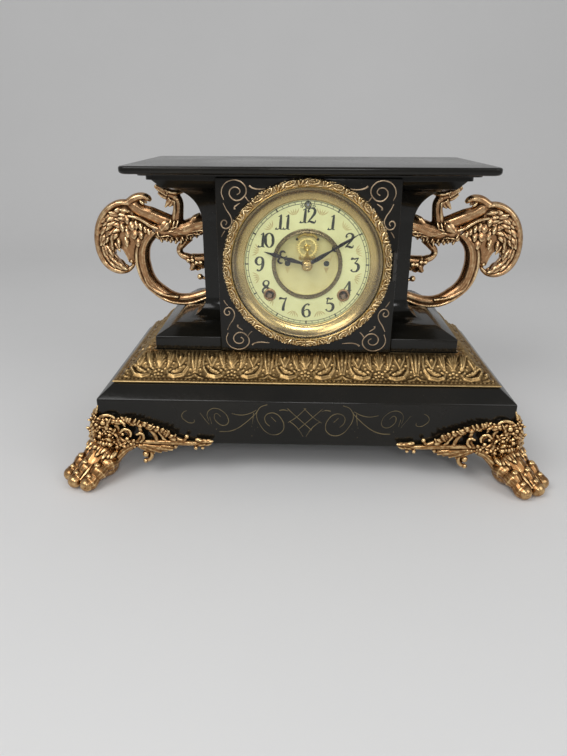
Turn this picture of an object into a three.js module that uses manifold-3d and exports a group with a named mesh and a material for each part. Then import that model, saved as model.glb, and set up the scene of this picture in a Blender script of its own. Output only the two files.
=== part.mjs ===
// A black enamelled mantel clock on paw feet, with griffin handles and a visible escapement.
// Millimetres, +Z up. The front faces -Y and the origin is on the table under the plinth's middle.
import * as THREE from 'three';
import { mergeVertices } from 'three/addons/utils/BufferGeometryUtils.js';
import Module from 'manifold-3d';

const wasm = await Module();
wasm.setup();

// Clearances
const seatGap = 0.3; // between castings that rest on each other
const runGap = 0.3; // round a shaft in its hole
const hingeGap = 0.4; // between knuckles that turn past each other

// Case: heights of the stacked mouldings, from the table up
const footHeight = 34.5;
const plinthHeight = 43.6;
const bevelHeight = 11.2;
const bandHeight = 20.7;
const stepHeight = 12.8;
const rampRise = 9;
const coveRise = 18.2;
const corniceRise = 34;
const lipHeight = 3.2;
const ogeeRise = 2.8;
const slabThickness = 6.2;

// Case: how far each moulding stands out from the neck, round the front and the sides
const neckHalfWidth = 99.4;
const neckFront = 14.3; // the neck's front face, ahead of the middle
const coveOut = 17;
const filletOut = 25.2;
const stepOut = 42.7;
const bandTopOut = 44;
const bandFootOut = 76.3;
const plinthOut = 89.8;
const corniceCoveOut = 30;
const corniceOut = 37;
const lipOut = 41.4;
const slabOut = 59.8;
const bodyBack = 88; // the flat back of the body, behind the middle
const slabBackOverhang = 4.3;
const slabCorner = 7; // plan radius of the slab's corners
const slabNose = 1.6; // rounding of the slab's edge
const castingWall = 6;
const bandThickness = 4.3; // height of the band's upper edge
const bandLip = 1.9; // upright bead along the band's foot
const bandRepeat = 68; // from one palmette to the next
const bandRepeats = 2; // on each side of the middle one
const bandSideMiddle = 12; // a palmette's place along the sides
const bandFaceUnits = 36; // the strokes' measure up the face
const bandMitreRoom = 0.5;
const bandLeafSides = 4;
const bandTolerance = 0.08; // points closer than this to a flat face are left out
const bandLeafSwell = 1.15; // makes up for the round that four flat sides leave off
// Cast strokes in half a repeat: (along from the palmette, up the face, half width, height)
const bandStrokes = [
  [[0, 17, 1.6, 0.7], [0, 25.5, 4.8, 1.5], [0, 33, 1.8, 0.8]],
  [[7.8, 16.5, 1, 0.6], [9.8, 25.5, 3.3, 1.5], [10.8, 33.4, 1.6, 0.8]],
  [[19.3, 16.4, 1.2, 0.9], [19.3, 25.5, 3.6, 1.5], [19.3, 33.2, 3.4, 0.7]],
  [[34, 10.5, 1, 0.8], [34, 23.5, 4, 1.5], [34, 33.6, 4.6, 0.8]],
  [[26.6, 20, 1.2, 0.9], [22.5, 9, 2.1, 1.4], [15, 6.4, 2.3, 1.4], [8.6, 9.6, 1.7, 1.1]],
];

// Dial, bezel and glass: widths from the visible dial outwards
const visibleDialRadius = 54.6;
const surroundWidth = 10.6;
const surroundRoom = 3.2; // dished ring inside the bezel's bore
const surroundFlange = 1.2; // dished ring over the edge of the panel's opening
const dialEdgeRoom = 3.5; // dial sheet inside the panel's opening
const bezelWidth = 6.4;
const bezelLip = 2.4; // inner bead, in over the edge of the glass
const surroundRadius = visibleDialRadius + surroundWidth;
const bezelSeatRadius = surroundRadius + surroundRoom;
const bezelRadius = bezelSeatRadius + bezelWidth;
const bezelOpening = bezelSeatRadius - bezelLip;

// Front panel and its round opening
const panelMargin = 4.8; // panel beside the bezel
const panelHalfWidth = bezelRadius + panelMargin;
const panelFront = 60; // front plane of the panel, ahead of the middle
const panelThickness = 6;
const panelCheek = 5; // wall of the panel's sides
const panelTopReach = 2.6; // how far the panel runs up over the slab's lip
const cheekReach = 60; // depth of the panel's sides, back from its front plane
const bezelFootRoom = 7.6; // bezel above the body's foot
const dialRise = bezelRadius + bezelFootRoom; // dial centre above the body's foot
const mouldingsHeight = stepHeight + rampRise + coveRise + corniceRise + lipHeight;
const neckHeight = dialRise + bezelRadius - mouldingsHeight; // the lip is level with the bezel's head
const panelHoleRadius = surroundRadius - surroundFlange;

// Depths of the dial, the bezel and the glass
const dialRadius = panelHoleRadius - dialEdgeRoom;
const dialSetBack = 4; // dial face behind the panel's front plane
const dialSheet = 1.2;
const surroundDepth = 2.3; // how far the dished ring stands before the panel
const bezelDepth = 6;
const bezelBead = 2.4;
const bezelKnuckle = 1.8;
const bezelPinRadius = 0.8;
const glassThickness = 2;
const glassRise = 5.5; // crown of the glass over its edge
const innerRingRadius = 31.5;
const innerRingWidth = 3.5;
const innerRingProud = 0.7;
const centreRecess = 2.6; // centre plate's floor behind the dial sheet
const centreFlange = 5;
const centreSheet = 1;
const peepHoleOffset = 17.5;
const peepHoleRadius = 2.7;

// Hands
const minuteTipRoom = 1.6; // minute hand inside the dished ring
const minuteHandLength = visibleDialRadius - minuteTipRoom;
const hourHandLength = 40;
const handThickness = 0.8;
const minuteAngle = 60; // degrees past twelve
const hourAngle = 284;
const handArmAt = 27; // the small cross arms, out from the hub
const hourHandFront = 2.2; // front face, ahead of the dial face
const minuteHandFront = 4.6;
const handNutRadius = 5;
const handNutHeight = 3;

// Movement
const plateHalfWidth = 66;
const plateTop = 58; // above the dial centre
const plateFoot = 72; // below the dial centre
const plateThickness = 2;
const plateSetBack = 8.5; // front plate behind the panel
const plateSpacing = 38.2; // clear distance between the plates
const pillarRadius = 3;
const pillarTopX = 42;
const pillarTopZ = 40;
const pillarFootX = 7;
const pillarFootZ = 64;
const postX = 60;
const postZ = 46;
const postRadius = 3.2;
const studRadius = 1.5;
const windX = 33.5; // winding arbors from the dial centre
const windZ = -28;
const arborRadius = 2.2;
const windSquare = 3.6; // side of the winding square
const windSquareFront = 3; // end of the square, ahead of the dial face
const eyeletRadius = 5;
const eyeletThickness = 0.6;
const centreArborRadius = 1.5;
const hourPipeRadius = 3.2;
const gearThickness = 1.6;
const motionDistance = 16; // centre arbor to minute-wheel stud
const motionAngle = -60; // of that stud, in degrees from +X
const minuteStudRadius = 1.2;
const cannonTeeth = 6;
const minuteWheelTeeth = 18;
const minutePinionTeeth = 6;
const hourWheelTeeth = 24;
const greatTeeth = 36;
const centrePinionTeeth = 6;
const drumRadius = 26.5;
const drumLength = 22;
const drumWall = 2;
const centreWheelRadius = 11;

// Visible escapement and pendulum
const escapeRise = 14.6; // escape arbor above the dial centre
const escapeRadius = 10;
const escapeTeeth = 30;
const escapeToothDepth = 2;
const escapeArborRadius = 0.7;
const palletRise = 26; // pallet arbor above the dial centre
const palletArborRadius = 1;
const palletSpread = 9.2; // pallet stones either side of the middle
const palletDrop = 4; // pallet stones below their arbor
const palletStone = 0.9;
const bridgeThickness = 1;
const regulatorInset = 2.9; // regulator arbor inside the dished ring
const regulatorRise = visibleDialRadius - regulatorInset;
const regulatorRadius = 1.4;
const pendulumSetBack = 9; // rod behind the movement's back plate
const pendulumRodRadius = 1.2;
const pendulumLength = 125; // suspension to the bob's middle
const bobRadius = 17;
const bobThickness = 9;
const springRise = 7; // suspension spring above its bend
const springWidth = 5;
const springSheet = 0.4;
const crutchDrop = 38;
const crutchThickness = 1.4;
const pendulumSwing = 4; // degrees to either side
const bobRoom = 7; // free space round the swinging bob

// Gong and hammer
const gongSetBack = 54; // gong behind the movement's back plate
const gongDrop = 33; // gong centre below the dial centre
const gongInner = 14;
const gongOuter = 44;
const gongTurns = 3;
const gongWireRadius = 1.6;
const gongClearance = 0.5; // between the gong's lead-in and its stand
const gongLead = 6; // straight end of the wire
const gongStandWidth = 14;
const gongStandDepth = 16;
const hammerPivotX = 62;
const hammerPivotDrop = 64;
const hammerHeadRadius = 4;
const hammerHeadLength = 12;
const hammerGap = 1.5;
const hammerArborRadius = 1.6;

// Back
const backSheet = 2;
const backInset = 2;
const accessRadius = 50;
const accessRise = 76; // access hole above the body's foot
const doorRadius = 54;
const doorSheet = 1.6;
const hingePinRadius = 1.2;
const knuckleRadius = 2.4;
const knuckleLength = 12;
const leafThickness = 1;
const leafWidth = 9;
const doorKnobRadius = 4;
const doorRaise = 1.2; // pressed-out middle of the door
const doorKnobInset = 14; // knob in from the door's edge
const screwHeadRadius = 3.4;
const screwHeadHeight = 1.5;
const screwShankRadius = 1.4;
const screwShankLength = 9;

// Tie rods that clamp the slab and the body to the base
const tieRodRadius = 2.5;
const tieRodInset = 7.4; // rod's middle inside the neck's wall
const tieRodX = neckHalfWidth - castingWall - tieRodInset;
const tieRodY = 40;
const tieHeadRadius = 5;
const tieHeadHeight = 4;

// Handles, each a casting in one plane beside the neck
const handlePlane = 30; // behind the middle
const handleDepth = 7; // half thickness of the wing's rim
const handleScrewRise = 68; // above the neck's foot

// Feet
const toeX = 0.64; // the way the toes point, outward to the side
const toeY = 0.77; // and outward to the front or the back
const pawReachX = 31;
const pawReachY = 31;
const bracketLength = 107;
const sideBracketLength = 62;
const bracketThickness = 6;
const footSeat = 34; // side of the square seat under the plinth's corner
const footBoltRadius = 2.5;
const footBoltInset = 17;
const footBoltReach = 12; // into the plinth
const footSeatBase = 19.3; // underside of that seat
const footBoltHead = 5; // radius of the bolt's head
const footBoltSink = 2; // how far the head is let into the seat

const bite = 0.5; // how far joined solids run into each other
const roundSides = 32;
const innerSides = 24; // round pieces inside the case
const smallSides = 6;
const holeSides = 12; // rounder than the shaft that turns in it

// Levels and planes worked out from the sizes above
const plinthBase = footHeight;
const plinthTop = plinthBase + plinthHeight;
const bandBase = plinthTop + bevelHeight;
const bodyBase = bandBase + bandHeight;
const stepTop = bodyBase + stepHeight;
const filletLevel = stepTop + rampRise;
const neckBase = filletLevel + coveRise;
const neckTop = neckBase + neckHeight;
const corniceTop = neckTop + corniceRise;
const lipTop = corniceTop + lipHeight;
const slabBase = lipTop + ogeeRise;
const slabTop = slabBase + slabThickness;
const plinthHalfDepth = neckFront + plinthOut;
const bevelIn = plinthOut - bandFootOut;
const dialHeight = bodyBase + dialRise;
const dialFace = -(panelFront - dialSetBack);
const dialBack = dialFace + dialSheet;
const panelBack = -panelFront + panelThickness;
const frontPlateFront = panelBack + plateSetBack;
const frontPlateBack = frontPlateFront + plateThickness;
const backPlateFront = frontPlateBack + plateSpacing;
const backPlateBack = backPlateFront + plateThickness;
const rodY = backPlateBack + pendulumSetBack;

const radians = THREE.MathUtils.degToRad;

// Solids: three.js geometry turned into closed bodies that can be joined and cut

function solid(geometry) {
  const bare = geometry.clone();
  bare.deleteAttribute('normal');
  bare.deleteAttribute('uv');
  const merged = mergeVertices(bare, 1e-4);
  const corners = merged.index.array;
  const points = merged.attributes.position;
  const kept = [];
  for (let i = 0; i < corners.length; i += 3) {
    const [a, b, c] = [corners[i], corners[i + 1], corners[i + 2]];
    if (a !== b && b !== c && c !== a) kept.push(a, b, c);
  }
  if (signedVolume(points, kept) < 0) {
    for (let i = 0; i < kept.length; i += 3) {
      [kept[i], kept[i + 1]] = [kept[i + 1], kept[i]];
    }
  }
  return new wasm.Manifold(new wasm.Mesh({
    numProp: 3,
    vertProperties: new Float32Array(points.array),
    triVerts: new Uint32Array(kept),
  }));
}

function signedVolume(points, corners) {
  const [a, b, c] = [new THREE.Vector3(), new THREE.Vector3(), new THREE.Vector3()];
  let sum = 0;
  for (let i = 0; i < corners.length; i += 3) {
    a.fromBufferAttribute(points, corners[i]);
    b.fromBufferAttribute(points, corners[i + 1]);
    c.fromBufferAttribute(points, corners[i + 2]);
    sum += a.dot(b.cross(c));
  }
  return sum;
}

function geometryOf(body) {
  const mesh = body.getMesh();
  const geometry = new THREE.BufferGeometry();
  geometry.setAttribute('position', new THREE.BufferAttribute(new Float32Array(mesh.vertProperties), 3));
  geometry.setIndex(new THREE.BufferAttribute(new Uint32Array(mesh.triVerts), 1));
  geometry.computeVertexNormals();
  return geometry;
}

function join(bodies) {
  return bodies.reduce((whole, body) => whole.add(body));
}

function cut(body, tools) {
  return tools.reduce((rest, tool) => rest.subtract(tool), body);
}

function box(x0, x1, y0, y1, z0, z1) {
  const geometry = new THREE.BoxGeometry(Math.abs(x1 - x0), Math.abs(y1 - y0), Math.abs(z1 - z0));
  return solid(geometry.translate((x0 + x1) / 2, (y0 + y1) / 2, (z0 + z1) / 2));
}

// A round bar along Y, from y0 to y1, about (x, z)
function barY(radius, y0, y1, x = 0, z = 0, sides = smallSides) {
  const geometry = new THREE.CylinderGeometry(radius, radius, y1 - y0, sides);
  return solid(geometry.translate(x, (y0 + y1) / 2, z));
}

// A round bar along Z, from z0 to z1, about (x, y)
function barZ(radius, z0, z1, x = 0, y = 0, sides = smallSides) {
  const geometry = new THREE.CylinderGeometry(radius, radius, z1 - z0, sides);
  return solid(geometry.rotateX(Math.PI / 2).translate(x, y, (z0 + z1) / 2));
}

// A round bar along X, from x0 to x1, about (y, z)
function barX(radius, x0, x1, y = 0, z = 0, sides = smallSides) {
  const geometry = new THREE.CylinderGeometry(radius, radius, Math.abs(x1 - x0), sides);
  return solid(geometry.rotateZ(Math.PI / 2).translate((x0 + x1) / 2, y, z));
}

// A profile of (radius, y) pairs turned about a line along Y through (x, z)
function turned(profile, x = 0, z = 0, sides = roundSides) {
  const points = profile.map(([radius, y]) => new THREE.Vector2(radius, y));
  return solid(new THREE.LatheGeometry(points, sides).translate(x, 0, z));
}

function ringProfile(inner, outer, y0, y1) {
  return [[inner, y0], [outer, y0], [outer, y1], [inner, y1], [inner, y0]];
}

// A flat outline pushed out along a third line, before it is turned into place
function slab(shape, thickness) {
  return new THREE.ExtrudeGeometry(shape, { depth: thickness, bevelEnabled: false, curveSegments: 8 });
}

// A flat outline in X and Z, as thick as y0 to y1
function plateXZ(shape, y0, y1) {
  const geometry = slab(shape, Math.abs(y1 - y0)).rotateX(Math.PI / 2);
  return solid(geometry.translate(0, Math.max(y0, y1), 0));
}

// A flat outline in Y and Z, as thick as x0 to x1
function plateYZ(shape, x0, x1) {
  const geometry = slab(shape, Math.abs(x1 - x0)).rotateX(Math.PI / 2).rotateZ(Math.PI / 2);
  return solid(geometry.translate(Math.min(x0, x1), 0, 0));
}

// A closed outline, always counter-clockwise
function outline(points) {
  const corners = points.map(([x, z]) => new THREE.Vector2(x, z));
  if (THREE.ShapeUtils.isClockWise(corners)) corners.reverse();
  return new THREE.Shape(corners);
}

function ellipsoid(x, y, z, rx, ry, rz) {
  const geometry = new THREE.SphereGeometry(1, 8, 4);
  return solid(geometry.scale(rx, ry, rz).translate(x, y, z));
}

// Rows of points, each row one closed section, skinned and closed at both ends
function skin(rows) {
  const count = rows[0].length;
  const positions = rows.flat(2);
  const indices = [];
  for (let row = 0; row + 1 < rows.length; row += 1) {
    for (let k = 0; k < count; k += 1) {
      const next = (k + 1) % count;
      const [a, b] = [row * count + k, row * count + next];
      indices.push(a, b, b + count, a, b + count, a + count);
    }
  }
  const flat = flatSection(rows[0]);
  const last = (rows.length - 1) * count;
  for (const [a, b, c] of THREE.ShapeUtils.triangulateShape(flat, [])) {
    indices.push(a, c, b, last + a, last + b, last + c);
  }
  const geometry = new THREE.BufferGeometry();
  geometry.setAttribute('position', new THREE.Float32BufferAttribute(positions, 3));
  geometry.setIndex(indices);
  return solid(geometry);
}

// A section's points in two coordinates of its own plane
function flatSection(row) {
  const corner = row.map((point) => new THREE.Vector3(...point));
  const middle = corner.reduce((sum, point) => sum.add(point.clone()), new THREE.Vector3());
  middle.divideScalar(corner.length);
  const normal = new THREE.Vector3();
  corner.forEach((point, k) => {
    const next = corner[(k + 1) % corner.length];
    normal.add(point.clone().sub(middle).cross(next.clone().sub(middle)));
  });
  normal.normalize();
  const across = corner[0].clone().sub(middle);
  across.addScaledVector(normal, -across.dot(normal)).normalize();
  const up = normal.clone().cross(across);
  return corner.map((point) => {
    const arm = point.clone().sub(middle);
    return new THREE.Vector2(arm.dot(across), arm.dot(up));
  });
}

// A rectangle in plan with rounded corners, at height z
function planSection(z, halfWidth, front, back, radius) {
  const middles = [
    [halfWidth - radius, back - radius, 0],
    [-halfWidth + radius, back - radius, 90],
    [-halfWidth + radius, front + radius, 180],
    [halfWidth - radius, front + radius, 270],
  ];
  const row = [];
  for (const [x, y, start] of middles) {
    for (const turn of [0, 30, 60, 90]) {
      const angle = radians(start + turn);
      row.push([x + radius * Math.cos(angle), y + radius * Math.sin(angle), z]);
    }
  }
  return row;
}

// A plain rectangle in plan that stands out from the neck, at height z
function neckSection(z, out, back) {
  const halfWidth = neckHalfWidth + out;
  const front = -(neckFront + out);
  return [[halfWidth, back, z], [-halfWidth, back, z], [-halfWidth, front, z], [halfWidth, front, z]];
}

// A moulding of one closed profile of (out, z) pairs, mitred round the left, front and right
function moulding(profile, back) {
  const left = ([out, z]) => [-(neckHalfWidth + out), back, z];
  const leftCorner = ([out, z]) => [-(neckHalfWidth + out), -(neckFront + out), z];
  const rightCorner = ([out, z]) => [neckHalfWidth + out, -(neckFront + out), z];
  const right = ([out, z]) => [neckHalfWidth + out, back, z];
  return skin([left, leftCorner, rightCorner, right].map((station) => profile.map(station)));
}

// A tapering limb along points of [x, y, z, half width, half depth]; depth lies along the given line
function limb(stations, depthLine, steps, sides = 8) {
  const path = new THREE.CatmullRomCurve3(stations.map(([x, y, z]) => new THREE.Vector3(x, y, z)));
  const girth = new THREE.CatmullRomCurve3(stations.map((s) => new THREE.Vector3(s[3], s[4], 0)));
  const rows = [];
  for (let step = 0; step <= steps; step += 1) {
    const middle = path.getPoint(step / steps);
    const along = path.getTangent(step / steps);
    const side = along.clone().cross(depthLine).normalize();
    const depth = side.clone().cross(along).normalize();
    const size = girth.getPoint(step / steps);
    const row = [];
    for (let k = 0; k < sides; k += 1) {
      const angle = (2 * Math.PI * k) / sides;
      const point = middle.clone().addScaledVector(side, size.x * Math.cos(angle));
      point.addScaledVector(depth, size.y * Math.sin(angle));
      row.push(point.toArray());
    }
    rows.push(row);
  }
  return skin(rows);
}

// A toothed outline about (x, z): straight-flanked teeth, the first one centred on the given angle
function toothedShape(teeth, pitchRadius, toothModule, firstTooth, x, z) {
  const step = (2 * Math.PI) / teeth;
  const tip = pitchRadius + 0.85 * toothModule;
  const root = pitchRadius - 1.15 * toothModule;
  const flank = [[-0.25, root], [-0.09, tip], [0.09, tip], [0.25, root]];
  const points = [];
  for (let tooth = 0; tooth < teeth; tooth += 1) {
    for (const [share, radius] of flank) {
      const angle = radians(firstTooth) + (tooth + share) * step;
      points.push([x + radius * Math.cos(angle), z + radius * Math.sin(angle)]);
    }
  }
  return outline(points);
}

// Finishes
function finish(color, roughness, metalness) {
  return new THREE.MeshStandardMaterial({ color, roughness, metalness });
}
const makeEnamel = () => finish(0x14120f, 0.18, 0.1);
const makeGilt = () => finish(0xa8743f, 0.32, 1);
const makeBandBrass = () => finish(0x8a6a36, 0.4, 1);
const makeBrass = () => finish(0xb8974f, 0.3, 1);
const makeSteel = () => finish(0x8f9296, 0.35, 1);
const makeBlued = () => finish(0x17161a, 0.35, 0.8);
const makePaper = () => finish(0xdce4b2, 0.6, 0);
const makeIvory = () => finish(0xd7cd96, 0.5, 0.1);
const makeIron = () => finish(0x2b2a28, 0.6, 0.9);

function piece(name, material, body) {
  const mesh = new THREE.Mesh(geometryOf(body), material);
  mesh.name = name;
  return mesh;
}

const clock = new THREE.Group();

// Base plinth: a hollow casting, open below, with a raised table for the body
function basePlinth() {
  const plinthBack = plinthHalfDepth - bevelIn;
  const lower = skin([
    neckSection(plinthBase, plinthOut, plinthHalfDepth),
    neckSection(plinthTop, plinthOut, plinthHalfDepth),
    neckSection(bandBase, bandFootOut, plinthBack),
  ]);
  const tableTop = bodyBase - seatGap;
  const tableOut = bandTopOut - seatGap;
  const shoulder = bodyBase - bandThickness - seatGap;
  const table = skin([
    neckSection(bandBase - 1, bandFootOut - bandThickness, bodyBack),
    neckSection(bandBase, bandFootOut - bandThickness, bodyBack),
    neckSection(shoulder, tableOut, bodyBack),
    neckSection(tableTop, tableOut, bodyBack),
  ]);
  const hollowX = neckHalfWidth + plinthOut - castingWall;
  const hollowY = plinthHalfDepth - castingWall;
  const hollow = box(-hollowX, hollowX, -hollowY, hollowY, plinthBase - 1, plinthTop - castingWall);
  const upperX = neckHalfWidth + tableOut - castingWall;
  const upperFront = -(neckFront + tableOut - castingWall);
  const upper = box(-upperX, upperX, upperFront, bodyBack - castingWall, plinthBase, tableTop - castingWall);
  const bosses = [];
  for (const x of [-1, 1]) {
    for (const y of [-1, 1]) {
      bosses.push(cornerBlock(x, y, footSeat, plinthBase, plinthTop - castingWall / 2));
    }
  }
  const shell = join([cut(lower.add(table), [hollow, upper]), ...bosses]);
  const boltTop = plinthBase + footBoltReach + seatGap;
  const boltBore = footBoltRadius + runGap;
  const boltHoles = footCorners().map(([x, y]) => barZ(boltBore, plinthBase - 1, boltTop, x, y));
  const rodBore = tieRodRadius + runGap;
  const rodHoles = tieRodPlaces().map(([x, y]) => barZ(rodBore, plinthTop, bodyBase + 1, x, y));
  const swing = Math.sin(radians(pendulumSwing)) * pendulumLength + bobRadius + bobRoom;
  const clear = bobThickness / 2 + bobRoom;
  const pendulumHole = box(-swing, swing, rodY - clear, rodY + clear, plinthTop, bodyBase + 1);
  return cut(shell, [...boltHoles, ...rodHoles, pendulumHole]);
}

// A square block in one inner corner of the plinth; x and y are -1 or 1
function cornerBlock(x, y, side, z0, z1) {
  const outerX = x * (neckHalfWidth + plinthOut - castingWall / 2);
  const outerY = y * (plinthHalfDepth - castingWall / 2);
  const innerX = x * (neckHalfWidth + plinthOut - side);
  const innerY = y * (plinthHalfDepth - side);
  return box(outerX, innerX, outerY, innerY, z0, z1);
}

function footCorners() {
  const x = neckHalfWidth + plinthOut - footBoltInset;
  const y = plinthHalfDepth - footBoltInset;
  return [[-x, -y], [x, -y], [-x, y], [x, y]];
}

function tieRodPlaces() {
  return [[-tieRodX, tieRodY], [tieRodX, tieRodY]];
}

// Gilt band: a cast ogee strip round the front and the sides of the table
function giltBand() {
  const foot = bandBase + seatGap;
  const beadTop = bandBase + bandLip + seatGap;
  const run = bandFootOut - bandTopOut;
  const rise = bodyBase - beadTop;
  const back = bodyBack - seatGap;
  const ogee = [[0, 1], [0.12, 0.97], [0.35, 0.75], [0.62, 0.35], [0.85, 0.1], [1, 0]];
  const face = ogee.map(([out, up]) => [bandTopOut + out * run, beadTop + up * rise]);
  const profile = [
    [bandTopOut, bodyBase - bandThickness],
    ...face,
    [bandFootOut, foot],
    [bandFootOut - bandThickness + 2 * seatGap, foot],
  ];
  return join([moulding(profile, back), ...bandOrnament(face.reverse(), back)]).simplify(bandTolerance);
}

// The place on the band's face at a share of the way up it, as (out, z)
function bandPoint(face, share) {
  const lengths = face.slice(1).map(([out, z], k) => Math.hypot(out - face[k][0], z - face[k][1]));
  let left = share * lengths.reduce((sum, length) => sum + length);
  let k = 0;
  while (left > lengths[k] && k < lengths.length - 1) {
    left -= lengths[k];
    k += 1;
  }
  const part = left / lengths[k];
  return [0, 1].map((axis) => face[k][axis] + part * (face[k + 1][axis] - face[k][axis]));
}

// The band's cast leaves, loops and lilies, where they stay clear of the mitres and of the ends
function bandOrnament(face, back) {
  const slopeUp = new THREE.Vector2(face[0][0] - bandTopOut, bodyBase - face[0][1]).normalize();
  const leaves = [];
  const lay = (stroke, sign, middle, place, clear, depthLine) => {
    const stations = stroke.map(([u, v, wide, tall]) => {
      const [out, z] = bandPoint(face, v / bandFaceUnits);
      return { along: middle + sign * u, out, z, wide, tall };
    });
    if (!stations.every(clear)) return;
    const path = stations.map((s) => [...place(s), s.z, bandLeafSwell * s.wide, bandLeafSwell * s.tall]);
    leaves.push(limb(path, depthLine, path.length - 1, bandLeafSides));
  };
  const clearFront = ({ along, out, wide }) => Math.abs(along) < neckHalfWidth + out - wide - bandMitreRoom;
  const clearSide = ({ along, out, wide }) =>
    along > wide + bandMitreRoom - neckFront - out && along < back - wide - bandMitreRoom;
  const frontLine = new THREE.Vector3(0, -slopeUp.y, slopeUp.x);
  for (let k = -bandRepeats; k <= bandRepeats; k += 1) {
    bandStrokes.forEach((stroke) => {
      const onAxis = stroke.every(([u]) => u === stroke[0][0]);
      const signs = onAxis ? [1] : [1, -1];
      signs.forEach((sign) => {
        const middle = k * bandRepeat;
        lay(stroke, sign, middle, ({ along, out }) => [along, -(neckFront + out)], clearFront, frontLine);
        [-1, 1].forEach((side) => {
          const sideLine = new THREE.Vector3(side * slopeUp.y, 0, slopeUp.x);
          const place = ({ along, out }) => [side * (neckHalfWidth + out), along];
          lay(stroke, sign, middle + bandSideMiddle, place, clearSide, sideLine);
        });
      });
    });
  }
  return leaves;
}

// The body's outer profile, from its foot up, moved out by a gap where something stays clear of it
function bodyProfile(gap) {
  const profile = [
    [stepOut, bodyBase], [stepOut, stepTop], [filletOut, filletLevel], [coveOut, filletLevel + 0.7],
  ];
  for (const turn of [22.5, 45, 67.5]) {
    const [c, s] = [Math.cos(radians(turn)), Math.sin(radians(turn))];
    profile.push([coveOut * (1 - s), filletLevel + coveRise * (1 - c)]);
  }
  profile.push([0, neckBase], [0, neckTop]);
  const coveTop = corniceTop - (corniceOut - corniceCoveOut);
  for (const turn of [22.5, 45, 67.5, 90]) {
    const [c, s] = [Math.cos(radians(turn)), Math.sin(radians(turn))];
    profile.push([corniceCoveOut * (1 - c), neckTop + (coveTop - neckTop) * s]);
  }
  profile.push([corniceOut, corniceTop - seatGap]);
  return profile.map(([out, z]) => [out + gap, z]);
}

// Side castings: the step, the coves and the neck, hollow inside and open to the back
function bodyWrap() {
  const wall = castingWall;
  const inner = [
    [corniceOut - 2 * wall, corniceTop - seatGap],
    [corniceCoveOut / 2 - 1.5 * wall, neckTop + 0.72 * (corniceTop - neckTop)],
    [-wall, neckTop],
    [-wall, neckBase - 2],
    [coveOut / 3 - 0.8 * wall, filletLevel + coveRise / 3 - 0.8 * wall],
    [filletOut - wall / 2, filletLevel - wall],
    [stepOut - wall, stepTop - wall],
    [stepOut - wall, bodyBase],
  ];
  return moulding([...bodyProfile(0), ...inner], bodyBack);
}

// The room that the body takes up, with a gap all round it
function bodySpace() {
  const middle = -neckHalfWidth / 2;
  return moulding([...bodyProfile(seatGap), [middle, corniceTop], [middle, bodyBase]], bodyBack);
}

function sideCasting(side) {
  const near = panelHalfWidth + seatGap;
  const far = neckHalfWidth + plinthOut;
  const half = box(side * near, side * far, -panelFront, bodyBack + 1, bodyBase - 1, slabTop);
  return bodyWrap().intersect(half).subtract(handleScrewHole(side));
}

// Front panel: a block with a round opening, open to the back, with bosses for the movement
function frontPanel() {
  const foot = bodyBase + seatGap;
  const plateHead = corniceTop + panelTopReach;
  const plate = box(-panelHalfWidth, panelHalfWidth, -panelFront, panelBack, foot, plateHead);
  const cheekTop = corniceTop - seatGap;
  const inner = panelHalfWidth - panelCheek;
  const cheekBack = -panelFront + cheekReach;
  const left = box(-panelHalfWidth, -inner, panelBack - 1, cheekBack, foot, cheekTop);
  const right = box(inner, panelHalfWidth, panelBack - 1, cheekBack, foot, cheekTop);
  const opening = barY(panelHoleRadius, -panelFront - 1, panelBack + 1, 0, dialHeight, roundSides);
  const bosses = postPlaces().map(([x, z]) =>
    barY(postRadius, panelBack - 1, frontPlateFront - seatGap, x, dialHeight + z, holeSides));
  const screwHoles = postPlaces().map(([x, z]) =>
    barY(studRadius + runGap, panelBack, frontPlateFront, x, dialHeight + z));
  return cut(join([plate, left, right, ...bosses]), [opening, ...screwHoles]);
}

// Top slab with its moulded underside
function topSlab() {
  const back = bodyBack + slabBackOverhang;
  const edge = (z, out, backY, radius) =>
    planSection(z, neckHalfWidth + out, -(neckFront + out), backY, radius);
  const ogeeOut = lipOut + 0.45 * (slabOut - lipOut);
  const body = skin([
    edge(corniceTop, lipOut, bodyBack, 1),
    edge(lipTop, lipOut, bodyBack, 1),
    edge(lipTop + 0.3 * ogeeRise, ogeeOut, bodyBack + 0.4 * slabBackOverhang, 2),
    edge(slabBase, slabOut - slabNose, back - slabNose, slabCorner - slabNose),
    edge(slabBase + slabNose, slabOut, back, slabCorner),
    edge(slabTop - slabNose, slabOut, back, slabCorner),
    edge(slabTop, slabOut - slabNose, back - slabNose, slabCorner - slabNose),
  ]);
  const rim = 2 * castingWall;
  const pocketX = neckHalfWidth + lipOut - rim;
  const pocketFront = -(neckFront + lipOut - rim);
  const pocket = box(-pocketX, pocketX, pocketFront, bodyBack - rim, corniceTop - 1, slabBase);
  const notchX = panelHalfWidth + seatGap;
  const notchBack = panelBack + seatGap;
  const notchTop = corniceTop + panelTopReach + seatGap;
  const notch = box(-notchX, notchX, -panelFront - 1, notchBack, corniceTop - 1, notchTop);
  const bosses = tieRodPlaces().map(([x, y]) => barZ(tieHeadRadius, corniceTop, slabBase + 1, x, y, 8));
  return cut(body, [pocket, notch]).add(join(bosses));
}

// Tie rods: long bolts from under the base's ceiling up to the slab's bosses
function tieRod(side) {
  const headTop = bodyBase - 2 * seatGap - castingWall;
  const rod = barZ(tieRodRadius, headTop - 1, corniceTop - seatGap, side * tieRodX, tieRodY);
  return rod.add(barZ(tieHeadRadius, headTop - tieHeadHeight, headTop, side * tieRodX, tieRodY, 6));
}

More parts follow.
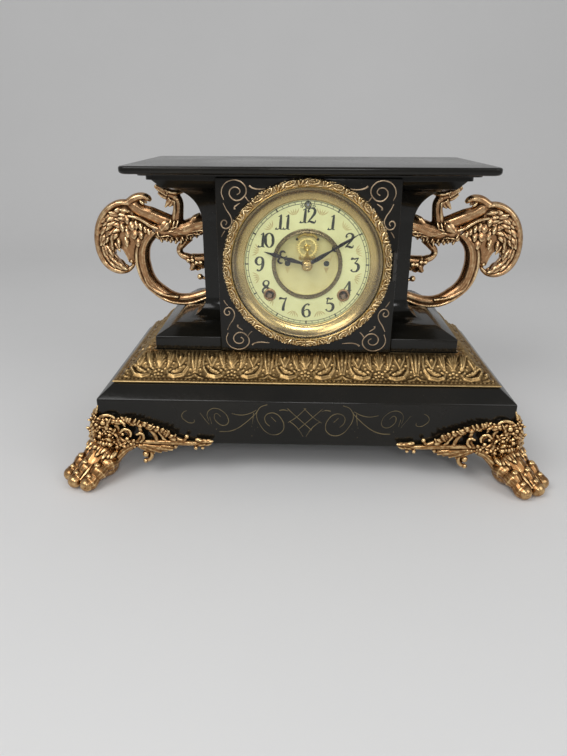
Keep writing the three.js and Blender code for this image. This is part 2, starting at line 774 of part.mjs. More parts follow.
// Back sheet, its access hole and the hinged door
function backPlate() {
  const edge = bodyProfile(-backInset);
  edge[0][1] = bodyBase + seatGap;
  const right = edge.map(([out, z]) => [neckHalfWidth + out, z]);
  const left = edge.map(([out, z]) => [-(neckHalfWidth + out), z]).reverse();
  const y0 = bodyBack + seatGap;
  const sheet = plateXZ(outline([...right, ...left]), y0, y0 + backSheet);
  const access = barY(accessRadius, y0 - 1, y0 + backSheet + 1, 0, bodyBase + accessRise, roundSides);
  return sheet.subtract(access);
}

const doorFront = bodyBack + 2 * seatGap + backSheet;
const doorBack = doorFront + doorSheet;
const doorCentre = bodyBase + accessRise;
const doorAxisX = doorRadius + knuckleRadius + hingeGap;
const doorAxisY = doorFront + knuckleRadius;

function backDoor() {
  const raised = doorBack + doorRaise;
  const disc = turned([
    [0, doorFront], [doorRadius, doorFront], [doorRadius, doorBack],
    [doorRadius - 6, doorBack], [doorRadius - 9, raised], [0, raised],
  ], 0, doorCentre);
  const [z0, z1] = [doorCentre - knuckleLength / 2, doorCentre + knuckleLength / 2];
  const knuckle = barZ(knuckleRadius, z0, z1, doorAxisX, doorAxisY, holeSides);
  const strap = box(doorRadius - 4, doorAxisX, doorFront, doorFront + leafThickness, z0, z1);
  const bore = barZ(hingePinRadius + runGap, z0 - 1, z1 + 1, doorAxisX, doorAxisY, holeSides);
  return disc.add(knuckle).add(strap).subtract(bore);
}

// A hinge's fixed half: two knuckles on their leaves, and the pin that the moving knuckle turns on
function hingeLeaf(x, y, z, radius, pinRadius, leaf) {
  const near = knuckleLength / 2 + hingeGap;
  const far = near + knuckleLength / 2;
  const parts = [barZ(pinRadius, z - far - 1, z + far + 1, x, y)];
  for (const [z0, z1] of [[z + near, z + far], [z - far, z - near]]) {
    parts.push(barZ(radius, z0, z1, x, y, holeSides), box(leaf.x0, leaf.x1, leaf.y0, leaf.y1, z0, z1));
  }
  return join(parts);
}

function backDoorHinge() {
  const leaf = { x0: doorAxisX, x1: doorAxisX + leafWidth, y0: doorFront, y1: doorFront + leafThickness };
  return hingeLeaf(doorAxisX, doorAxisY, doorCentre, knuckleRadius, hingePinRadius, leaf);
}

function backDoorKnob() {
  const seat = doorBack + doorRaise + seatGap;
  const stem = doorKnobRadius / 2;
  const profile = [
    [0, seat], [stem, seat], [stem, seat + 2], [doorKnobRadius, seat + 4], [doorKnobRadius - 1, seat + 6.4],
    [0, seat + 7],
  ];
  return turned(profile, -(doorRadius - doorKnobInset), doorCentre, holeSides);
}

// Handles: a winged griffin whose tail makes the loop; side is -1 on the left and 1 on the right
function griffin(side) {
  const at = (out, up, width, depth) =>
    [side * (neckHalfWidth + out), handlePlane, neckBase + up, width, depth];
  const depthLine = new THREE.Vector3(0, side, 0);
  const body = limb([
    at(52, 54, 7, 6.5), at(44, 55, 10, 8.5), at(33, 57, 11, 9.5), at(20, 61, 9.5, 9),
    at(6, 66, 8.5, 8), at(-6, 68, 8.5, 8),
  ], depthLine, 5);
  const tail = limb([
    at(60, 53, 6.5, 7), at(68.5, 37, 7.4, 7.5), at(69.5, 20, 8, 8), at(65, 5, 8, 8), at(54.5, -7, 7.4, 7.5),
    at(38, -14, 6.4, 6.8), at(23, -11, 5, 6), at(8, -5, 4, 5), at(-6, -1.5, 4, 5),
  ], depthLine, 13, 6);
  const neck = limb([
    at(39, 58, 7.5, 7), at(36.5, 68, 5.6, 5.6), at(33.5, 80, 5, 5), at(32.5, 89, 5.4, 5.2),
    at(36, 95, 6, 5.4), at(41, 97, 5, 4.6),
  ], depthLine, 5, 5);
  const beak = limb([at(39, 96, 6, 5), at(43.5, 92, 4.4, 3.6), at(43.5, 82.5, 0.8, 0.8)], depthLine, 2, 5);
  const crest = limb([at(42, 97, 2.4, 3), at(34, 98, 2.8, 3.4), at(24.5, 93, 1, 1)], depthLine, 2, 4);
  const thigh = limb([
    at(29, 52, 6, 6), at(32, 38, 4.4, 5), at(26, 32, 4.2, 5), at(18, 25, 4.6, 5),
  ], depthLine, 3, 5);
  const paw = limb([
    at(22, 28, 4, 4.4), at(15, 18, 6.4, 6), at(6, 17, 5.4, 5.6), at(-6, 18, 4.4, 5),
  ], depthLine, 3, 5);
  const wingEdge = [
    [46, 63], [50, 76], [57, 80], [58, 89], [68, 93], [81, 87.5], [95, 82], [108.5, 71.5], [115.6, 57],
    [117.6, 45], [115.6, 32], [108.5, 20.5], [94, 14], [83, 17], [80, 24], [86, 22.5], [92.5, 21.5],
    [99, 35], [93.6, 42], [83, 28], [76, 41], [72, 50], [55, 48],
  ];
  const wingShape = outline(wingEdge.map(([out, up]) => [side * (neckHalfWidth + out), neckBase + up]));
  const wingDepth = 0.75 * handleDepth;
  const wing = plateXZ(wingShape, handlePlane - wingDepth, handlePlane + wingDepth);
  const rim = limb([
    at(57, 79, 3, 5), at(61, 89, 3.5, handleDepth), at(70, 90, 3.5, handleDepth),
    at(95, 79, 3.8, handleDepth), at(107, 69, 4, handleDepth), at(113, 55, 4.2, handleDepth),
    at(113, 35, 4.2, handleDepth), at(105, 21, 4, handleDepth), at(93, 17, 3.6, 6), at(83, 20, 2.6, 4),
  ], depthLine, 10, 4);
  const whole = join([body, tail, neck, beak, crest, thigh, paw, wing, rim]);
  return cut(whole, [bodySpace(), handleScrewHole(side)]);
}

// A screw from inside the case into each griffin's haunch
const handleScrewHeight = neckBase + handleScrewRise;

function handleScrewHole(side) {
  const inner = side * (neckHalfWidth - castingWall - 1);
  const outer = side * (neckHalfWidth + screwShankLength + 1);
  return barX(screwShankRadius + runGap, inner, outer, handlePlane, handleScrewHeight, 8);
}

function handleScrew(side) {
  const seat = neckHalfWidth - castingWall - seatGap;
  const headEnd = side * (seat - screwHeadHeight);
  const head = barX(screwHeadRadius, headEnd, side * seat, handlePlane, handleScrewHeight, 8);
  const tip = side * (neckHalfWidth + screwShankLength);
  return head.add(barX(screwShankRadius, side * (seat - bite), tip, handlePlane, handleScrewHeight));
}

// Feet: a paw under each corner with an openwork bracket on each face of the plinth

// A bracket's outline: (in from the corner, up from the plinth's foot)
function bracketEdge(length) {
  return [
    [0, -4], [-3, 28], [-1, 40], [5, 31], [13, 30], [0.24 * length, 26], [0.45 * length, 21],
    [0.66 * length, 15], [0.78 * length, 7], [0.96 * length, 7.5], [length, 4], [0.96 * length, 1],
    [0.78 * length, -0.5], [0.56 * length, -1.5], [0.46 * length, -8], [0.38 * length, -14.5],
    [0.34 * length, -10.5], [0.3 * length, -3], [14, -4.5],
  ];
}

function bracketHole(length) {
  return [
    [0.26 * length, 9], [0.3 * length, 17], [0.42 * length, 13], [0.5 * length, 8], [0.4 * length, 5],
  ];
}

function bracketShape(length, place) {
  const shape = outline(bracketEdge(length).map(([inward, up]) => [place(-inward), footHeight + up]));
  shape.holes.push(outline(bracketHole(length).map(([inward, up]) => [place(-inward), footHeight + up])));
  return shape;
}

// One foot; x and y count outward from the plinth's corner, and the sides are -1 or 1
function pawFoot(sideX, sideY) {
  const placeX = (x) => sideX * (neckHalfWidth + plinthOut + x);
  const placeY = (y) => sideY * (plinthHalfDepth + y);
  const at = (x, y, z, width, height) => [placeX(x), placeY(y), z, width, height];
  const block = (x0, x1, y0, y1, z0, z1) => box(placeX(x0), placeX(x1), placeY(y0), placeY(y1), z0, z1);
  const up = new THREE.Vector3(0, 0, -sideX * sideY);
  const ankle = limb([
    at(-14, -10, 0.86 * footHeight, 13, 9), at(-3, 1, 0.72 * footHeight, 15, 11),
    at(9, 12, 0.5 * footHeight, 18, 11), at(16, 19, 0.3 * footHeight, 19, 9),
  ], up, 3, 6);
  const toes = [[-16, 22], [-5.5, 27], [5.5, 27], [16, 22]].map(([across, ahead]) => {
    const toe = (run, z, width, height) =>
      at(toeX * (ahead + run) + toeY * across, toeY * (ahead + run) - toeX * across, z, width, height);
    return limb([
      toe(-22, 0.5 * footHeight, 5.6, 5), toe(-10, 0.42 * footHeight, 6.4, 6.4),
      toe(-1, 0.3 * footHeight, 6, 6.4), toe(7, 0.14 * footHeight, 5.2, 5.4),
      toe(12, 0.1 * footHeight, 3, 3.4),
    ], up, 4, 5);
  });
  const heel = ellipsoid(placeX(-3), placeY(-3), 0.22 * footHeight, 17, 17, 0.3 * footHeight);
  const seat = block(-footSeat, 0, -footSeat, 0, footSeatBase, footHeight - seatGap);
  const outer = seatGap + bracketThickness;
  const front = plateXZ(bracketShape(bracketLength, placeX), placeY(seatGap), placeY(outer));
  const flank = plateYZ(bracketShape(sideBracketLength, placeY), placeX(seatGap), placeX(outer));
  const corner = block(-3, outer, -3, outer, 0.7 * footHeight, footHeight - seatGap);
  const spur = limb([
    at(seatGap + 3, seatGap + 3, 0.6 * footHeight, 5, 5),
    at(seatGap + 5, seatGap + 5, footHeight + 14, 4.4, 4.4),
    at(seatGap + 2.6, seatGap + 2.6, footHeight + 38, 1.2, 1.2),
  ], new THREE.Vector3(sideX, sideY, 0).normalize(), 2, 4);
  const whole = join([ankle, ...toes, heel, seat, front, flank, corner, spur]);
  const far = -(neckHalfWidth + plinthOut);
  const plinthSpace = block(far, seatGap, far, seatGap, footHeight - seatGap, slabTop);
  const belowTable = block(far, -far, far, -far, -footHeight, 0);
  const [boltX, boltY] = [placeX(-footBoltInset), placeY(-footBoltInset)];
  const boltHole = barZ(footBoltRadius + runGap, -1, footHeight + 1, boltX, boltY);
  const headHole = barZ(footBoltHead + runGap, -1, footSeatBase + footBoltSink, boltX, boltY);
  const reach = block(far, pawReachX, far, pawReachY, -1, slabTop);
  return cut(whole, [plinthSpace, belowTable, boltHole, headHole]).intersect(reach);
}

function footBolt(x, y) {
  const headTop = footSeatBase + footBoltSink - seatGap;
  const head = barZ(footBoltHead, headTop - 4, headTop, x, y, 6);
  return head.add(barZ(footBoltRadius, headTop - bite, plinthBase + footBoltReach, x, y));
}

clock.add(
  piece('base_plinth', makeEnamel(), basePlinth()),
  piece('gilt_band', makeBandBrass(), giltBand()),
  piece('front_panel', makeEnamel(), frontPanel()),
  piece('top_slab', makeEnamel(), topSlab()),
  piece('back_plate', makeIron(), backPlate()),
  piece('back_door', makeIron(), backDoor()),
  piece('back_door_hinge', makeSteel(), backDoorHinge()),
  piece('back_door_knob', makeBrass(), backDoorKnob()),
);
for (const [side, word] of [[-1, 'left'], [1, 'right']]) {
  clock.add(
    piece(`side_casting_${word}`, makeEnamel(), sideCasting(side)),
    piece(`tie_rod_${word}`, makeSteel(), tieRod(side)),
    piece(`griffin_${word}`, makeGilt(), griffin(side)),
    piece(`griffin_screw_${word}`, makeSteel(), handleScrew(side)),
    piece(`foot_front_${word}`, makeGilt(), pawFoot(side, -1)),
    piece(`foot_back_${word}`, makeGilt(), pawFoot(side, 1)),
  );
}
footCorners().forEach(([x, y], k) => {
  clock.add(piece(`foot_bolt_${k + 1}`, makeSteel(), footBolt(x, y)));
});

// Everything below is modelled about the dial's own axis and lifted to the dial's height
const works = new THREE.Group();
works.position.set(0, 0, dialHeight);
clock.add(works);

// Bezel, its hinge and the domed glass
const bezelBack = -panelFront - seatGap;
const bezelFront = bezelBack - bezelDepth;
const bezelAxisX = bezelRadius + bezelKnuckle + hingeGap;
const bezelAxisY = bezelBack - bezelKnuckle;

function bezel() {
  const ring = turned([
    [bezelSeatRadius, bezelBack], [bezelRadius, bezelBack], [bezelRadius - 1, bezelFront + 1.4],
    [bezelRadius - 3, bezelFront], [bezelSeatRadius, bezelFront], [bezelOpening + 1, bezelFront - bezelBead],
    [bezelOpening, bezelFront - 0.4], [bezelSeatRadius, bezelFront + 1], [bezelSeatRadius, bezelBack],
  ]);
  const half = knuckleLength / 2;
  const knuckle = barZ(bezelKnuckle, -half, half, bezelAxisX, bezelAxisY, holeSides);
  const strap = box(bezelRadius - 3, bezelAxisX, bezelAxisY - 1, bezelAxisY + 1, -half, half);
  const bore = barZ(bezelPinRadius + runGap, -half - 1, half + 1, bezelAxisX, bezelAxisY, holeSides);
  return ring.add(knuckle).add(strap).subtract(bore);
}

function bezelHinge() {
  const leaf = { x0: bezelAxisX - bezelKnuckle, x1: panelHalfWidth, y0: bezelAxisY, y1: bezelBack };
  return hingeLeaf(bezelAxisX, bezelAxisY, 0, bezelKnuckle, bezelPinRadius, leaf);
}

function glassDome() {
  const edge = bezelSeatRadius - 2 * seatGap;
  const back = bezelFront + 1 + seatGap + glassThickness;
  const front = back - glassThickness;
  const dome = (radius, base) => base - glassRise * (1 - (radius / edge) ** 2);
  const rings = [0.5, 0.8];
  const outside = rings.map((share) => [share * edge, dome(share * edge, front)]);
  const inside = rings.map((share) => [share * edge, dome(share * edge, back)]).reverse();
  return turned([
    [0, dome(0, front)], ...outside, [edge, front], [edge, back], ...inside, [0, dome(0, back)],
  ]);
}

// Dial: dished brass surround, chapter ring, inner ring, centre plate and eyelets
function dialSurround() {
  const flange = -panelFront - seatGap;
  const inner = dialFace - seatGap;
  const front = -panelFront - surroundDepth;
  const wall = panelHoleRadius - 1;
  return turned([
    [surroundRadius, flange], [surroundRadius, front], [surroundRadius - 1.6, front - 0.6],
    [visibleDialRadius + 4, inner - 1.6], [visibleDialRadius, inner - 0.8], [visibleDialRadius, inner],
    [dialRadius - 1, inner], [wall, flange - 0.6], [wall, flange], [surroundRadius, flange],
  ]);
}

function chapterRing() {
  const profile = ringProfile(innerRingRadius - innerRingWidth + 1, dialRadius, dialFace, dialBack);
  const disc = turned(profile, 0, 0, innerSides);
  const holes = [[-windX, windZ], [windX, windZ]].map(([x, z]) =>
    barY(eyeletRadius - 1.2, dialFace - 1, dialBack + 1, x, z));
  const regulator = barY(regulatorRadius + 2 * runGap, dialFace - 1, dialBack + 1, 0, regulatorRise);
  return cut(disc, [...holes, regulator]);
}

function innerRing() {
  const back = dialFace - seatGap;
  const front = dialFace - innerRingProud;
  const inner = innerRingRadius - innerRingWidth;
  return turned(ringProfile(inner, innerRingRadius, front, back), 0, 0, innerSides);
}

const centreFloor = dialBack + centreRecess;
const centreInner = innerRingRadius - innerRingWidth;

function centrePlate() {
  const lip = dialBack + seatGap;
  const outer = centreInner + centreFlange;
  const dish = turned([
    [0, centreFloor], [centreInner - 0.6, centreFloor], [centreInner, centreFloor - 0.6], [centreInner, lip],
    [outer, lip], [outer, lip + centreSheet], [centreInner + 1.2, lip + centreSheet],
    [centreInner + 1, centreFloor + centreSheet], [0, centreFloor + centreSheet],
  ], 0, 0, innerSides);
  const through = (radius, x, z) => barY(radius, centreFloor - 1, centreFloor + centreSheet + 1, x, z, 10);
  return cut(dish, [
    through(hourPipeRadius + runGap, 0, 0),
    through(peepHoleRadius, -peepHoleOffset, 0),
    through(peepHoleRadius, peepHoleOffset, 0),
    through(escapeArborRadius + runGap, 0, escapeRise),
    through(palletArborRadius + runGap, 0, palletRise),
    ...bridgeFeet().map(([x, z]) => through(bridgeFootRadius + runGap, x, z)),
  ]);
}

function windingEyelet(x) {
  const back = dialFace - seatGap;
  const profile = ringProfile(eyeletRadius - 1.8, eyeletRadius, back - eyeletThickness, back);
  return turned(profile, x, windZ, holeSides);
}

// Hands, drawn pointing at twelve
function handBody(length, arm, front, hubRadius, bore) {
  const half = [
    [1.1, 0], [2, handArmAt * 0.45], [1.1, handArmAt * 0.9], [1.3, handArmAt - 1.5],
    [arm.width, handArmAt - 1.5 + arm.rise], [arm.width, handArmAt + arm.rise], [1.5, handArmAt + 1.5],
    [0.9, handArmAt + 4], [0.35, length],
  ];
  const left = half.map(([x, z]) => [-x, z]).reverse();
  const blade = plateXZ(outline([...half, ...left]), front, front + handThickness);
  const hub = barY(hubRadius, front, front + handThickness, 0, 0, 16);
  const hole = barY(bore, front - 1, front + handThickness + 1, 0, 0, holeSides);
  return blade.add(hub).subtract(hole);
}

// A hand turned clockwise to the time
function handAt(name, angle, body) {
  const mesh = piece(name, makeBlued(), body);
  mesh.rotation.y = radians(angle);
  return mesh;
}

function hourHand() {
  return handBody(hourHandLength, { width: 5, rise: 3.5 }, dialFace - hourHandFront, 4.6, hourTip + runGap);
}

function minuteHand() {
  const bore = centreArborRadius + runGap;
  return handBody(minuteHandLength, { width: 3, rise: 1.5 }, dialFace - minuteHandFront, 4.2, bore);
}

function handNut() {
  const back = dialFace - minuteHandFront - seatGap;
  const bore = centreArborRadius + runGap;
  const front = back - handNutHeight;
  return turned([
    [bore, back], [handNutRadius, back], [handNutRadius, back - 1], [0.75 * handNutRadius, front + 0.6],
    [bore, front], [bore, back],
  ], 0, 0, holeSides);
}

// Motion work: cannon pinion, minute wheel and hour wheel turn the hour hand once for twelve turns
const cannonPitch = (motionDistance * cannonTeeth) / (cannonTeeth + minuteWheelTeeth);
const minuteWheelPitch = motionDistance - cannonPitch;
const hourPitch = (motionDistance * hourWheelTeeth) / (hourWheelTeeth + minutePinionTeeth);
const minutePinionPitch = motionDistance - hourPitch;
const firstModule = (2 * motionDistance) / (cannonTeeth + minuteWheelTeeth);
const secondModule = (2 * motionDistance) / (hourWheelTeeth + minutePinionTeeth);
const minuteX = motionDistance * Math.cos(radians(motionAngle));
const minuteZ = motionDistance * Math.sin(radians(motionAngle));
const minuteWheelFront = frontPlateFront - 1 - gearThickness;
const hourWheelFront = minuteWheelFront - 0.6 - gearThickness;
const firstPlane = [minuteWheelFront, minuteWheelFront + gearThickness];
const secondPlane = [hourWheelFront, hourWheelFront + gearThickness];

function minuteWheel() {
  const facing = motionAngle + 180;
  const wheel = toothedShape(minuteWheelTeeth, minuteWheelPitch, firstModule, facing, minuteX, minuteZ);
  const leaf = facing + 180 / minutePinionTeeth;
  const pinion = toothedShape(minutePinionTeeth, minutePinionPitch, secondModule, leaf, minuteX, minuteZ);
  const bore = barY(minuteStudRadius + runGap, secondPlane[0] - 1, firstPlane[1] + 1, minuteX, minuteZ);
  const leaves = plateXZ(pinion, secondPlane[0], firstPlane[0] + bite);
  return plateXZ(wheel, ...firstPlane).add(leaves).subtract(bore);
}

const pipeFront = dialFace - hourHandFront - 0.4;
const hourTip = hourPipeRadius - 0.6;

function hourWheel() {
  const teeth = toothedShape(hourWheelTeeth, hourPitch, secondModule, motionAngle, 0, 0);
  const shoulder = dialFace - hourHandFront + handThickness + seatGap;
  const pipe = barY(hourPipeRadius, shoulder, secondPlane[0] + bite, 0, 0, holeSides);
  const tip = barY(hourTip, pipeFront, shoulder + bite, 0, 0, holeSides);
  const bore = barY(centreArborRadius + runGap, pipeFront - 1, secondPlane[1] + 1, 0, 0, 8);
  return plateXZ(teeth, ...secondPlane).add(pipe).add(tip).subtract(bore);
}

// Centre arbor: carries the minute hand, the cannon pinion and the pinion that the great wheel drives
const greatDistance = Math.hypot(windX, windZ);
const greatModule = (2 * greatDistance) / (greatTeeth + centrePinionTeeth);
const greatPitch = (greatDistance * greatTeeth) / (greatTeeth + centrePinionTeeth);
const centrePinionPitch = greatDistance - greatPitch;
const greatAngle = THREE.MathUtils.radToDeg(Math.atan2(windZ, windX));
const timeWheelFront = frontPlateBack + 3;
const timeWheelPlane = [timeWheelFront, timeWheelFront + 2.4];
const strikeWheelBack = backPlateFront - 3;
const strikeWheelPlane = [strikeWheelBack - 2.4, strikeWheelBack];

function centreArbor() {
  const front = dialFace - minuteHandFront - 2;
  const arbor = barY(centreArborRadius, front, backPlateBack - bite, 0, 0, 8);
  const cannonLeaf = motionAngle + 180 / cannonTeeth;
  const cannon = toothedShape(cannonTeeth, cannonPitch, firstModule, cannonLeaf, 0, 0);
  const pinionLeaf = greatAngle + 180 / centrePinionTeeth;
  const pinion = toothedShape(centrePinionTeeth, centrePinionPitch, greatModule, pinionLeaf, 0, 0);
  const [y0, y1] = timeWheelPlane;
  const wheel = barY(centreWheelRadius, y1 + 9, y1 + 10.6, 0, 0, innerSides);
  return join([arbor, plateXZ(cannon, ...firstPlane), plateXZ(pinion, y0 - 0.8, y1 + 1), wheel]);
}

// Barrels: spring drums with a toothed great wheel before their closed end, bored for the winding arbor
const timeDrum = [backPlateFront - 3 - drumLength, backPlateFront - 3];
const strikeDrum = [frontPlateBack + 5 + drumLength, frontPlateBack + 5];

function barrel(x, wheelPlane, [closed, open]) {
  const teeth = toothedShape(greatTeeth, greatPitch, greatModule, greatAngle + 180, x, windZ);
  const bore = arborRadius + runGap;
  const inside = drumRadius - drumWall;
  const floor = closed + Math.sign(open - closed) * drumWall;
  const drum = turned([
    [bore, closed], [drumRadius, closed], [drumRadius, open], [inside, open], [inside, floor], [bore, floor],
    [bore, closed],
  ], x, windZ, innerSides);
  const hubFront = Math.min(closed - bite, wheelPlane[0] + bite);
  const hubBack = Math.max(closed + bite, wheelPlane[1] - bite);
  const hub = barY(arborRadius + 3, hubFront, hubBack, x, windZ, 8);
  const whole = plateXZ(teeth, ...wheelPlane).add(hub).add(drum);
  return whole.subtract(barY(bore, frontPlateFront, backPlateBack, x, windZ, holeSides));
}

// Winding arbors: a square end in the dial, a ratchet wheel behind the front plate
function windingArbor(x) {
  const squareFront = dialFace - windSquareFront;
  const shoulder = frontPlateFront - 2;
  const square = box(x - windSquare / 2, x + windSquare / 2, squareFront, shoulder + 0.5,
    windZ - windSquare / 2, windZ + windSquare / 2);
  const ratchetFront = frontPlateBack + 0.6;
  const round = barY(arborRadius, shoulder, backPlateBack - bite, x, windZ, 10);
  const ratchet = plateXZ(ratchetShape(x, windZ, 6.5, 5, 16), ratchetFront, ratchetFront + 1.6);
  return join([square, round, ratchet]);
}

function ratchetShape(x, z, tip, root, teeth) {
  const points = [];
  for (let tooth = 0; tooth < teeth; tooth += 1) {
    const step = (2 * Math.PI) / teeth;
    const angle = tooth * step;
    points.push([x + tip * Math.cos(angle), z + tip * Math.sin(angle)]);
    points.push([x + root * Math.cos(angle + 0.15 * step), z + root * Math.sin(angle + 0.15 * step)]);
  }
  return outline(points);
}

// Plates: the pillars are riveted to the front one, which screws to the panel's bosses
function plateBlank(y0, y1) {
  return box(-plateHalfWidth, plateHalfWidth, y0, y1, -plateFoot, plateTop);
}

function pillarPlaces() {
  return [
    [-pillarTopX, pillarTopZ], [pillarTopX, pillarTopZ],
    [-pillarFootX, -pillarFootZ], [pillarFootX, -pillarFootZ],
  ];
}

function postPlaces() {
  return [[-postX, postZ], [postX, postZ], [-postX, -postZ], [postX, -postZ]];
}

function arborHoles(y0, y1) {
  const hole = (radius, x, z) => barY(radius + runGap, y0 - 1, y1 + 1, x, z, holeSides);
  return [
    hole(arborRadius, -windX, windZ),
    hole(arborRadius, windX, windZ),
    hole(centreArborRadius, 0, 0),
    hole(palletArborRadius, 0, palletRise),
  ];
}

function frontPlate() {
  const [y0, y1] = [frontPlateFront, frontPlateBack];
  const stud = barY(minuteStudRadius, secondPlane[0] - 0.4, y0 + 0.5, minuteX, minuteZ, 10);
  const holes = [
    ...arborHoles(y0, y1),
    barY(escapeArborRadius + runGap, y0 - 1, y1 + 1, 0, escapeRise),
    barY(regulatorRadius + runGap, y0 - 1, y1 + 1, 0, regulatorRise),
    ...postPlaces().map(([x, z]) => barY(studRadius + runGap, y0 - 1, y1 + 1, x, z)),
  ];
  const pillarBack = backPlateFront - seatGap;
  const pillars = pillarPlaces().map(([x, z]) => barY(pillarRadius, y1 - bite, pillarBack, x, z));
  return join([cut(plateBlank(y0, y1), holes), stud, ...pillars]);
}

function rearPlate() {
  const [y0, y1] = [backPlateFront, backPlateBack];
  const hammerHole = barY(hammerArborRadius + runGap, y0 - 1, y1 + 1, hammerPivotX, -hammerPivotDrop);
  return cut(plateBlank(y0, y1), [...arborHoles(y0, y1), hammerHole]);
}

function movementScrew(x, z) {
  const seat = frontPlateBack + seatGap;
  const head = barY(screwHeadRadius, seat, seat + screwHeadHeight, x, z, 8);
  return head.add(barY(studRadius, panelBack + 1.5, seat + 0.5, x, z));
}

// Visible escapement: escape wheel, pallets on their own arbor, and the bridge that carries both
const escapePlane = [centreFloor - 2, centreFloor - 1.1];
const bridgeFront = escapePlane[0] - 0.5 - bridgeThickness;
const bridgeFootRadius = 1;

function bridgeFeet() {
  return [[-6.5, 5.5], [6.5, 5.5]];
}

function escapeWheel() {
  const points = [];
  const step = (2 * Math.PI) / escapeTeeth;
  for (let tooth = 0; tooth < escapeTeeth; tooth += 1) {
    const tip = tooth * step;
    const root = tip + 0.35 * step;
    const deep = escapeRadius - escapeToothDepth;
    points.push([escapeRadius * Math.cos(tip), escapeRise + escapeRadius * Math.sin(tip)]);
    points.push([deep * Math.cos(root), escapeRise + deep * Math.sin(root)]);
  }
  const shape = outline(points);
  const [inner, outer] = [2.4, 6.2];
  for (let spoke = 0; spoke < 4; spoke += 1) {
    const start = radians(90 * spoke + 14);
    const end = radians(90 * spoke + 76);
    const middle = (start + end) / 2;
    const corner = (radius, angle) => [radius * Math.cos(angle), escapeRise + radius * Math.sin(angle)];
    shape.holes.push(outline([
      corner(inner, middle), corner(outer, start), corner(outer, middle), corner(outer, end)]));
  }
  const wheel = plateXZ(shape, ...escapePlane);
  const arbor = barY(escapeArborRadius, bridgeFront + 0.2, frontPlateBack + 12, 0, escapeRise, 8);
  const boss = barY(1.7, escapePlane[0] - 0.2, escapePlane[1] + 0.5, 0, escapeRise, 12);
  const pinion = barY(2.4, frontPlateBack + 2, frontPlateBack + 9, 0, escapeRise, 8);
  return join([wheel, arbor, boss, pinion]);
}

function pallets() {
  const [y0, y1] = escapePlane;
  const arms = [
    [0, palletRise + 1.2], [0.6 * palletSpread, palletRise + 0.6],
    [palletSpread + 1, palletRise - palletDrop + 1], [palletSpread - 1, palletRise - palletDrop],
    [0.5 * palletSpread, palletRise - 1.1], [0, palletRise - 1.1],
  ];
  const left = arms.slice(1, -1).map(([x, z]) => [-x, z]).reverse();
  const anchor = plateXZ(outline([...arms, ...left]), y0 - 0.2, y1 - 0.1);
  const stones = [-palletSpread, palletSpread].map((x) =>
    barY(palletStone, y0 - 0.6, y1 + 0.3, x, palletRise - palletDrop, 8));
  const crutchY = backPlateBack + 3;
  const arbor = barY(palletArborRadius, bridgeFront + 0.2, crutchY + 0.5, 0, palletRise, 8);
  const foot = palletRise - crutchDrop;
  const arm = box(-1.2, 1.2, crutchY, crutchY + crutchThickness, foot, palletRise);
  const reach = pendulumRodRadius + 2 * runGap;
  const prong = (x) => box(x - 0.5, x + 0.5, crutchY, rodY + pendulumRodRadius + 1, foot, foot + 3);
  const fork = box(-reach - 0.8, reach + 0.8, crutchY, crutchY + crutchThickness, foot, foot + 3);
  return join([anchor, ...stones, arbor, arm, fork, prong(-reach - 0.5), prong(reach + 0.5)]);
}

function escapementBridge() {
  const [y0, y1] = [bridgeFront, bridgeFront + bridgeThickness];
  const shape = outline([
    [-9, 4], [9, 4], [8, 7.2], [2.4, escapeRise - 1], [1.6, escapeRise + 1.8], [-1.6, escapeRise + 1.8],
    [-2.4, escapeRise - 1], [-8, 7.2],
  ]);
  const plate = plateXZ(shape, y0, y1);
  const footEnd = centreFloor + centreSheet + 0.4;
  const feet = bridgeFeet().map(([x, z]) => barY(bridgeFootRadius, y0 + bite, footEnd, x, z));
  const pivot = barY(escapeArborRadius + runGap, y0 - 1, y1 + 1, 0, escapeRise, 8);
  const clearHub = barY(hourPipeRadius + 2 * runGap, y0 - 1, y1 + 1, 0, 0, 16);
  return cut(join([plate, ...feet]), [pivot, clearHub]);
}

function regulatorArbor() {
  const square = box(-1, 1, dialFace - 1.5, dialBack + 2, regulatorRise - 1, regulatorRise + 1);
  return square.add(barY(regulatorRadius, dialBack + 1, frontPlateBack + 6, 0, regulatorRise, 10));
}

// Suspension cock on the rear plate and the pendulum hanging from it

function suspensionCock() {
  const clamp = palletRise + springRise;
  const seat = backPlateBack + seatGap;
  const arm = box(-4, 4, seat, rodY + 4, clamp - 2, clamp + 5);
  const foot = box(-9, 9, seat, backPlateBack + 3, clamp - 4, clamp + 10);
  const slotHalf = springSheet / 2 + 1;
  const slot = box(-slotHalf, slotHalf, rodY - springWidth / 2 - 1, rodY + 5, palletRise, clamp + 3);
  return arm.add(foot).subtract(slot);
}

function suspensionSpring() {
  const [halfSheet, halfWidth] = [springSheet / 2, springWidth / 2];
  const foot = palletRise - springRise;
  return box(-halfSheet, halfSheet, rodY - halfWidth, rodY + halfWidth, foot, palletRise + springRise + 2);
}

function pendulumRod() {
  const top = palletRise - springRise - seatGap;
  const foot = palletRise - pendulumLength - bobRadius - 5;
  const rod = barZ(pendulumRodRadius, foot, top, 0, rodY, 10);
  const nut = barZ(3, foot, palletRise - pendulumLength - bobRadius - seatGap, 0, rodY, 10);
  return rod.add(nut);
}

function pendulumBob() {
  const half = bobThickness / 2;
  const middle = palletRise - pendulumLength;
  const lens = turned([
    [0, rodY - half], [0.6 * bobRadius, rodY - 0.75 * half], [bobRadius, rodY - 0.6],
    [bobRadius, rodY + 0.6], [0.6 * bobRadius, rodY + 0.75 * half], [0, rodY + half],
  ], 0, middle, 20);
  const [z0, z1] = [middle - bobRadius - 1, middle + bobRadius + 1];
  return lens.subtract(barZ(pendulumRodRadius + runGap, z0, z1, 0, rodY, 10));
}

// Coil gong on its stand, and the strike hammer
const gongY = backPlateBack + gongSetBack;

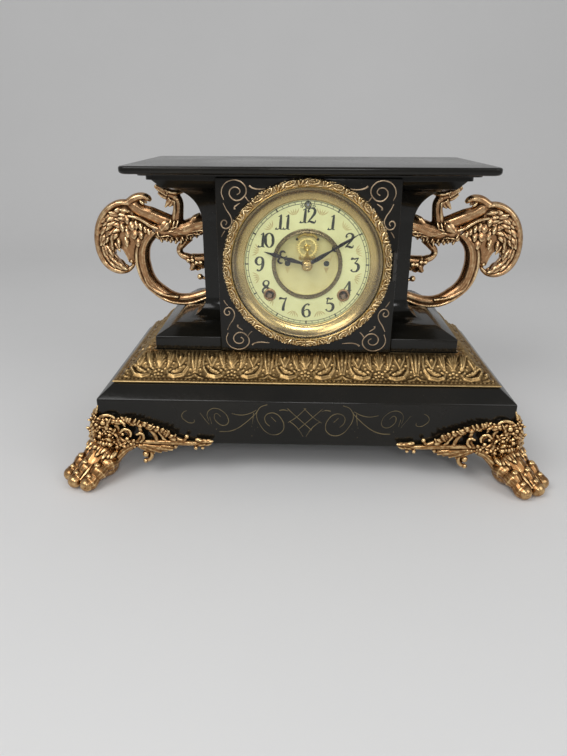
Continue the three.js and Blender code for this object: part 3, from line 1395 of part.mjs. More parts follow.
class GongPath extends THREE.Curve {
  getPoint(t, target = new THREE.Vector3()) {
    const angle = -Math.PI / 2 - 2 * Math.PI * gongTurns * (1 - t);
    const radius = gongInner + (gongOuter - gongInner) * t;
    return target.set(radius * Math.cos(angle), gongY, -gongDrop + radius * Math.sin(angle));
  }
}

function gong() {
  const path = new GongPath();
  const steps = 16 * gongTurns;
  const rows = [];
  for (let step = 0; step <= steps; step += 1) {
    rows.push(wireSection(path.getPoint(step / steps), path.getTangent(step / steps)));
  }
  const lead = new THREE.Vector3(gongLead - gongClearance, gongY, -gongDrop - gongOuter);
  rows.push(wireSection(lead, new THREE.Vector3(1, 0, 0)));
  return skin(rows);
}

function wireSection(middle, along) {
  const sides = 5;
  const across = new THREE.Vector3(0, 1, 0);
  const side = along.clone().cross(across).normalize();
  const row = [];
  for (let k = 0; k < sides; k += 1) {
    const angle = (2 * Math.PI * k) / sides;
    const point = middle.clone().addScaledVector(side, gongWireRadius * Math.cos(angle));
    row.push(point.addScaledVector(across, gongWireRadius * Math.sin(angle)).toArray());
  }
  return row;
}

function gongStand() {
  const floor = bodyBase - dialHeight;
  const wire = -gongDrop - gongOuter;
  const [y0, y1] = [gongY - gongStandDepth / 2, gongY + gongStandDepth / 2];
  const far = gongLead + gongStandWidth;
  const block = box(gongLead, far, y0, y1, floor, wire + 4);
  return block.add(box(gongLead - 3, far + 6, y0, y1, floor, floor + 2));
}

function strikeHammer() {
  const pivotZ = -hammerPivotDrop;
  const headZ = -gongDrop;
  const pitch = (gongOuter - gongInner) / gongTurns;
  const gongEdge = gongOuter - pitch * 0.75 + gongWireRadius;
  const headX = gongEdge + hammerGap + hammerHeadLength / 2;
  const arbor = barY(hammerArborRadius, backPlateFront - 2, gongY + 3, hammerPivotX, pivotZ, 10);
  const wire = hammerArborRadius;
  const arm = limb([
    [hammerPivotX, gongY, pivotZ, wire, wire], [hammerPivotX, gongY, (pivotZ + headZ) / 2, wire, wire],
    [headX + 2, gongY, headZ - 1, wire, wire],
  ], new THREE.Vector3(0, 1, 0), 5, 6);
  const head = new THREE.CylinderGeometry(hammerHeadRadius, hammerHeadRadius, hammerHeadLength, 12);
  return join([arbor, arm, solid(head.rotateZ(Math.PI / 2).translate(headX, gongY, headZ))]);
}

works.add(
  piece('bezel', makeBrass(), bezel()),
  piece('bezel_hinge', makeBrass(), bezelHinge()),
  piece('dial_glass', finish(0xe8f0ee, 0.05, 0), glassDome()),
  piece('dial_surround', makeBrass(), dialSurround()),
  piece('dial_chapter_ring', makePaper(), chapterRing()),
  piece('dial_inner_ring', makeBrass(), innerRing()),
  piece('dial_centre_plate', makeIvory(), centrePlate()),
  piece('winding_eyelet_strike', makeBrass(), windingEyelet(-windX)),
  piece('winding_eyelet_time', makeBrass(), windingEyelet(windX)),
  handAt('hour_hand', hourAngle, hourHand()),
  handAt('minute_hand', minuteAngle, minuteHand()),
  piece('hand_nut', makeBrass(), handNut()),
  piece('centre_arbor', makeSteel(), centreArbor()),
  piece('minute_wheel', makeBrass(), minuteWheel()),
  piece('hour_wheel', makeBrass(), hourWheel()),
  piece('movement_front_plate', makeBrass(), frontPlate()),
  piece('movement_rear_plate', makeBrass(), rearPlate()),
  piece('time_barrel', makeBrass(), barrel(windX, timeWheelPlane, timeDrum)),
  piece('strike_barrel', makeBrass(), barrel(-windX, strikeWheelPlane, strikeDrum)),
  piece('winding_arbor_time', makeSteel(), windingArbor(windX)),
  piece('winding_arbor_strike', makeSteel(), windingArbor(-windX)),
  piece('escape_wheel', makeBrass(), escapeWheel()),
  piece('pallets', makeBrass(), pallets()),
  piece('escapement_bridge', makeBrass(), escapementBridge()),
  piece('regulator_arbor', makeSteel(), regulatorArbor()),
  piece('suspension_cock', makeBrass(), suspensionCock()),
  piece('suspension_spring', makeSteel(), suspensionSpring()),
  piece('pendulum_rod', makeSteel(), pendulumRod()),
  piece('pendulum_bob', makeBrass(), pendulumBob()),
  piece('gong', makeSteel(), gong()),
  piece('gong_stand', makeIron(), gongStand()),
  piece('strike_hammer', makeSteel(), strikeHammer()),
);

postPlaces().forEach(([x, z], k) => {
  works.add(piece(`movement_screw_${k + 1}`, makeSteel(), movementScrew(x, z)));
});

export default clock;
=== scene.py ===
import bmesh
import bpy
import math
import numpy as np
from mathutils import Matrix, Vector


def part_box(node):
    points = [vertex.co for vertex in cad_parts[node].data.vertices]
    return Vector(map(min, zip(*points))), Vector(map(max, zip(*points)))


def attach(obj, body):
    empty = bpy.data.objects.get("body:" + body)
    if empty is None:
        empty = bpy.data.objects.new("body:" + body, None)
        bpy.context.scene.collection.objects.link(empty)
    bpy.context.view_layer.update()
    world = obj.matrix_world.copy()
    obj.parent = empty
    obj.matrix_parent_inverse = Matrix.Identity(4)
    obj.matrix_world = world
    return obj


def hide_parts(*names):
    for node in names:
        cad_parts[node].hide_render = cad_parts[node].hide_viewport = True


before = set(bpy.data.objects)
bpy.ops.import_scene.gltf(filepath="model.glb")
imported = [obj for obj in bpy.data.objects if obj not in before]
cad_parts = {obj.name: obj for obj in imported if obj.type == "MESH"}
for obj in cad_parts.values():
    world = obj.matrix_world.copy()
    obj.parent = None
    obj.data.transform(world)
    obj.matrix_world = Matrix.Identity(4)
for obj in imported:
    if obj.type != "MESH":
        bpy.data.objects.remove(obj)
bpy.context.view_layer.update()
mm = 0.001
print("frame loaded", len(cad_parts), "nodes")


# bench tools: selecting, shaping, joining

def pickOnly(obj):
    if bpy.context.mode != "OBJECT":
        bpy.ops.object.mode_set(mode="OBJECT")
    bpy.ops.object.select_all(action="DESELECT")
    obj.select_set(True)
    bpy.context.view_layer.objects.active = obj


def openMesh(obj, mode="VERT"):
    pickOnly(obj)
    bpy.ops.object.mode_set(mode="EDIT")
    bpy.ops.mesh.select_mode(type=mode)
    bpy.ops.mesh.select_all(action="DESELECT")


def closeMesh():
    bpy.ops.object.mode_set(mode="OBJECT")


def chooseFaces(obj, wanted):
    shape = bmesh.from_edit_mesh(obj.data)
    for face in shape.faces:
        face.select_set(wanted(face.calc_center_median(), face.normal))
    bmesh.update_edit_mesh(obj.data)


def chooseEdges(obj, wanted):
    shape = bmesh.from_edit_mesh(obj.data)
    for edge in shape.edges:
        edge.select_set(wanted(edge.verts[0].co, edge.verts[1].co))
    bmesh.update_edit_mesh(obj.data)


def setInMesh(obj):
    pickOnly(obj)
    bpy.ops.object.transform_apply(location=True, rotation=True, scale=True)


def applyModifier(obj, kind, **values):
    pickOnly(obj)
    modifier = obj.modifiers.new(kind.title(), kind)
    for key, value in values.items():
        setattr(modifier, key, value)
    bpy.ops.object.modifier_apply(modifier=modifier.name)


def takeAll():
    bpy.ops.mesh.select_all(action="SELECT")


def mergeSeams(obj, distance=0.00001):
    openMesh(obj)
    takeAll()
    bpy.ops.mesh.remove_doubles(threshold=distance)
    bpy.ops.mesh.normals_make_consistent(inside=False)
    closeMesh()


def smoothUnder(obj, degrees=35):
    pickOnly(obj)
    bpy.ops.object.shade_smooth_by_angle(angle=math.radians(degrees))


def shadeAll(obj):
    pickOnly(obj)
    bpy.ops.object.shade_smooth()


def joinPieces(name, pieces):
    pickOnly(pieces[0])
    for piece in pieces:
        piece.select_set(True)
    bpy.ops.object.join()
    joined = bpy.context.view_layer.objects.active
    joined.name = name
    joined.data.name = name
    return joined


def copyOf(obj, name):
    twin = obj.copy()
    twin.data = obj.data.copy()
    twin.name = name
    twin.data.name = name
    bpy.context.scene.collection.objects.link(twin)
    return twin


def mirrorCopy(obj, name, across=(-1, 1, 1)):
    twin = copyOf(obj, name)
    pickOnly(twin)
    bpy.ops.transform.resize(value=across, center_override=(0, 0, 0))
    setInMesh(twin)
    openMesh(twin)
    takeAll()
    bpy.ops.mesh.normals_make_consistent(inside=False)
    closeMesh()
    return twin


def finishPiece(obj, body, slot, finish, *nodes):
    obj.data.materials.clear()
    obj.data.materials.append(finishes[finish])
    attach(obj, body)
    if nodes:
        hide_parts(*nodes)
    return obj


def blockOf(name, low, high):
    bpy.ops.object.select_all(action="DESELECT")
    middle = [(a + b) / 2 * mm for a, b in zip(low, high)]
    size = [(b - a) * mm for a, b in zip(low, high)]
    bpy.ops.mesh.primitive_cube_add(size=1, location=middle)
    obj = bpy.context.object
    obj.name = name
    obj.scale = size
    setInMesh(obj)
    return obj


def rodOf(name, radius, start, end, sides=32):
    bpy.ops.object.select_all(action="DESELECT")
    a = Vector(start) * mm
    b = Vector(end) * mm
    way = b - a
    turn = way.to_track_quat("Z", "Y").to_euler()
    bpy.ops.mesh.primitive_cylinder_add(
        vertices=sides, radius=radius * mm, depth=way.length, location=(a + b) / 2, rotation=turn)
    obj = bpy.context.object
    obj.name = name
    setInMesh(obj)
    return obj


def cutWith(obj, cutters):
    for cutter in cutters:
        applyModifier(obj, "BOOLEAN", operation="DIFFERENCE", solver="EXACT", object=cutter)
        bpy.data.objects.remove(cutter)


def lathe(name, profile, centre, steps=96):
    # profile: radius and depth (y) in mm, turned about the y line through centre
    bpy.ops.object.select_all(action="DESELECT")
    bpy.ops.mesh.primitive_plane_add(size=0.001)
    obj = bpy.context.object
    obj.name = name
    openMesh(obj)
    takeAll()
    bpy.ops.mesh.delete(type="VERT")
    shape = bmesh.from_edit_mesh(obj.data)
    ring = [shape.verts.new((centre[0] * mm + r * mm, y * mm, centre[1] * mm)) for r, y in profile]
    for a, b in zip(ring, ring[1:]):
        shape.edges.new((a, b))
    bmesh.update_edit_mesh(obj.data)
    takeAll()
    bpy.ops.mesh.spin(
        steps=steps, angle=math.tau, center=(centre[0] * mm, 0, centre[1] * mm), axis=(0, 1, 0))
    closeMesh()
    mergeSeams(obj)
    return obj


def tubeOf(name, points, radii, ring, steps):
    # a round limb through points in mm, thick and thin by its radii in mm
    curve = bpy.data.curves.new(name, "CURVE")
    curve.dimensions = "3D"
    curve.bevel_depth = mm
    curve.bevel_resolution = ring
    curve.resolution_u = steps
    curve.use_fill_caps = True
    spline = curve.splines.new("BEZIER")
    spline.bezier_points.add(len(points) - 1)
    for knot, place, radius in zip(spline.bezier_points, points, radii):
        knot.co = Vector(place) * mm
        knot.radius = radius
        knot.handle_left_type = "AUTO"
        knot.handle_right_type = "AUTO"
    obj = bpy.data.objects.new(name, curve)
    bpy.context.scene.collection.objects.link(obj)
    pickOnly(obj)
    bpy.ops.object.convert(target="MESH")
    obj = bpy.context.object
    obj.name = name
    return obj


def drawnTube(name, rows, place, ring, steps):
    # a tube through rows of (across, height, radius) in mm, put in space by the function place
    return tubeOf(name, [place(a, z) for a, z, _ in rows], [radius for _, _, radius in rows], ring, steps)


def pressFlat(obj, share, y):
    # thins a piece drawn round y = 0 to a share of its depth, and sets it at y in mm
    obj.data.transform(Matrix.Translation((0, y * mm, 0)) @ Matrix.Diagonal((1, share, 1, 1)))
    return obj


def lumpOf(name, size, place, turn=None, segments=10, rings=6):
    # a rounded lump with half sizes in mm
    bpy.ops.object.select_all(action="DESELECT")
    bpy.ops.mesh.primitive_uv_sphere_add(segments=segments, ring_count=rings, radius=mm)
    obj = bpy.context.object
    obj.name = name
    spread = Matrix.Diagonal((*size, 1))
    shift = Matrix.Translation(Vector(place) * mm)
    obj.data.transform(shift @ (turn.to_4x4() if turn else Matrix.Identity(4)) @ spread)
    return obj


# finishes: shared effects first

def newGroup(name, inputs, outputs):
    group = bpy.data.node_groups.new(name, "ShaderNodeTree")
    for label, kind, value in inputs:
        socket = group.interface.new_socket(name=label, in_out="INPUT", socket_type=kind)
        socket.default_value = value
    for label, kind in outputs:
        group.interface.new_socket(name=label, in_out="OUTPUT", socket_type=kind)
    entry = group.nodes.new("NodeGroupInput")
    leave = group.nodes.new("NodeGroupOutput")
    return group, entry, leave


def noiseIn(tree, scale, detail=4, roughness=0.55):
    noise = tree.nodes.new("ShaderNodeTexNoise")
    noise.inputs["Detail"].default_value = detail
    noise.inputs["Roughness"].default_value = roughness
    if isinstance(scale, (int, float)):
        noise.inputs["Scale"].default_value = scale
    else:
        tree.links.new(scale, noise.inputs["Scale"])
    place = tree.nodes.new("ShaderNodeTexCoord")
    tree.links.new(place.outputs["Object"], noise.inputs["Vector"])
    return noise.outputs["Fac"]


def spanIn(tree, value, low, high, toLow, toHigh):
    span = tree.nodes.new("ShaderNodeMapRange")
    for label, item in (("Value", value), ("From Min", low), ("From Max", high),
                        ("To Min", toLow), ("To Max", toHigh)):
        if isinstance(item, (int, float)):
            span.inputs[label].default_value = item
        else:
            tree.links.new(item, span.inputs[label])
    return span.outputs["Result"]


def blendIn(tree, share, first, second):
    blend = tree.nodes.new("ShaderNodeMix")
    blend.data_type = "RGBA"
    for socket, item in ((blend.inputs["Factor"], share), (blend.inputs["A"], first),
                         (blend.inputs["B"], second)):
        if isinstance(item, (int, float, tuple)):
            socket.default_value = item
        else:
            tree.links.new(item, socket)
    return blend.outputs["Result"]


def blotchGroup():
    # slow patches of another tone, with a fine grain for roughness and bump
    group, entry, leave = newGroup("patches", [
        ("Clean", "NodeSocketColor", (0.5, 0.5, 0.5, 1)),
        ("Aged", "NodeSocketColor", (0.3, 0.3, 0.3, 1)),
        ("Patch Scale", "NodeSocketFloat", 60.0),
        ("Grain Scale", "NodeSocketFloat", 900.0),
        ("Amount", "NodeSocketFloat", 0.5),
        ("Rough Low", "NodeSocketFloat", 0.2),
        ("Rough High", "NodeSocketFloat", 0.4),
    ], [("Color", "NodeSocketColor"), ("Roughness", "NodeSocketFloat"), ("Height", "NodeSocketFloat")])
    patches = noiseIn(group, entry.outputs["Patch Scale"])
    grain = noiseIn(group, entry.outputs["Grain Scale"], 2)
    share = spanIn(group, patches, 0.42, 0.68, 0.0, entry.outputs["Amount"])
    tone = blendIn(group, share, entry.outputs["Clean"], entry.outputs["Aged"])
    group.links.new(tone, leave.inputs["Color"])
    mixed = group.nodes.new("ShaderNodeMath")
    mixed.operation = "MULTIPLY"
    group.links.new(patches, mixed.inputs[0])
    group.links.new(grain, mixed.inputs[1])
    rough = spanIn(group, mixed.outputs["Value"], 0.12, 0.42, entry.outputs["Rough Low"],
                   entry.outputs["Rough High"])
    group.links.new(rough, leave.inputs["Roughness"])
    group.links.new(grain, leave.inputs["Height"])
    return group


def hollowGroup():
    # castings: darkened in the hollows as dirt and painted shade, and lightened on the high spots as a
    # painted highlight
    group, entry, leave = newGroup("castHollows", [
        ("Metal", "NodeSocketColor", (0.5, 0.5, 0.5, 1)),
        ("Hollow", "NodeSocketColor", (0.1, 0.1, 0.1, 1)),
        ("Painted Highlight", "NodeSocketColor", (0.8, 0.8, 0.8, 1)),
        ("Rough Metal", "NodeSocketFloat", 0.3),
        ("Rough Hollow", "NodeSocketFloat", 0.6),
    ], [("Color", "NodeSocketColor"), ("Roughness", "NodeSocketFloat"), ("Depth", "NodeSocketFloat")])
    mark = group.nodes.new("ShaderNodeAttribute")
    mark.attribute_name = "hollow"
    cloud = noiseIn(group, 220.0)
    jitter = spanIn(group, cloud, 0.3, 0.7, -0.12, 0.12)
    depth = group.nodes.new("ShaderNodeMath")
    depth.operation = "ADD"
    group.links.new(mark.outputs["Fac"], depth.inputs[0])
    group.links.new(jitter, depth.inputs[1])
    # the dark share paints shade, with dirt, into the hollows; the high share paints a highlight on the high
    # spots
    dark = spanIn(group, depth.outputs["Value"], 0.52, 0.85, 0.0, 1.0)
    high = spanIn(group, depth.outputs["Value"], 0.45, 0.15, 0.0, 1.0)
    paintedHighlight = blendIn(group, high, entry.outputs["Metal"], entry.outputs["Painted Highlight"])
    tone = blendIn(group, dark, paintedHighlight, entry.outputs["Hollow"])
    group.links.new(tone, leave.inputs["Color"])
    rough = spanIn(group, dark, 0.0, 1.0, entry.outputs["Rough Metal"], entry.outputs["Rough Hollow"])
    group.links.new(rough, leave.inputs["Roughness"])
    group.links.new(dark, leave.inputs["Depth"])
    return group


patchGroup = blotchGroup()
castGroup = hollowGroup()
grainDepth = 0.0002
castGrain = 1400.0
castBump = 0.12
enamelIor = 1.36


def newMaterial(name, metallic=0.0, **sockets):
    material = bpy.data.materials.new(name)
    material.use_nodes = True
    shader = material.node_tree.nodes["Principled BSDF"]
    shader.inputs["Metallic"].default_value = metallic
    for label, value in sockets.items():
        shader.inputs[label.replace("_", " ")].default_value = value
    return material, material.node_tree, shader


def placeGroup(tree, group, values):
    node = tree.nodes.new("ShaderNodeGroup")
    node.node_tree = group
    for label, value in values.items():
        node.inputs[label].default_value = value
    return node


def bumpFrom(tree, shader, height, strength):
    bump = tree.nodes.new("ShaderNodeBump")
    bump.inputs["Strength"].default_value = strength
    bump.inputs["Distance"].default_value = grainDepth
    tree.links.new(height, bump.inputs["Height"])
    tree.links.new(bump.outputs["Normal"], shader.inputs["Normal"])


def groupedMaterial(name, group, values, metallic):
    # colour and roughness come from a shared effect
    material, tree, shader = newMaterial(name, metallic)
    node = placeGroup(tree, group, values)
    tree.links.new(node.outputs["Color"], shader.inputs["Base Color"])
    tree.links.new(node.outputs["Roughness"], shader.inputs["Roughness"])
    return material, tree, shader, node


def patchyMaterial(name, values, metallic, bump):
    material, tree, shader, node = groupedMaterial(name, patchGroup, values, metallic)
    bumpFrom(tree, shader, node.outputs["Height"], bump)
    return material


def castMaterial(name, values):
    material, tree, shader, _ = groupedMaterial(name, castGroup, values, 1.0)
    bumpFrom(tree, shader, noiseIn(tree, castGrain, 3), castBump)
    return material


def tone(red, green, blue):
    # a screen colour, 0 to 255, made linear
    linear = []
    for part in (red, green, blue):
        share = part / 255
        linear.append(share / 12.92 if share <= 0.04045 else ((share + 0.055) / 1.055) ** 2.4)
    return (*linear, 1)


def patchLook(clean, aged, patchScale, grainScale, amount, roughLow, roughHigh):
    return {
        "Clean": tone(*clean), "Aged": tone(*aged), "Patch Scale": patchScale, "Grain Scale": grainScale,
        "Amount": amount, "Rough Low": roughLow, "Rough High": roughHigh}


def castLook(metal, hollow, paintedHighlight, roughMetal, roughHollow):
    # the second colour is dirt and painted shade for the hollows, the third a painted highlight for the high
    # spots
    return {
        "Metal": tone(*metal), "Hollow": tone(*hollow), "Painted Highlight": tone(*paintedHighlight),
        "Rough Metal": roughMetal, "Rough Hollow": roughHollow}


# clean and aged colour, patch scale, grain scale, amount, low and high roughness; then metallic and bump
patchyFinishes = {
    "blackEnamel": ((20, 19, 16), (31, 28, 23), 14.0, 420.0, 0.6, 0.1, 0.24, 0.0, 0.02),
    "dialBrass": ((198, 170, 114), (160, 132, 80), 40.0, 700.0, 0.5, 0.22, 0.36, 1.0, 0.04),
    "dialPaper": ((206, 204, 151), (188, 182, 126), 55.0, 1300.0, 0.45, 0.42, 0.6, 0.0, 0.03),
    "centreGold": ((202, 196, 142), (178, 168, 112), 60.0, 900.0, 0.55, 0.34, 0.5, 0.0, 0.04),
    "arborBrown": ((150, 122, 98), (98, 76, 58), 90.0, 900.0, 0.6, 0.3, 0.45, 0.9, 0.05),
    "dialInk": ((24, 28, 18), (44, 46, 30), 160.0, 1500.0, 0.5, 0.45, 0.65, 0.0, 0.02),
    "fadedPrint": ((178, 160, 104), (150, 126, 76), 220.0, 1500.0, 0.7, 0.45, 0.65, 0.0, 0.02),
    "bluedSteel": ((34, 33, 36), (58, 50, 44), 90.0, 900.0, 0.5, 0.24, 0.42, 0.7, 0.03),
    "workBrass": ((212, 176, 98), (150, 114, 56), 45.0, 800.0, 0.6, 0.24, 0.44, 1.0, 0.05),
    "workSteel": ((186, 186, 184), (130, 122, 110), 60.0, 900.0, 0.5, 0.22, 0.4, 1.0, 0.04),
    "gongBlue": ((62, 66, 84), (86, 70, 56), 70.0, 900.0, 0.6, 0.25, 0.42, 1.0, 0.04),
    "japanBlack": ((38, 36, 34), (62, 55, 47), 30.0, 500.0, 0.6, 0.35, 0.55, 0.0, 0.12),
    "lineGilt": ((196, 172, 142), (100, 84, 66), 110.0, 1500.0, 0.9, 0.3, 0.55, 0.8, 0.05),
    "lineWorn": ((122, 108, 76), (58, 52, 40), 70.0, 1500.0, 0.9, 0.35, 0.55, 0.5, 0.05),
    "ringBrass": ((128, 113, 82), (96, 82, 56), 60.0, 800.0, 0.5, 0.2, 0.34, 0.9, 0.04),
    "eyeletBrown": ((158, 124, 86), (112, 84, 56), 200.0, 1200.0, 0.6, 0.3, 0.45, 0.9, 0.04),
    "paleBrass": ((252, 230, 150), (226, 196, 112), 120.0, 1200.0, 0.5, 0.22, 0.36, 0.6, 0.03),
    "cockBrass": ((196, 168, 92), (146, 118, 60), 120.0, 1200.0, 0.6, 0.24, 0.38, 1.0, 0.03)}
# metal colour, the hollows' colour of dirt and painted shade, the high spots' painted highlight colour, then
# the roughness of the metal and of its hollows
castFinishes = {
    "copperGilt": ((172, 130, 92), (66, 45, 28), (252, 222, 172), 0.24, 0.55),
    "footGilt": ((150, 108, 67), (50, 32, 17), (246, 210, 152), 0.26, 0.58),
    "bandGilt": ((152, 123, 80), (54, 42, 26), (208, 178, 126), 0.34, 0.62),
    "bezelCast": ((198, 172, 126), (86, 67, 41), (255, 240, 204), 0.15, 0.55)}


def glassMaterial():
    material, tree, shader = newMaterial(
        "clearGlass", 0.0, Base_Color=(0.97, 1.0, 0.98, 1), Roughness=0.015, IOR=1.48,
        Transmission_Weight=1.0)
    smear = noiseIn(tree, 70.0, 3)
    tree.links.new(spanIn(tree, smear, 0.45, 0.75, 0.01, 0.06), shader.inputs["Roughness"])
    path = tree.nodes.new("ShaderNodeLightPath")
    clear = tree.nodes.new("ShaderNodeBsdfTransparent")
    either = tree.nodes.new("ShaderNodeMixShader")
    tree.links.new(path.outputs["Is Shadow Ray"], either.inputs["Fac"])
    tree.links.new(shader.outputs["BSDF"], either.inputs[1])
    tree.links.new(clear.outputs["BSDF"], either.inputs[2])
    tree.links.new(either.outputs["Shader"], tree.nodes["Material Output"].inputs["Surface"])
    return material


finishes = {"clearGlass": glassMaterial()}
for name, (*look, metallic, bump) in patchyFinishes.items():
    finishes[name] = patchyMaterial(name, patchLook(*look), metallic, bump)
for name, look in castFinishes.items():
    finishes[name] = castMaterial(name, castLook(*look))
finishes["blackEnamel"].node_tree.nodes["Principled BSDF"].inputs["IOR"].default_value = enamelIor
slotFinish = {
    "enamel": "blackEnamel", "gilt": "copperGilt", "band_gilt": "bandGilt", "bezel_brass": "dialBrass",
    "dial": "dialPaper", "dial_centre": "centreGold", "glass": "clearGlass", "blued_steel": "bluedSteel",
    "movement_brass": "workBrass", "steel": "workSteel", "gong_steel": "gongBlue", "back_iron": "japanBlack"}
print("finishes made", len(finishes))


# the case: black enamelled castings, each raised step by step from its plan

def faceAway(obj, point):
    inner = Vector(point) * mm
    lean = sum((face.center - inner).dot(face.normal) * face.area for face in obj.data.polygons)
    if lean < 0:
        openMesh(obj)
        takeAll()
        bpy.ops.mesh.flip_normals()
        closeMesh()


def planOf(name, box):
    # a flat rectangle, box is x low, x high, y low, y high, z in mm
    bpy.ops.object.select_all(action="DESELECT")
    bpy.ops.mesh.primitive_plane_add(
        size=1, location=((box[0] + box[1]) / 2 * mm, (box[2] + box[3]) / 2 * mm, box[4] * mm))
    obj = bpy.context.object
    obj.name = name
    obj.scale = ((box[1] - box[0]) * mm, (box[3] - box[2]) * mm, 1)
    setInMesh(obj)
    return obj


def raiseWalls(boxes):
    # the chosen edges go up from box to box and take each one's size
    for now, then in zip(boxes, boxes[1:]):
        bpy.ops.mesh.extrude_region_move(
            TRANSFORM_OT_translate={"value": (0, 0, (then[4] - now[4]) * mm)})
        middle = ((now[0] + now[1]) / 2 * mm, (now[2] + now[3]) / 2 * mm, then[4] * mm)
        spread = ((then[1] - then[0]) / (now[1] - now[0]), (then[3] - then[2]) / (now[3] - now[2]), 1)
        bpy.ops.transform.resize(value=spread, center_override=middle)
        shift = ((then[0] + then[1] - now[0] - now[1]) / 2 * mm,
                 (then[2] + then[3] - now[2] - now[3]) / 2 * mm, 0)
        bpy.ops.transform.translate(value=shift)


dialZ = (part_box("bezel")[0].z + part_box("bezel")[1].z) / 2 / mm  # height of the dial's middle
neck = {"half": 99.4, "front": 14.3, "back": 88.0}  # plan of the waist that every moulding stands out from
body = {
    "stepOut": 42.7, "stepTop": 122.8, "filletOut": 25.2, "filletTop": 131.8, "coveOut": 17.0,
    "waistFoot": 150.0, "waistHead": 223.0, "corniceCove": 30.0, "coveHead": 256.2, "corniceOut": 37.0,
    "wall": 4.0, "edge": 0.7, "coveSteps": 14, "filletLip": 0.7, "inside": 190}


def bodyProfile(foot, head):
    quarter = [math.pi / 2 * k / body["coveSteps"] for k in range(body["coveSteps"] + 1)]
    rise = body["waistFoot"] - body["filletTop"]
    lift = body["coveHead"] - body["waistHead"]
    profile = [(body["stepOut"], foot), (body["stepOut"], body["stepTop"]),
               (body["filletOut"], body["filletTop"])]
    lip = body["filletLip"]
    profile += [(body["coveOut"] * (1 - math.sin(t)),
                 body["filletTop"] + lip + (rise - lip) * (1 - math.cos(t)))
                for t in quarter]
    profile += [(body["corniceCove"] * (1 - math.cos(t)), body["waistHead"] + lift * math.sin(t))
                for t in quarter]
    profile += [(body["corniceOut"], head)]
    return profile


def makeSideCastings():
    low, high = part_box("side_casting_right")
    near = low.x / mm
    back = high.y / mm
    boxes = [(near, neck["half"] + out, -neck["front"] - out, back, z)
             for out, z in bodyProfile(low.z / mm, high.z / mm)]
    right = planOf("sideCastingRight", boxes[0])
    openMesh(right, "EDGE")
    chooseEdges(right, lambda a, b: max(a.x, b.x) < (near + 1) * mm or min(a.y, b.y) > (back - 1) * mm)
    bpy.ops.mesh.delete(type="EDGE")
    takeAll()
    raiseWalls(boxes)
    closeMesh()
    faceAway(right, (near, back, body["inside"]))
    applyModifier(right, "SOLIDIFY", thickness=body["wall"] * mm, offset=-1, use_even_offset=True)
    applyModifier(right, "BEVEL", width=body["edge"] * mm, segments=3, limit_method="ANGLE", angle_limit=0.6)
    smoothUnder(right, 30)
    left = mirrorCopy(right, "sideCastingLeft")
    smoothUnder(left, 30)
    finishPiece(right, "case", "enamel", "blackEnamel", "side_casting_right")
    finishPiece(left, "case", "enamel", "blackEnamel", "side_casting_left")


plinth = {
    "shoulder": 78.1, "tableFoot": 89.3, "bevelOut": 76.3, "bevelBack": 90.6, "tableOut": 72.4,
    "tableTopOut": 43.2, "slopeTop": 105.4, "wall": 5.0, "edge": 1.0, "bobHole": (-40, 40, 5, 31),
    "cutReach": 20, "inside": 60}


def makePlinth():
    low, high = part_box("base_plinth")
    half = high.x / mm
    front = low.y / mm
    foot = low.z / mm
    top = high.z / mm
    bevelHalf = neck["half"] + plinth["bevelOut"]
    tableHalf = neck["half"] + plinth["tableOut"]
    topHalf = neck["half"] + plinth["tableTopOut"]
    boxes = [
        (-half, half, front, -front, foot),
        (-half, half, front, -front, plinth["shoulder"]),
        (-bevelHalf, bevelHalf, -neck["front"] - plinth["bevelOut"], plinth["bevelBack"],
         plinth["tableFoot"]),
        (-tableHalf, tableHalf, -neck["front"] - plinth["tableOut"], neck["back"], plinth["tableFoot"]),
        (-topHalf, topHalf, -neck["front"] - plinth["tableTopOut"], neck["back"], plinth["slopeTop"]),
        (-topHalf, topHalf, -neck["front"] - plinth["tableTopOut"], neck["back"], top)]
    obj = planOf("plinth", boxes[0])
    openMesh(obj, "EDGE")
    takeAll()
    bpy.ops.mesh.delete(type="ONLY_FACE")
    takeAll()
    raiseWalls(boxes)
    bpy.ops.mesh.edge_face_add()
    closeMesh()
    faceAway(obj, (0, 0, plinth["inside"]))
    applyModifier(obj, "SOLIDIFY", thickness=plinth["wall"] * mm, offset=-1, use_even_offset=True)
    x0, x1, y0, y1 = plinth["bobHole"]
    reach = plinth["cutReach"]
    cutWith(obj, [blockOf("bobCutter", (x0, y0, top - reach), (x1, y1, top + reach))])
    applyModifier(obj, "BEVEL", width=plinth["edge"] * mm, segments=3, limit_method="ANGLE", angle_limit=0.5)
    smoothUnder(obj, 30)
    finishPiece(obj, "case", "enamel", "blackEnamel", "base_plinth")


slab = {
    "lipOut": 41.4, "lipTop": 267.2, "backOver": 4.3, "corner": 6.0, "cornerSteps": 6, "noseSteps": 5,
    "bedTop": 267.8, "bedIn": 12.6, "coveIn": 9.8, "plateFoot": 269.7, "under": 2.7, "over": 1.9,
    "underIn": 6, "bedStep": 0.4, "overFrom": 1, "backLean": 0.05}


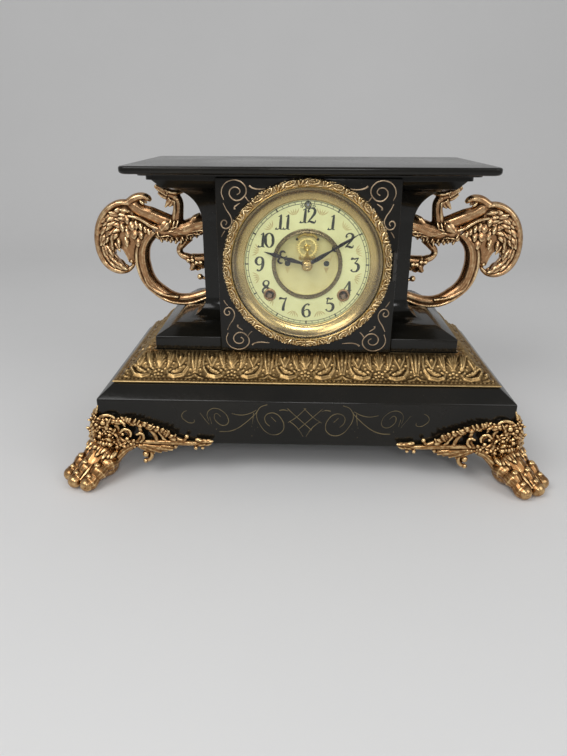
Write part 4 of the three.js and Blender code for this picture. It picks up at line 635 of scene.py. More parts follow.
def makeSlab():
    low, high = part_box("top_slab")
    foot = low.z / mm
    top = high.z / mm
    out = high.x / mm - neck["half"]
    lip = slab["lipOut"]
    nose = [math.pi / 2 * k / slab["noseSteps"] for k in range(slab["noseSteps"] + 1)]
    bed = out - slab["bedIn"]
    cove = slab["bedIn"] - slab["coveIn"]
    climb = slab["plateFoot"] - slab["bedTop"]
    under = slab["under"]
    over = slab["over"]
    profile = [
        (lip - slab["underIn"], foot), (lip, foot), (lip, slab["lipTop"]),
        (lip + slab["bedStep"], slab["bedTop"])]
    profile += [(bed + cove * (1 - math.cos(t)), slab["bedTop"] + climb * math.sin(t)) for t in nose]
    profile += [(out - under * (1 - math.sin(t)), slab["plateFoot"] + under * (1 - math.cos(t)))
                for t in nose]
    profile += [(out - over * (1 - math.cos(t)), top - over + over * math.sin(t)) for t in nose]
    boxes = []
    for reach, z in profile:
        half = neck["half"] + reach
        back = neck["back"] + (slab["backOver"] if reach > lip + slab["overFrom"] else 0)
        boxes.append((-half, half, -neck["front"] - reach, back - (out - reach) * slab["backLean"], z))
    obj = planOf("topSlab", boxes[0])
    openMesh(obj)
    takeAll()
    bpy.ops.mesh.bevel(offset=slab["corner"] * mm, segments=slab["cornerSteps"], affect="VERTICES")
    bpy.ops.mesh.select_mode(type="EDGE")
    takeAll()
    bpy.ops.mesh.delete(type="ONLY_FACE")
    takeAll()
    bpy.ops.mesh.edge_face_add()
    bpy.ops.mesh.select_all(action="DESELECT")
    chooseEdges(obj, lambda a, b: True)
    raiseWalls(boxes)
    bpy.ops.mesh.edge_face_add()
    closeMesh()
    mergeSeams(obj)
    smoothUnder(obj, 30)
    finishPiece(obj, "case", "enamel", "blackEnamel", "top_slab")


panel = {"cheek": 5.0, "hole": 64.0, "edge": 0.9, "cutFront": 5, "cutBack": 20}


def makeFrontPanel():
    low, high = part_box("front_panel")
    front = low.y / mm
    obj = blockOf("frontPanel", [v / mm for v in (low.x, low.y, low.z)], [high.x / mm, 0, high.z / mm])
    openMesh(obj, "FACE")
    chooseFaces(obj, lambda centre, normal: normal.y > 0.9)
    bpy.ops.mesh.delete(type="FACE")
    closeMesh()
    applyModifier(obj, "SOLIDIFY", thickness=panel["cheek"] * mm, offset=-1, use_even_offset=True)
    ahead = (0, front - panel["cutFront"], dialZ)
    behind = (0, front + panel["cutBack"], dialZ)
    cutWith(obj, [rodOf("holeCutter", panel["hole"], ahead, behind, 96)])
    applyModifier(obj, "BEVEL", width=panel["edge"] * mm, segments=3, limit_method="ANGLE", angle_limit=0.6)
    smoothUnder(obj, 30)
    finishPiece(obj, "case", "enamel", "blackEnamel", "front_panel")


makeSideCastings()
makePlinth()
makeSlab()
makeFrontPanel()
print("case castings made")


# relief: domed ridges on a sheet, worked out as a height for each point

def ridgeHeight(u, v, strokes):
    # a stroke is a row of (u, v, half width, height); the highest ridge wins
    height = np.zeros_like(u)
    for stroke in strokes:
        for (u0, v0, w0, h0), (u1, v1, w1, h1) in zip(stroke, stroke[1:]):
            du = u1 - u0
            dv = v1 - v0
            along = np.clip(((u - u0) * du + (v - v0) * dv) / (du * du + dv * dv + 1e-9), 0, 1)
            away = np.hypot(u - u0 - along * du, v - v0 - along * dv)
            wide = w0 + (w1 - w0) * along
            tall = h0 + (h1 - h0) * along
            height = np.maximum(height, tall * np.sqrt(np.clip(1 - (away / wide) ** 2, 0, 1)))
    return height


def bead(u, v, radius, tall):
    return [(u, v, radius, tall), (u + 0.01, v, radius, tall)]


def sheetMesh(name, places, closeAlong=False):
    # a grid of points (rows along, columns across, xyz in mm) made into one skin, closed across
    rows, columns, _ = places.shape
    verts = (places.reshape(-1, 3) * mm).tolist()
    faces = []
    for i in range(rows if closeAlong else rows - 1):
        for j in range(columns):
            a = i * columns + j
            b = i * columns + (j + 1) % columns
            c = ((i + 1) % rows) * columns + (j + 1) % columns
            d = ((i + 1) % rows) * columns + j
            faces.append((a, b, c, d))
    if not closeAlong:
        faces.append(tuple(range(columns - 1, -1, -1)))
        faces.append(tuple((rows - 1) * columns + j for j in range(columns)))
    mesh = bpy.data.meshes.new(name)
    mesh.from_pydata(verts, [], faces)
    obj = bpy.data.objects.new(name, mesh)
    bpy.context.scene.collection.objects.link(obj)
    mergeSeams(obj, 0.000005)
    return obj


def markHollows(obj, reach=5, gain=1.1):
    # stores how far each point lies below (1) or above (0) the surface round it; the cast finishes paint
    # shade and highlights by it
    mesh = obj.data
    count = len(mesh.vertices)
    place = np.zeros(count * 3)
    mesh.vertices.foreach_get("co", place)
    place = place.reshape(-1, 3)
    normal = np.zeros(count * 3)
    mesh.vertices.foreach_get("normal", normal)
    normal = normal.reshape(-1, 3)
    ends = np.zeros(len(mesh.edges) * 2, dtype=np.int64)
    mesh.edges.foreach_get("vertices", ends)
    ends = ends.reshape(-1, 2)
    degree = np.bincount(ends.ravel(), minlength=count).astype(float)
    degree[degree == 0] = 1
    average = place.copy()
    for _ in range(reach):
        total = np.zeros_like(average)
        np.add.at(total, ends[:, 0], average[ends[:, 1]])
        np.add.at(total, ends[:, 1], average[ends[:, 0]])
        average = 0.5 * average + 0.5 * total / degree[:, None]
    lift = ((average - place) * normal).sum(1)
    spread = np.percentile(np.abs(lift), 90) + 1e-9
    value = np.clip(0.5 + 0.4 * gain * lift / spread, 0, 1)
    store = mesh.attributes.get("hollow") or mesh.attributes.new("hollow", "FLOAT", "POINT")
    store.data.foreach_set("value", value.astype(np.float32))


# the gilt band: a cast ogee with a running pattern of palmettes and lilies

band = {
    "topOut": 44.0, "footOut": 76.3, "back": 87.7, "foot": 89.6, "top": 110.0, "lip": 4.3, "bead": 1.9,
    "repeat": 68.0, "step": 0.72, "acrossSteps": 54, "drawnHeight": 36.0, "sideShift": 12.0, "meanOut": 60,
    "topOver": 0.2, "footRoll": [(-4, 0.2), (-0.5, 0), (0.9, 0.3), (1.2, 1.0), (0.8, 1.7)], "sway": 0.1}


def bandMasses():
    # one half of the repeat, u from the palmette (0) to the lily (34), v up the face, mirrored by the caller
    masses = [
        [(0, 17.5, 2.4, 1.1), (0, 22, 4.6, 1.5), (0, 27, 5.0, 1.6), (0, 31, 3.4, 1.2)],
        [(7.6, 16.6, 1.4, 0.8), (9.2, 21.6, 3.0, 1.4), (10.2, 28, 3.5, 1.6), (10.6, 32.5, 2.3, 1.2)],
        [(19.4, 20.4, 1.4, 1.1), (19.3, 25, 2.5, 1.7), (19.2, 28.6, 1.7, 1.3)],
        [(14.6, 33.4, 1.1, 1.0), (15.4, 26, 1.4, 1.3), (19.3, 17.9, 1.8, 1.5), (23.2, 26, 1.4, 1.3),
         (24.2, 33.4, 1.1, 1.0)],
        [(34, 33.4, 1.6, 1.2), (34, 25, 2.2, 1.8), (34, 11.5, 1.1, 1.1)],
        [(29.4, 33.4, 1.5, 1.1), (30.5, 24, 1.7, 1.4), (32.8, 11, 1.0, 0.9)],
        [(26.6, 32.5, 1.1, 0.9), (27.3, 23, 1.4, 1.2), (26.2, 15, 1.7, 1.4), (22.0, 8.4, 2.2, 1.5),
         (15.0, 6.4, 2.4, 1.5), (9.8, 8.2, 2.0, 1.4), (7.9, 12.0, 1.5, 1.2), (10.4, 14.2, 1.2, 1.0)],
        [(13.0, 11.6, 1.6, 1.1), (17.4, 13.4, 2.1, 1.3), (22.4, 17.6, 1.5, 1.0)],
        [(34, 9.2, 1.1, 0.9), (30.4, 5.9, 1.3, 1.0), (26.0, 4.8, 1.0, 0.7)],
        bead(0, 34.2, 1.5, 1.2), bead(0, 13.6, 1.4, 0.9), bead(3.0, 12.4, 1.4, 0.9), bead(0, 9.8, 1.4, 0.9),
        bead(3.0, 8.9, 1.4, 0.9), bead(5.6, 6.8, 1.3, 0.8), bead(1.5, 5.9, 1.4, 0.9)]
    masses += [bead(3.78 * k, 2.4, 1.2, 0.8) for k in range(10)]
    return masses


def bandVeins():
    # the fine ribs and pebbles that ride on the masses
    return [
        [(0, 18.4, 0.6, 0.4), (0, 31.4, 0.75, 0.8)], [(0.6, 18.4, 0.6, 0.4), (2.4, 30.4, 0.75, 0.8)],
        [(1.0, 18.2, 0.6, 0.4), (4.1, 28.2, 0.75, 0.8)], [(1.2, 17.6, 0.6, 0.4), (5.2, 24.0, 0.7, 0.7)],
        [(7.8, 18, 0.6, 0.4), (8.0, 30.6, 0.8, 0.8)], [(9.0, 18.4, 0.6, 0.4), (10.3, 32.2, 0.8, 0.9)],
        [(10.0, 19.4, 0.6, 0.4), (12.7, 30.4, 0.8, 0.8)],
        [(26.4, 17, 0.6, 0.5), (22.0, 8.8, 0.7, 0.7), (15.0, 6.8, 0.7, 0.7), (10.2, 8.6, 0.6, 0.6)],
        [(25.0, 14.2, 0.6, 0.4), (21.0, 10.6, 0.6, 0.6), (16.0, 8.6, 0.6, 0.6)],
        [(34, 31.5, 0.6, 0.5), (34, 14, 0.5, 0.5)], [(30.0, 32.0, 0.6, 0.5), (31.0, 22, 0.6, 0.5)],
        bead(19.3, 26.2, 1.1, 0.7), bead(14.2, 12.4, 0.9, 0.6), bead(17.0, 13.9, 0.9, 0.6),
        bead(19.8, 15.7, 0.9, 0.6), bead(26.4, 29.5, 1.0, 0.7), bead(13.3, 20.4, 1.1, 0.9),
        bead(24.8, 20.6, 1.0, 0.8), bead(5.9, 14.9, 1.1, 0.9), bead(6.2, 32.0, 1.0, 0.8),
        bead(12.4, 16.9, 0.9, 0.8), bead(29.4, 14.6, 1.1, 0.8), bead(28.8, 9.6, 1.0, 0.7),
        bead(22.6, 31.0, 0.8, 0.6), bead(16.2, 31.0, 0.8, 0.6), bead(5.4, 20.0, 0.8, 0.7),
        bead(23.8, 13.4, 0.8, 0.6)]


def bandFace():
    # the ogee face from its foot up: out from the waist, height, and the way it faces
    foot = band["foot"] + band["bead"]
    rise = band["top"] - foot
    run = band["footOut"] - band["topOut"]
    share = np.linspace(0, 1, band["acrossSteps"])
    bend = share - band["sway"] * np.sin(2 * np.pi * share)
    out = band["footOut"] - run * share
    z = foot + rise * bend
    dOut = np.gradient(out)
    dZ = np.gradient(z)
    length = np.hypot(dOut, dZ)
    arc = np.concatenate([[0], np.cumsum((length[1:] + length[:-1]) / 2)])
    return out, z, dZ / length, -dOut / length, arc


def makeBand():
    out, z, faceOut, faceZ, arc = bandFace()
    vRow = arc / arc[-1] * band["drawnHeight"]
    backLine = [(band["topOut"] + band["topOver"], band["top"] - band["lip"])]
    backLine += [(band["footOut"] + away, band["foot"] + up) for away, up in band["footRoll"]]
    backLine = np.array(backLine)
    sideSteps = int((band["back"] + neck["front"] + band["meanOut"]) / band["step"])
    frontSteps = int(2 * (neck["half"] + band["meanOut"]) / band["step"])
    stations = [("left", k / sideSteps) for k in range(sideSteps)]
    stations += [("front", k / frontSteps) for k in range(frontSteps)]
    stations += [("right", k / sideSteps) for k in range(sideSteps + 1)]
    reach = np.concatenate([out, backLine[:, 0]])
    height = np.concatenate([z, backLine[:, 1]])
    frontY = -neck["front"] - reach
    rows = []
    for side, share in stations:
        if side == "front":
            x = (neck["half"] + reach) * (2 * share - 1)
            y = frontY
            u = x[:len(out)]
        else:
            travel = 1 - share if side == "left" else share
            y = frontY + (band["back"] - frontY) * travel
            x = (neck["half"] + reach) * (-1 if side == "left" else 1)
            u = y[:len(out)] - band["sideShift"]
        period = np.abs((u + band["repeat"] / 2) % band["repeat"] - band["repeat"] / 2)
        rows.append((side, x, y, period))
    uGrid = np.array([row[3] for row in rows])
    vGrid = np.tile(vRow, (len(rows), 1))
    lift = ridgeHeight(uGrid, vGrid, bandMasses()) + ridgeHeight(uGrid, vGrid, bandVeins())
    places = np.zeros((len(rows), len(out) + len(backLine), 3))
    for i, (side, x, y, _) in enumerate(rows):
        push = np.zeros(len(x))
        raised = np.zeros(len(x))
        push[:len(out)] = lift[i] * faceOut
        raised[:len(out)] = lift[i] * faceZ
        places[i, :, 0] = x + (push * (-1 if side == "left" else 1) if side != "front" else 0)
        places[i, :, 1] = y - (push if side == "front" else 0)
        places[i, :, 2] = height + raised
    obj = sheetMesh("giltBand", places)
    markHollows(obj, 4, 1.2)
    smoothUnder(obj, 60)
    finishPiece(obj, "case", "band_gilt", "bandGilt", "gilt_band")


makeBand()
print("band made")


# bezel: a cast leafy ring round the glass, with plain beads inside it

bezel = {
    "inner": 68.4, "outer": 74.6, "back": -60.3, "face": -65.2, "around": 1400, "across": 26,
    "clusters": 22, "seed": 5, "drawnRadius": 71.6, "turned": 0.45, "rimReach": 2.2, "rimStart": 1.2,
    "rimRun": 3.4, "rimOut": 1.4, "rimDrop": 3.0, "rimPush": 0.45, "rimEase": 0.6,
    # how far the castings of one cluster differ: in width, in place and in height
    "swell": (0.85, 1.15), "shift": (-0.4, 0.4), "tall": (0.85, 1.1),
    "bead": [(68.5, -60.6), (68.5, -65.7), (68.3, -66.4), (67.8, -66.7), (67.3, -66.4), (67.1, -65.8),
             (67.2, -65.4), (68.2, -65.2), (68.2, -60.6), (68.5, -60.6)],
    "knuckle": 1.8, "knuckleAt": (77, -62.1), "knuckleHalf": 6, "knuckleEdge": 0.3}
glass = {"thick": 2.0, "steps": 16}


def bezelStrokes():
    # leaf clusters that face this way and that, each a curled scroll with a fan of leaves and berries
    rng = np.random.default_rng(bezel["seed"])
    pitch = math.tau * bezel["drawnRadius"] / bezel["clusters"]
    cluster = [
        [(0.8, 1.6, 0.9, 1.4), (4.6, 1.2, 1.2, 2.0), (8.4, 2.4, 1.3, 2.3), (9.6, 4.8, 1.1, 2.1),
         (7.4, 5.8, 0.9, 1.8)],
        [(12.2, 1.2, 1.0, 1.5), (12.0, 4.0, 1.35, 2.4), (11.6, 7.4, 0.8, 1.7)],
        [(13.6, 1.0, 0.9, 1.4), (15.4, 3.6, 1.35, 2.4), (16.4, 7.0, 0.8, 1.7)],
        [(15.6, 0.8, 0.8, 1.2), (18.4, 2.0, 1.2, 2.0), (20.2, 4.4, 0.8, 1.5)],
        [(1.0, 4.2, 0.8, 1.4), (3.6, 5.6, 1.2, 2.0), (5.4, 8.0, 0.8, 1.5)],
        bead(5.2, 3.6, 1.2, 1.9), bead(19.4, 6.6, 1.3, 1.9), bead(1.0, 7.6, 1.1, 1.5),
        bead(8.8, 7.8, 0.9, 1.4)]
    strokes = []
    for k in range(bezel["clusters"]):
        turned = rng.random() < bezel["turned"]
        for stroke in cluster:
            swell = rng.uniform(*bezel["swell"])
            shift = rng.uniform(*bezel["shift"])
            strokes.append([
                (k * pitch + shift + (pitch - u if turned else u), v, w * swell,
                 h * rng.uniform(*bezel["tall"]))
                for u, v, w, h in stroke])
    return strokes


def makeBezel():
    turn = np.linspace(0, 2 * np.pi, bezel["around"], endpoint=False)
    width = bezel["outer"] - bezel["inner"]
    # across the face, then over the rounded rim
    vRow = np.linspace(0, width + bezel["rimReach"], bezel["across"])
    uGrid, vGrid = np.meshgrid(turn * bezel["drawnRadius"], vRow, indexing="ij")
    strokes = bezelStrokes()
    whole = 2 * np.pi * bezel["drawnRadius"]
    lift = np.maximum(ridgeHeight(uGrid, vGrid, strokes), ridgeHeight(uGrid + whole, vGrid, strokes))
    start = bezel["rimStart"]
    roll = np.clip(vRow - (width - start), 0, None) / bezel["rimRun"] * (math.pi / 2)
    radius = np.where(roll > 0, bezel["outer"] - start + bezel["rimOut"] * np.sin(roll),
                      bezel["inner"] + vRow)
    depth = np.where(roll > 0, bezel["face"] + bezel["rimDrop"] * (1 - np.cos(roll)), bezel["face"])
    lean = np.where(roll > 0, np.sin(roll), 0)
    places = np.zeros((len(turn), len(vRow) + 2, 3))
    r = radius[None, :] + lift * lean[None, :] * bezel["rimPush"]
    y = depth[None, :] - lift * (1 - bezel["rimEase"] * lean[None, :])
    r = np.concatenate([r, np.full((len(turn), 1), bezel["outer"]),
                        np.full((len(turn), 1), bezel["inner"])], axis=1)
    y = np.concatenate([y, np.full((len(turn), 2), bezel["back"])], axis=1)
    places[:, :, 0] = r * np.sin(turn)[:, None]
    places[:, :, 1] = y
    places[:, :, 2] = dialZ + r * np.cos(turn)[:, None]
    ring = sheetMesh("bezelRing", places, True)
    markHollows(ring, 3, 1.6)
    smoothUnder(ring, 60)
    finishPiece(ring, "bezel_door", "bezel_brass", "bezelCast", "bezel")
    rim = lathe("bezelBead", bezel["bead"], (0, dialZ), 128)
    smoothUnder(rim, 50)
    finishPiece(rim, "bezel_door", "bezel_brass", "dialBrass")
    across, deep = bezel["knuckleAt"]
    half = bezel["knuckleHalf"]
    knuckle = rodOf("bezelKnuckle", bezel["knuckle"], (across, deep, dialZ - half),
                    (across, deep, dialZ + half), 24)
    applyModifier(knuckle, "BEVEL", width=bezel["knuckleEdge"] * mm, segments=2, limit_method="ANGLE")
    smoothUnder(knuckle)
    finishPiece(knuckle, "bezel_door", "bezel_brass", "japanBlack")


def makeGlass():
    low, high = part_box("dial_glass")
    edge = high.x / mm
    back = high.y / mm
    thick = glass["thick"]
    rise = back - low.y / mm - thick
    share = [k / glass["steps"] for k in range(glass["steps"] + 1)]
    outer = [(edge * s, back - thick - rise * (1 - s * s)) for s in share]
    inner = [(edge * s, back - rise * (1 - s * s)) for s in reversed(share)]
    dome = lathe("dialGlass", outer + [(edge, back - thick / 2)] + inner, (0, dialZ), 96)
    smoothUnder(dome, 40)
    finishPiece(dome, "bezel_door", "glass", "clearGlass", "dial_glass")


makeBezel()
makeGlass()
print("bezel and glass made")


# dial: dished surround, chapter ring, print, centre and hands

dial = {
    "face": -56.0, "floor": -52.2, "ringInner": 28.4, "ringOuter": 60.4, "numberRadius": 42.6,
    "penSwell": 1.25, "numberHeight": 12.6, "drawnHeight": 13, "drawnMiddle": 6.5, "numberWide": 1.18,
    "digitStep": 6.6, "trackOuter": 55.1, "trackInner": 52.8, "lineHalf": 0.24, "hourHalf": 0.62,
    "hourOver": 0.5, "inkBack": -56.02, "inkFront": -56.09, "keyFront": -56.1, "keyRing": (2.2, 3.2),
    "keyRise": 51.7, "keyHole": 2.0, "flowerAt": 5.2, "flowerDrop": 1.2, "petal": (0.5, 1.5),
    "eyeletAt": 33.5, "eyeletRise": -28, "eyeletHole": 3.8, "peepAt": 17.5, "peepHole": 2.7, "pipeHole": 3.5,
    "escapeRise": 14.6, "escapeHole": 1.2, "palletRise": 26.0, "palletHole": 1.5, "cutFrom": -70,
    # the last two give the reach of the painted reflection band in the dish's cove and of the painted shadow
    # behind the escape wheel
    "cutTo": -40, "coveReflection": (61.2, 63.6), "wheelShadow": (9.0, 12.5)}


def ringTinted(name, look, metallic, bump, middle, reach, share, tint):
    # a patchy finish with another tint by the distance from a middle on the dial
    material, tree, shader, node = groupedMaterial(name, patchGroup, patchLook(*look), metallic)
    place = tree.nodes.new("ShaderNodeTexCoord")
    shift = tree.nodes.new("ShaderNodeVectorMath")
    shift.operation = "SUBTRACT"
    shift.inputs[1].default_value = (0, 0, middle * mm)
    flat = tree.nodes.new("ShaderNodeVectorMath")
    flat.operation = "MULTIPLY"
    flat.inputs[1].default_value = (1, 0, 1)
    away = tree.nodes.new("ShaderNodeVectorMath")
    away.operation = "LENGTH"
    tree.links.new(place.outputs["Object"], shift.inputs[0])
    tree.links.new(shift.outputs["Vector"], flat.inputs[0])
    tree.links.new(flat.outputs["Vector"], away.inputs[0])
    amount = spanIn(tree, away.outputs["Value"], reach[0] * mm, reach[1] * mm, share[0], share[1])
    tree.links.new(blendIn(tree, amount, node.outputs["Color"], tone(*tint)), shader.inputs["Base Color"])
    bumpFrom(tree, shader, node.outputs["Height"], bump)
    return material


# polished brass, with a painted dark brown reflection band in the cove next to the glass
dishLook = ((206, 179, 122), (174, 146, 94), 45.0, 700.0, 0.5, 0.16, 0.28)
finishes["dishBrass"] = ringTinted(
    "dishBrass", dishLook, 1.0, 0.03, dialZ, dial["coveReflection"], (0.0, 0.85), (128, 107, 74))
# gilt, darkened round the escape wheel's pivot as a painted shadow behind the wheel
centreLook = ((194, 184, 128), (172, 158, 100), 60.0, 900.0, 0.55, 0.34, 0.5)
finishes["centreWheelShadow"] = ringTinted(
    "centreWheelShadow", centreLook, 0.0, 0.04, dialZ + dial["escapeRise"], dial["wheelShadow"], (0.35, 0.0),
    (166, 150, 92))


def makeSurround():
    profile = [
        (67.0, -60.4), (67.0, -62.2), (66.6, -62.7), (65.7, -62.8), (65.0, -62.6), (64.4, -62.0),
        (63.6, -61.3), (62.6, -60.5), (61.5, -59.8), (60.3, -59.2), (59.1, -58.7), (58.2, -58.4),
        (57.4, -58.3), (56.8, -58.1), (56.3, -57.6), (56.1, -57.0), (56.1, -56.3), (59.0, -56.4),
        (62.6, -58.2), (63.2, -60.4), (67.0, -60.4)]
    ring = lathe("dialSurround", profile, (0, dialZ), 128)
    smoothUnder(ring, 40)
    finishPiece(ring, "case", "bezel_brass", "dishBrass", "dial_surround")


def dialCutter(radius, x, rise, sides=32):
    # a rod right through the dial, to cut a hole with
    height = dialZ + rise
    return rodOf("dialCutter", radius, (x, dial["cutFrom"], height), (x, dial["cutTo"], height), sides)


def makeChapterRing():
    low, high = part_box("dial_chapter_ring")
    face = low.y / mm
    back = high.y / mm
    inner = dial["ringInner"]
    outer = dial["ringOuter"]
    profile = [(inner, back), (inner, face), (40, face), (outer, face), (outer, back), (inner, back)]
    ring = lathe("chapterRing", profile, (0, dialZ), 128)
    holes = [dialCutter(dial["eyeletHole"], side * dial["eyeletAt"], dial["eyeletRise"]) for side in (-1, 1)]
    holes.append(dialCutter(dial["keyHole"], 0, dial["keyRise"]))
    cutWith(ring, holes)
    smoothUnder(ring, 30)
    finishPiece(ring, "case", "dial", "dialPaper", "dial_chapter_ring")
    trim = lathe("innerRing", [
        (28.0, -56.2), (28.0, -57.0), (28.5, -57.5), (29.2, -57.2), (30.0, -57.0), (30.9, -57.2),
        (31.5, -57.0), (31.7, -56.4), (31.6, -56.2), (28.0, -56.2)], (0, dialZ), 128)
    smoothUnder(trim, 50)
    finishPiece(trim, "case", "bezel_brass", "ringBrass", "dial_inner_ring")
    for side, name, node in ((-1, "eyeletLeft", "winding_eyelet_strike"),
                             (1, "eyeletRight", "winding_eyelet_time")):
        eyelet = lathe(name, [
            (3.3, -54.4), (3.3, -55.9), (3.6, -56.5), (4.1, -56.9), (4.7, -57.1), (5.3, -56.9), (5.7, -56.4),
            (5.8, -56.05), (5.4, -56.02), (4.2, -56.02), (3.75, -55.9), (3.75, -54.4), (3.3, -54.4)],
            (side * dial["eyeletAt"], dialZ + dial["eyeletRise"]), 40)
        smoothUnder(eyelet, 60)
        finishPiece(eyelet, "case", "bezel_brass", "eyeletBrown", node)


def makeCentre():
    plate = lathe("centrePlate", [
        (0.0, -52.2), (14, -52.2), (26.6, -52.2), (27.6, -52.5), (28.0, -53.2), (28.2, -54.4), (33, -54.4),
        (33, -53.4), (29.2, -53.4), (29, -51.2), (0.0, -51.2)], (0, dialZ), 96)
    mergeSeams(plate)
    holes = [dialCutter(dial["peepHole"], side * dial["peepAt"], 0, 40) for side in (-1, 1)]
    holes.append(dialCutter(dial["pipeHole"], 0, 0, 40))
    holes.append(dialCutter(dial["escapeHole"], 0, dial["escapeRise"], 24))
    holes.append(dialCutter(dial["palletHole"], 0, dial["palletRise"], 24))
    cutWith(plate, holes)
    smoothUnder(plate, 30)
    # its finish darkens the plate behind the escape wheel as a painted shadow
    finishPiece(plate, "case", "dial_centre", "centreWheelShadow", "dial_centre_plate")


# each figure is drawn with a broad pen: rows of (x, height, half width), heights to 13
figures = {
    "0": [[(0, 13, 0.35), (-2.2, 11, 0.85), (-2.9, 6.5, 1.15), (-2.2, 2, 0.85), (0, 0.1, 0.35),
           (2.2, 2, 0.85), (2.9, 6.5, 1.15), (2.2, 11, 0.85), (0, 13, 0.35)]],
    "1": [[(1.5, 13.2, 0.3), (1.1, 11, 0.8), (0.7, 6, 1.05), (0.4, 2, 1.0), (0.4, 0.4, 0.8)],
          [(1.5, 13.2, 0.3), (0.4, 12.2, 0.35), (-0.8, 11.2, 0.3)],
          [(0.2, 0.25, 0.3), (0.9, 0.4, 0.45), (2.0, 0.2, 0.3)],
          [(0.5, 2.2, 0.5), (-1.0, 0.5, 0.35), (-2.4, 0.4, 0.5), (-3.3, 1.1, 1.05)]],
    "2": [[(-1.9, 9.4, 0.95), (-2.5, 10.6, 0.6), (-1.6, 12.5, 0.45), (0.4, 13.1, 0.5), (2.4, 11.6, 0.95),
           (2.4, 9.2, 1.05), (0.6, 5.6, 0.75), (-2.4, 1.4, 0.4), (-3.0, 0.4, 0.35)],
          [(-3.0, 0.5, 0.35), (-1.6, 1.5, 0.7), (0.4, 0.9, 0.85), (2.2, 0.5, 0.7), (3.2, 1.6, 0.35)],
          [(3.2, 1.6, 0.5), (3.0, 2.6, 0.3)]],
    "3": [[(-2.7, 10.9, 0.4), (-2.3, 12.4, 0.75), (-0.6, 12.0, 0.55), (1.4, 12.4, 0.5), (2.8, 13.0, 0.35)],
          [(-3.2, 11.9, 0.35), (-1.4, 11.6, 0.35)],
          [(2.8, 13.0, 0.35), (1.2, 10, 0.4), (-0.2, 7.9, 0.4)],
          [(-0.2, 7.9, 0.35), (1.9, 7.4, 0.8), (3.0, 4.8, 1.15), (2.2, 1.6, 0.9), (0, 0.1, 0.45),
           (-2.0, 0.7, 0.5), (-2.6, 2.2, 0.95)]],
    "4": [[(1.3, 13.2, 0.45), (-0.6, 9, 0.5), (-3.2, 4.4, 0.4)],
          [(-3.3, 4.3, 0.4), (0, 4.3, 0.55), (3.4, 4.6, 0.4)],
          [(1.5, 13.2, 0.7), (1.6, 8, 1.05), (1.5, 2, 0.95), (1.4, 0.3, 0.7)],
          [(-0.2, 0.25, 0.3), (3.0, 0.25, 0.3)]],
    "5": [[(-2.2, 11.4, 0.45), (-1.4, 12.7, 0.75), (0.6, 12.0, 0.55), (2.6, 12.9, 0.4)],
          [(-2.9, 12.4, 0.35), (-1.0, 11.8, 0.35)],
          [(-1.6, 11.8, 0.5), (-2.0, 9.4, 0.5), (-2.2, 7.2, 0.4)],
          [(-2.2, 7.2, 0.4), (0.2, 8.0, 0.6), (2.5, 6.4, 1.05), (2.8, 3.6, 1.15), (1.4, 0.7, 0.75),
           (-0.8, 0.1, 0.45), (-2.4, 1.0, 0.5), (-2.7, 2.2, 0.9)]],
    "6": [[(2.3, 11.4, 0.9), (1.6, 12.7, 0.5), (-0.4, 12.0, 0.6), (-2.4, 8.4, 1.0), (-2.7, 4.2, 1.15),
           (-1.4, 0.8, 0.75), (0.4, 0.1, 0.4), (2.4, 1.8, 0.85), (2.7, 4.6, 1.05), (1.4, 7.2, 0.6),
           (-0.6, 7.0, 0.4), (-2.2, 5.0, 0.35)]],
    "7": [[(-2.9, 11.0, 0.4), (-2.4, 12.5, 0.75), (-0.8, 12.2, 0.6), (1.0, 11.8, 0.6), (2.8, 12.9, 0.4)],
          [(-3.3, 12.0, 0.35), (-1.4, 11.4, 0.35)],
          [(2.8, 12.9, 0.4), (1.4, 9, 0.6), (0.4, 5, 0.95), (0.0, 1.2, 1.15), (0.1, 0.3, 0.8)],
          [(-1.0, 0.5, 0.35), (1.1, 0.5, 0.35)]],
    "8": [[(0.4, 6.9, 0.9), (-1.8, 8.8, 0.85), (-1.9, 11.2, 0.7), (0.2, 13, 0.4), (2.1, 11.6, 0.7),
           (1.8, 9.2, 0.6), (0, 7, 0.9), (-2.2, 4.8, 0.7), (-2.6, 2.4, 0.8), (-0.4, 0.1, 0.4),
           (2.3, 1.6, 0.8), (2.5, 4.2, 0.95), (0.4, 6.9, 0.9)]],
    "9": [[(2.2, 7.8, 0.35), (0.6, 5.9, 0.4), (-1.6, 6.2, 0.65), (-2.7, 8.8, 1.1), (-1.8, 11.8, 0.8),
           (0.4, 13, 0.4), (2.3, 11.6, 0.85), (2.7, 8, 1.15), (2.2, 4, 1.0), (0.6, 0.8, 0.6),
           (-1.2, 0.3, 0.5), (-1.9, 1.5, 0.9)]]}


def inkStroke(points, thick=0.09):
    # a pen stroke laid flat on the dial: x, z in mm from the dial's middle, with half widths
    return pressFlat(drawnTube("ink", points, lambda x, z: (x, 0, dialZ + z), 2, 8), thick, dial["face"])


def drawNumbers():
    ink = []
    scale = dial["numberHeight"] / dial["drawnHeight"]
    for hour in range(1, 13):
        angle = math.radians(30 * hour)
        middleX = dial["numberRadius"] * math.sin(angle)
        middleZ = dial["numberRadius"] * math.cos(angle)
        digits = str(hour)
        for place, digit in enumerate(digits):
            shift = (place - (len(digits) - 1) / 2) * dial["digitStep"]
            for stroke in figures[digit]:
                ink.append(inkStroke([
                    (middleX + scale * (dial["numberWide"] * x + shift),
                     middleZ + scale * (z - dial["drawnMiddle"]), dial["penSwell"] * scale * w)
                    for x, z, w in stroke]))
    return ink


def flatRing(name, near, far, front, rise, steps):
    # a thin printed ring
    back = dial["inkBack"]
    return lathe(name, [(near, back), (near, front), (far, front), (far, back)], (0, dialZ + rise), steps)


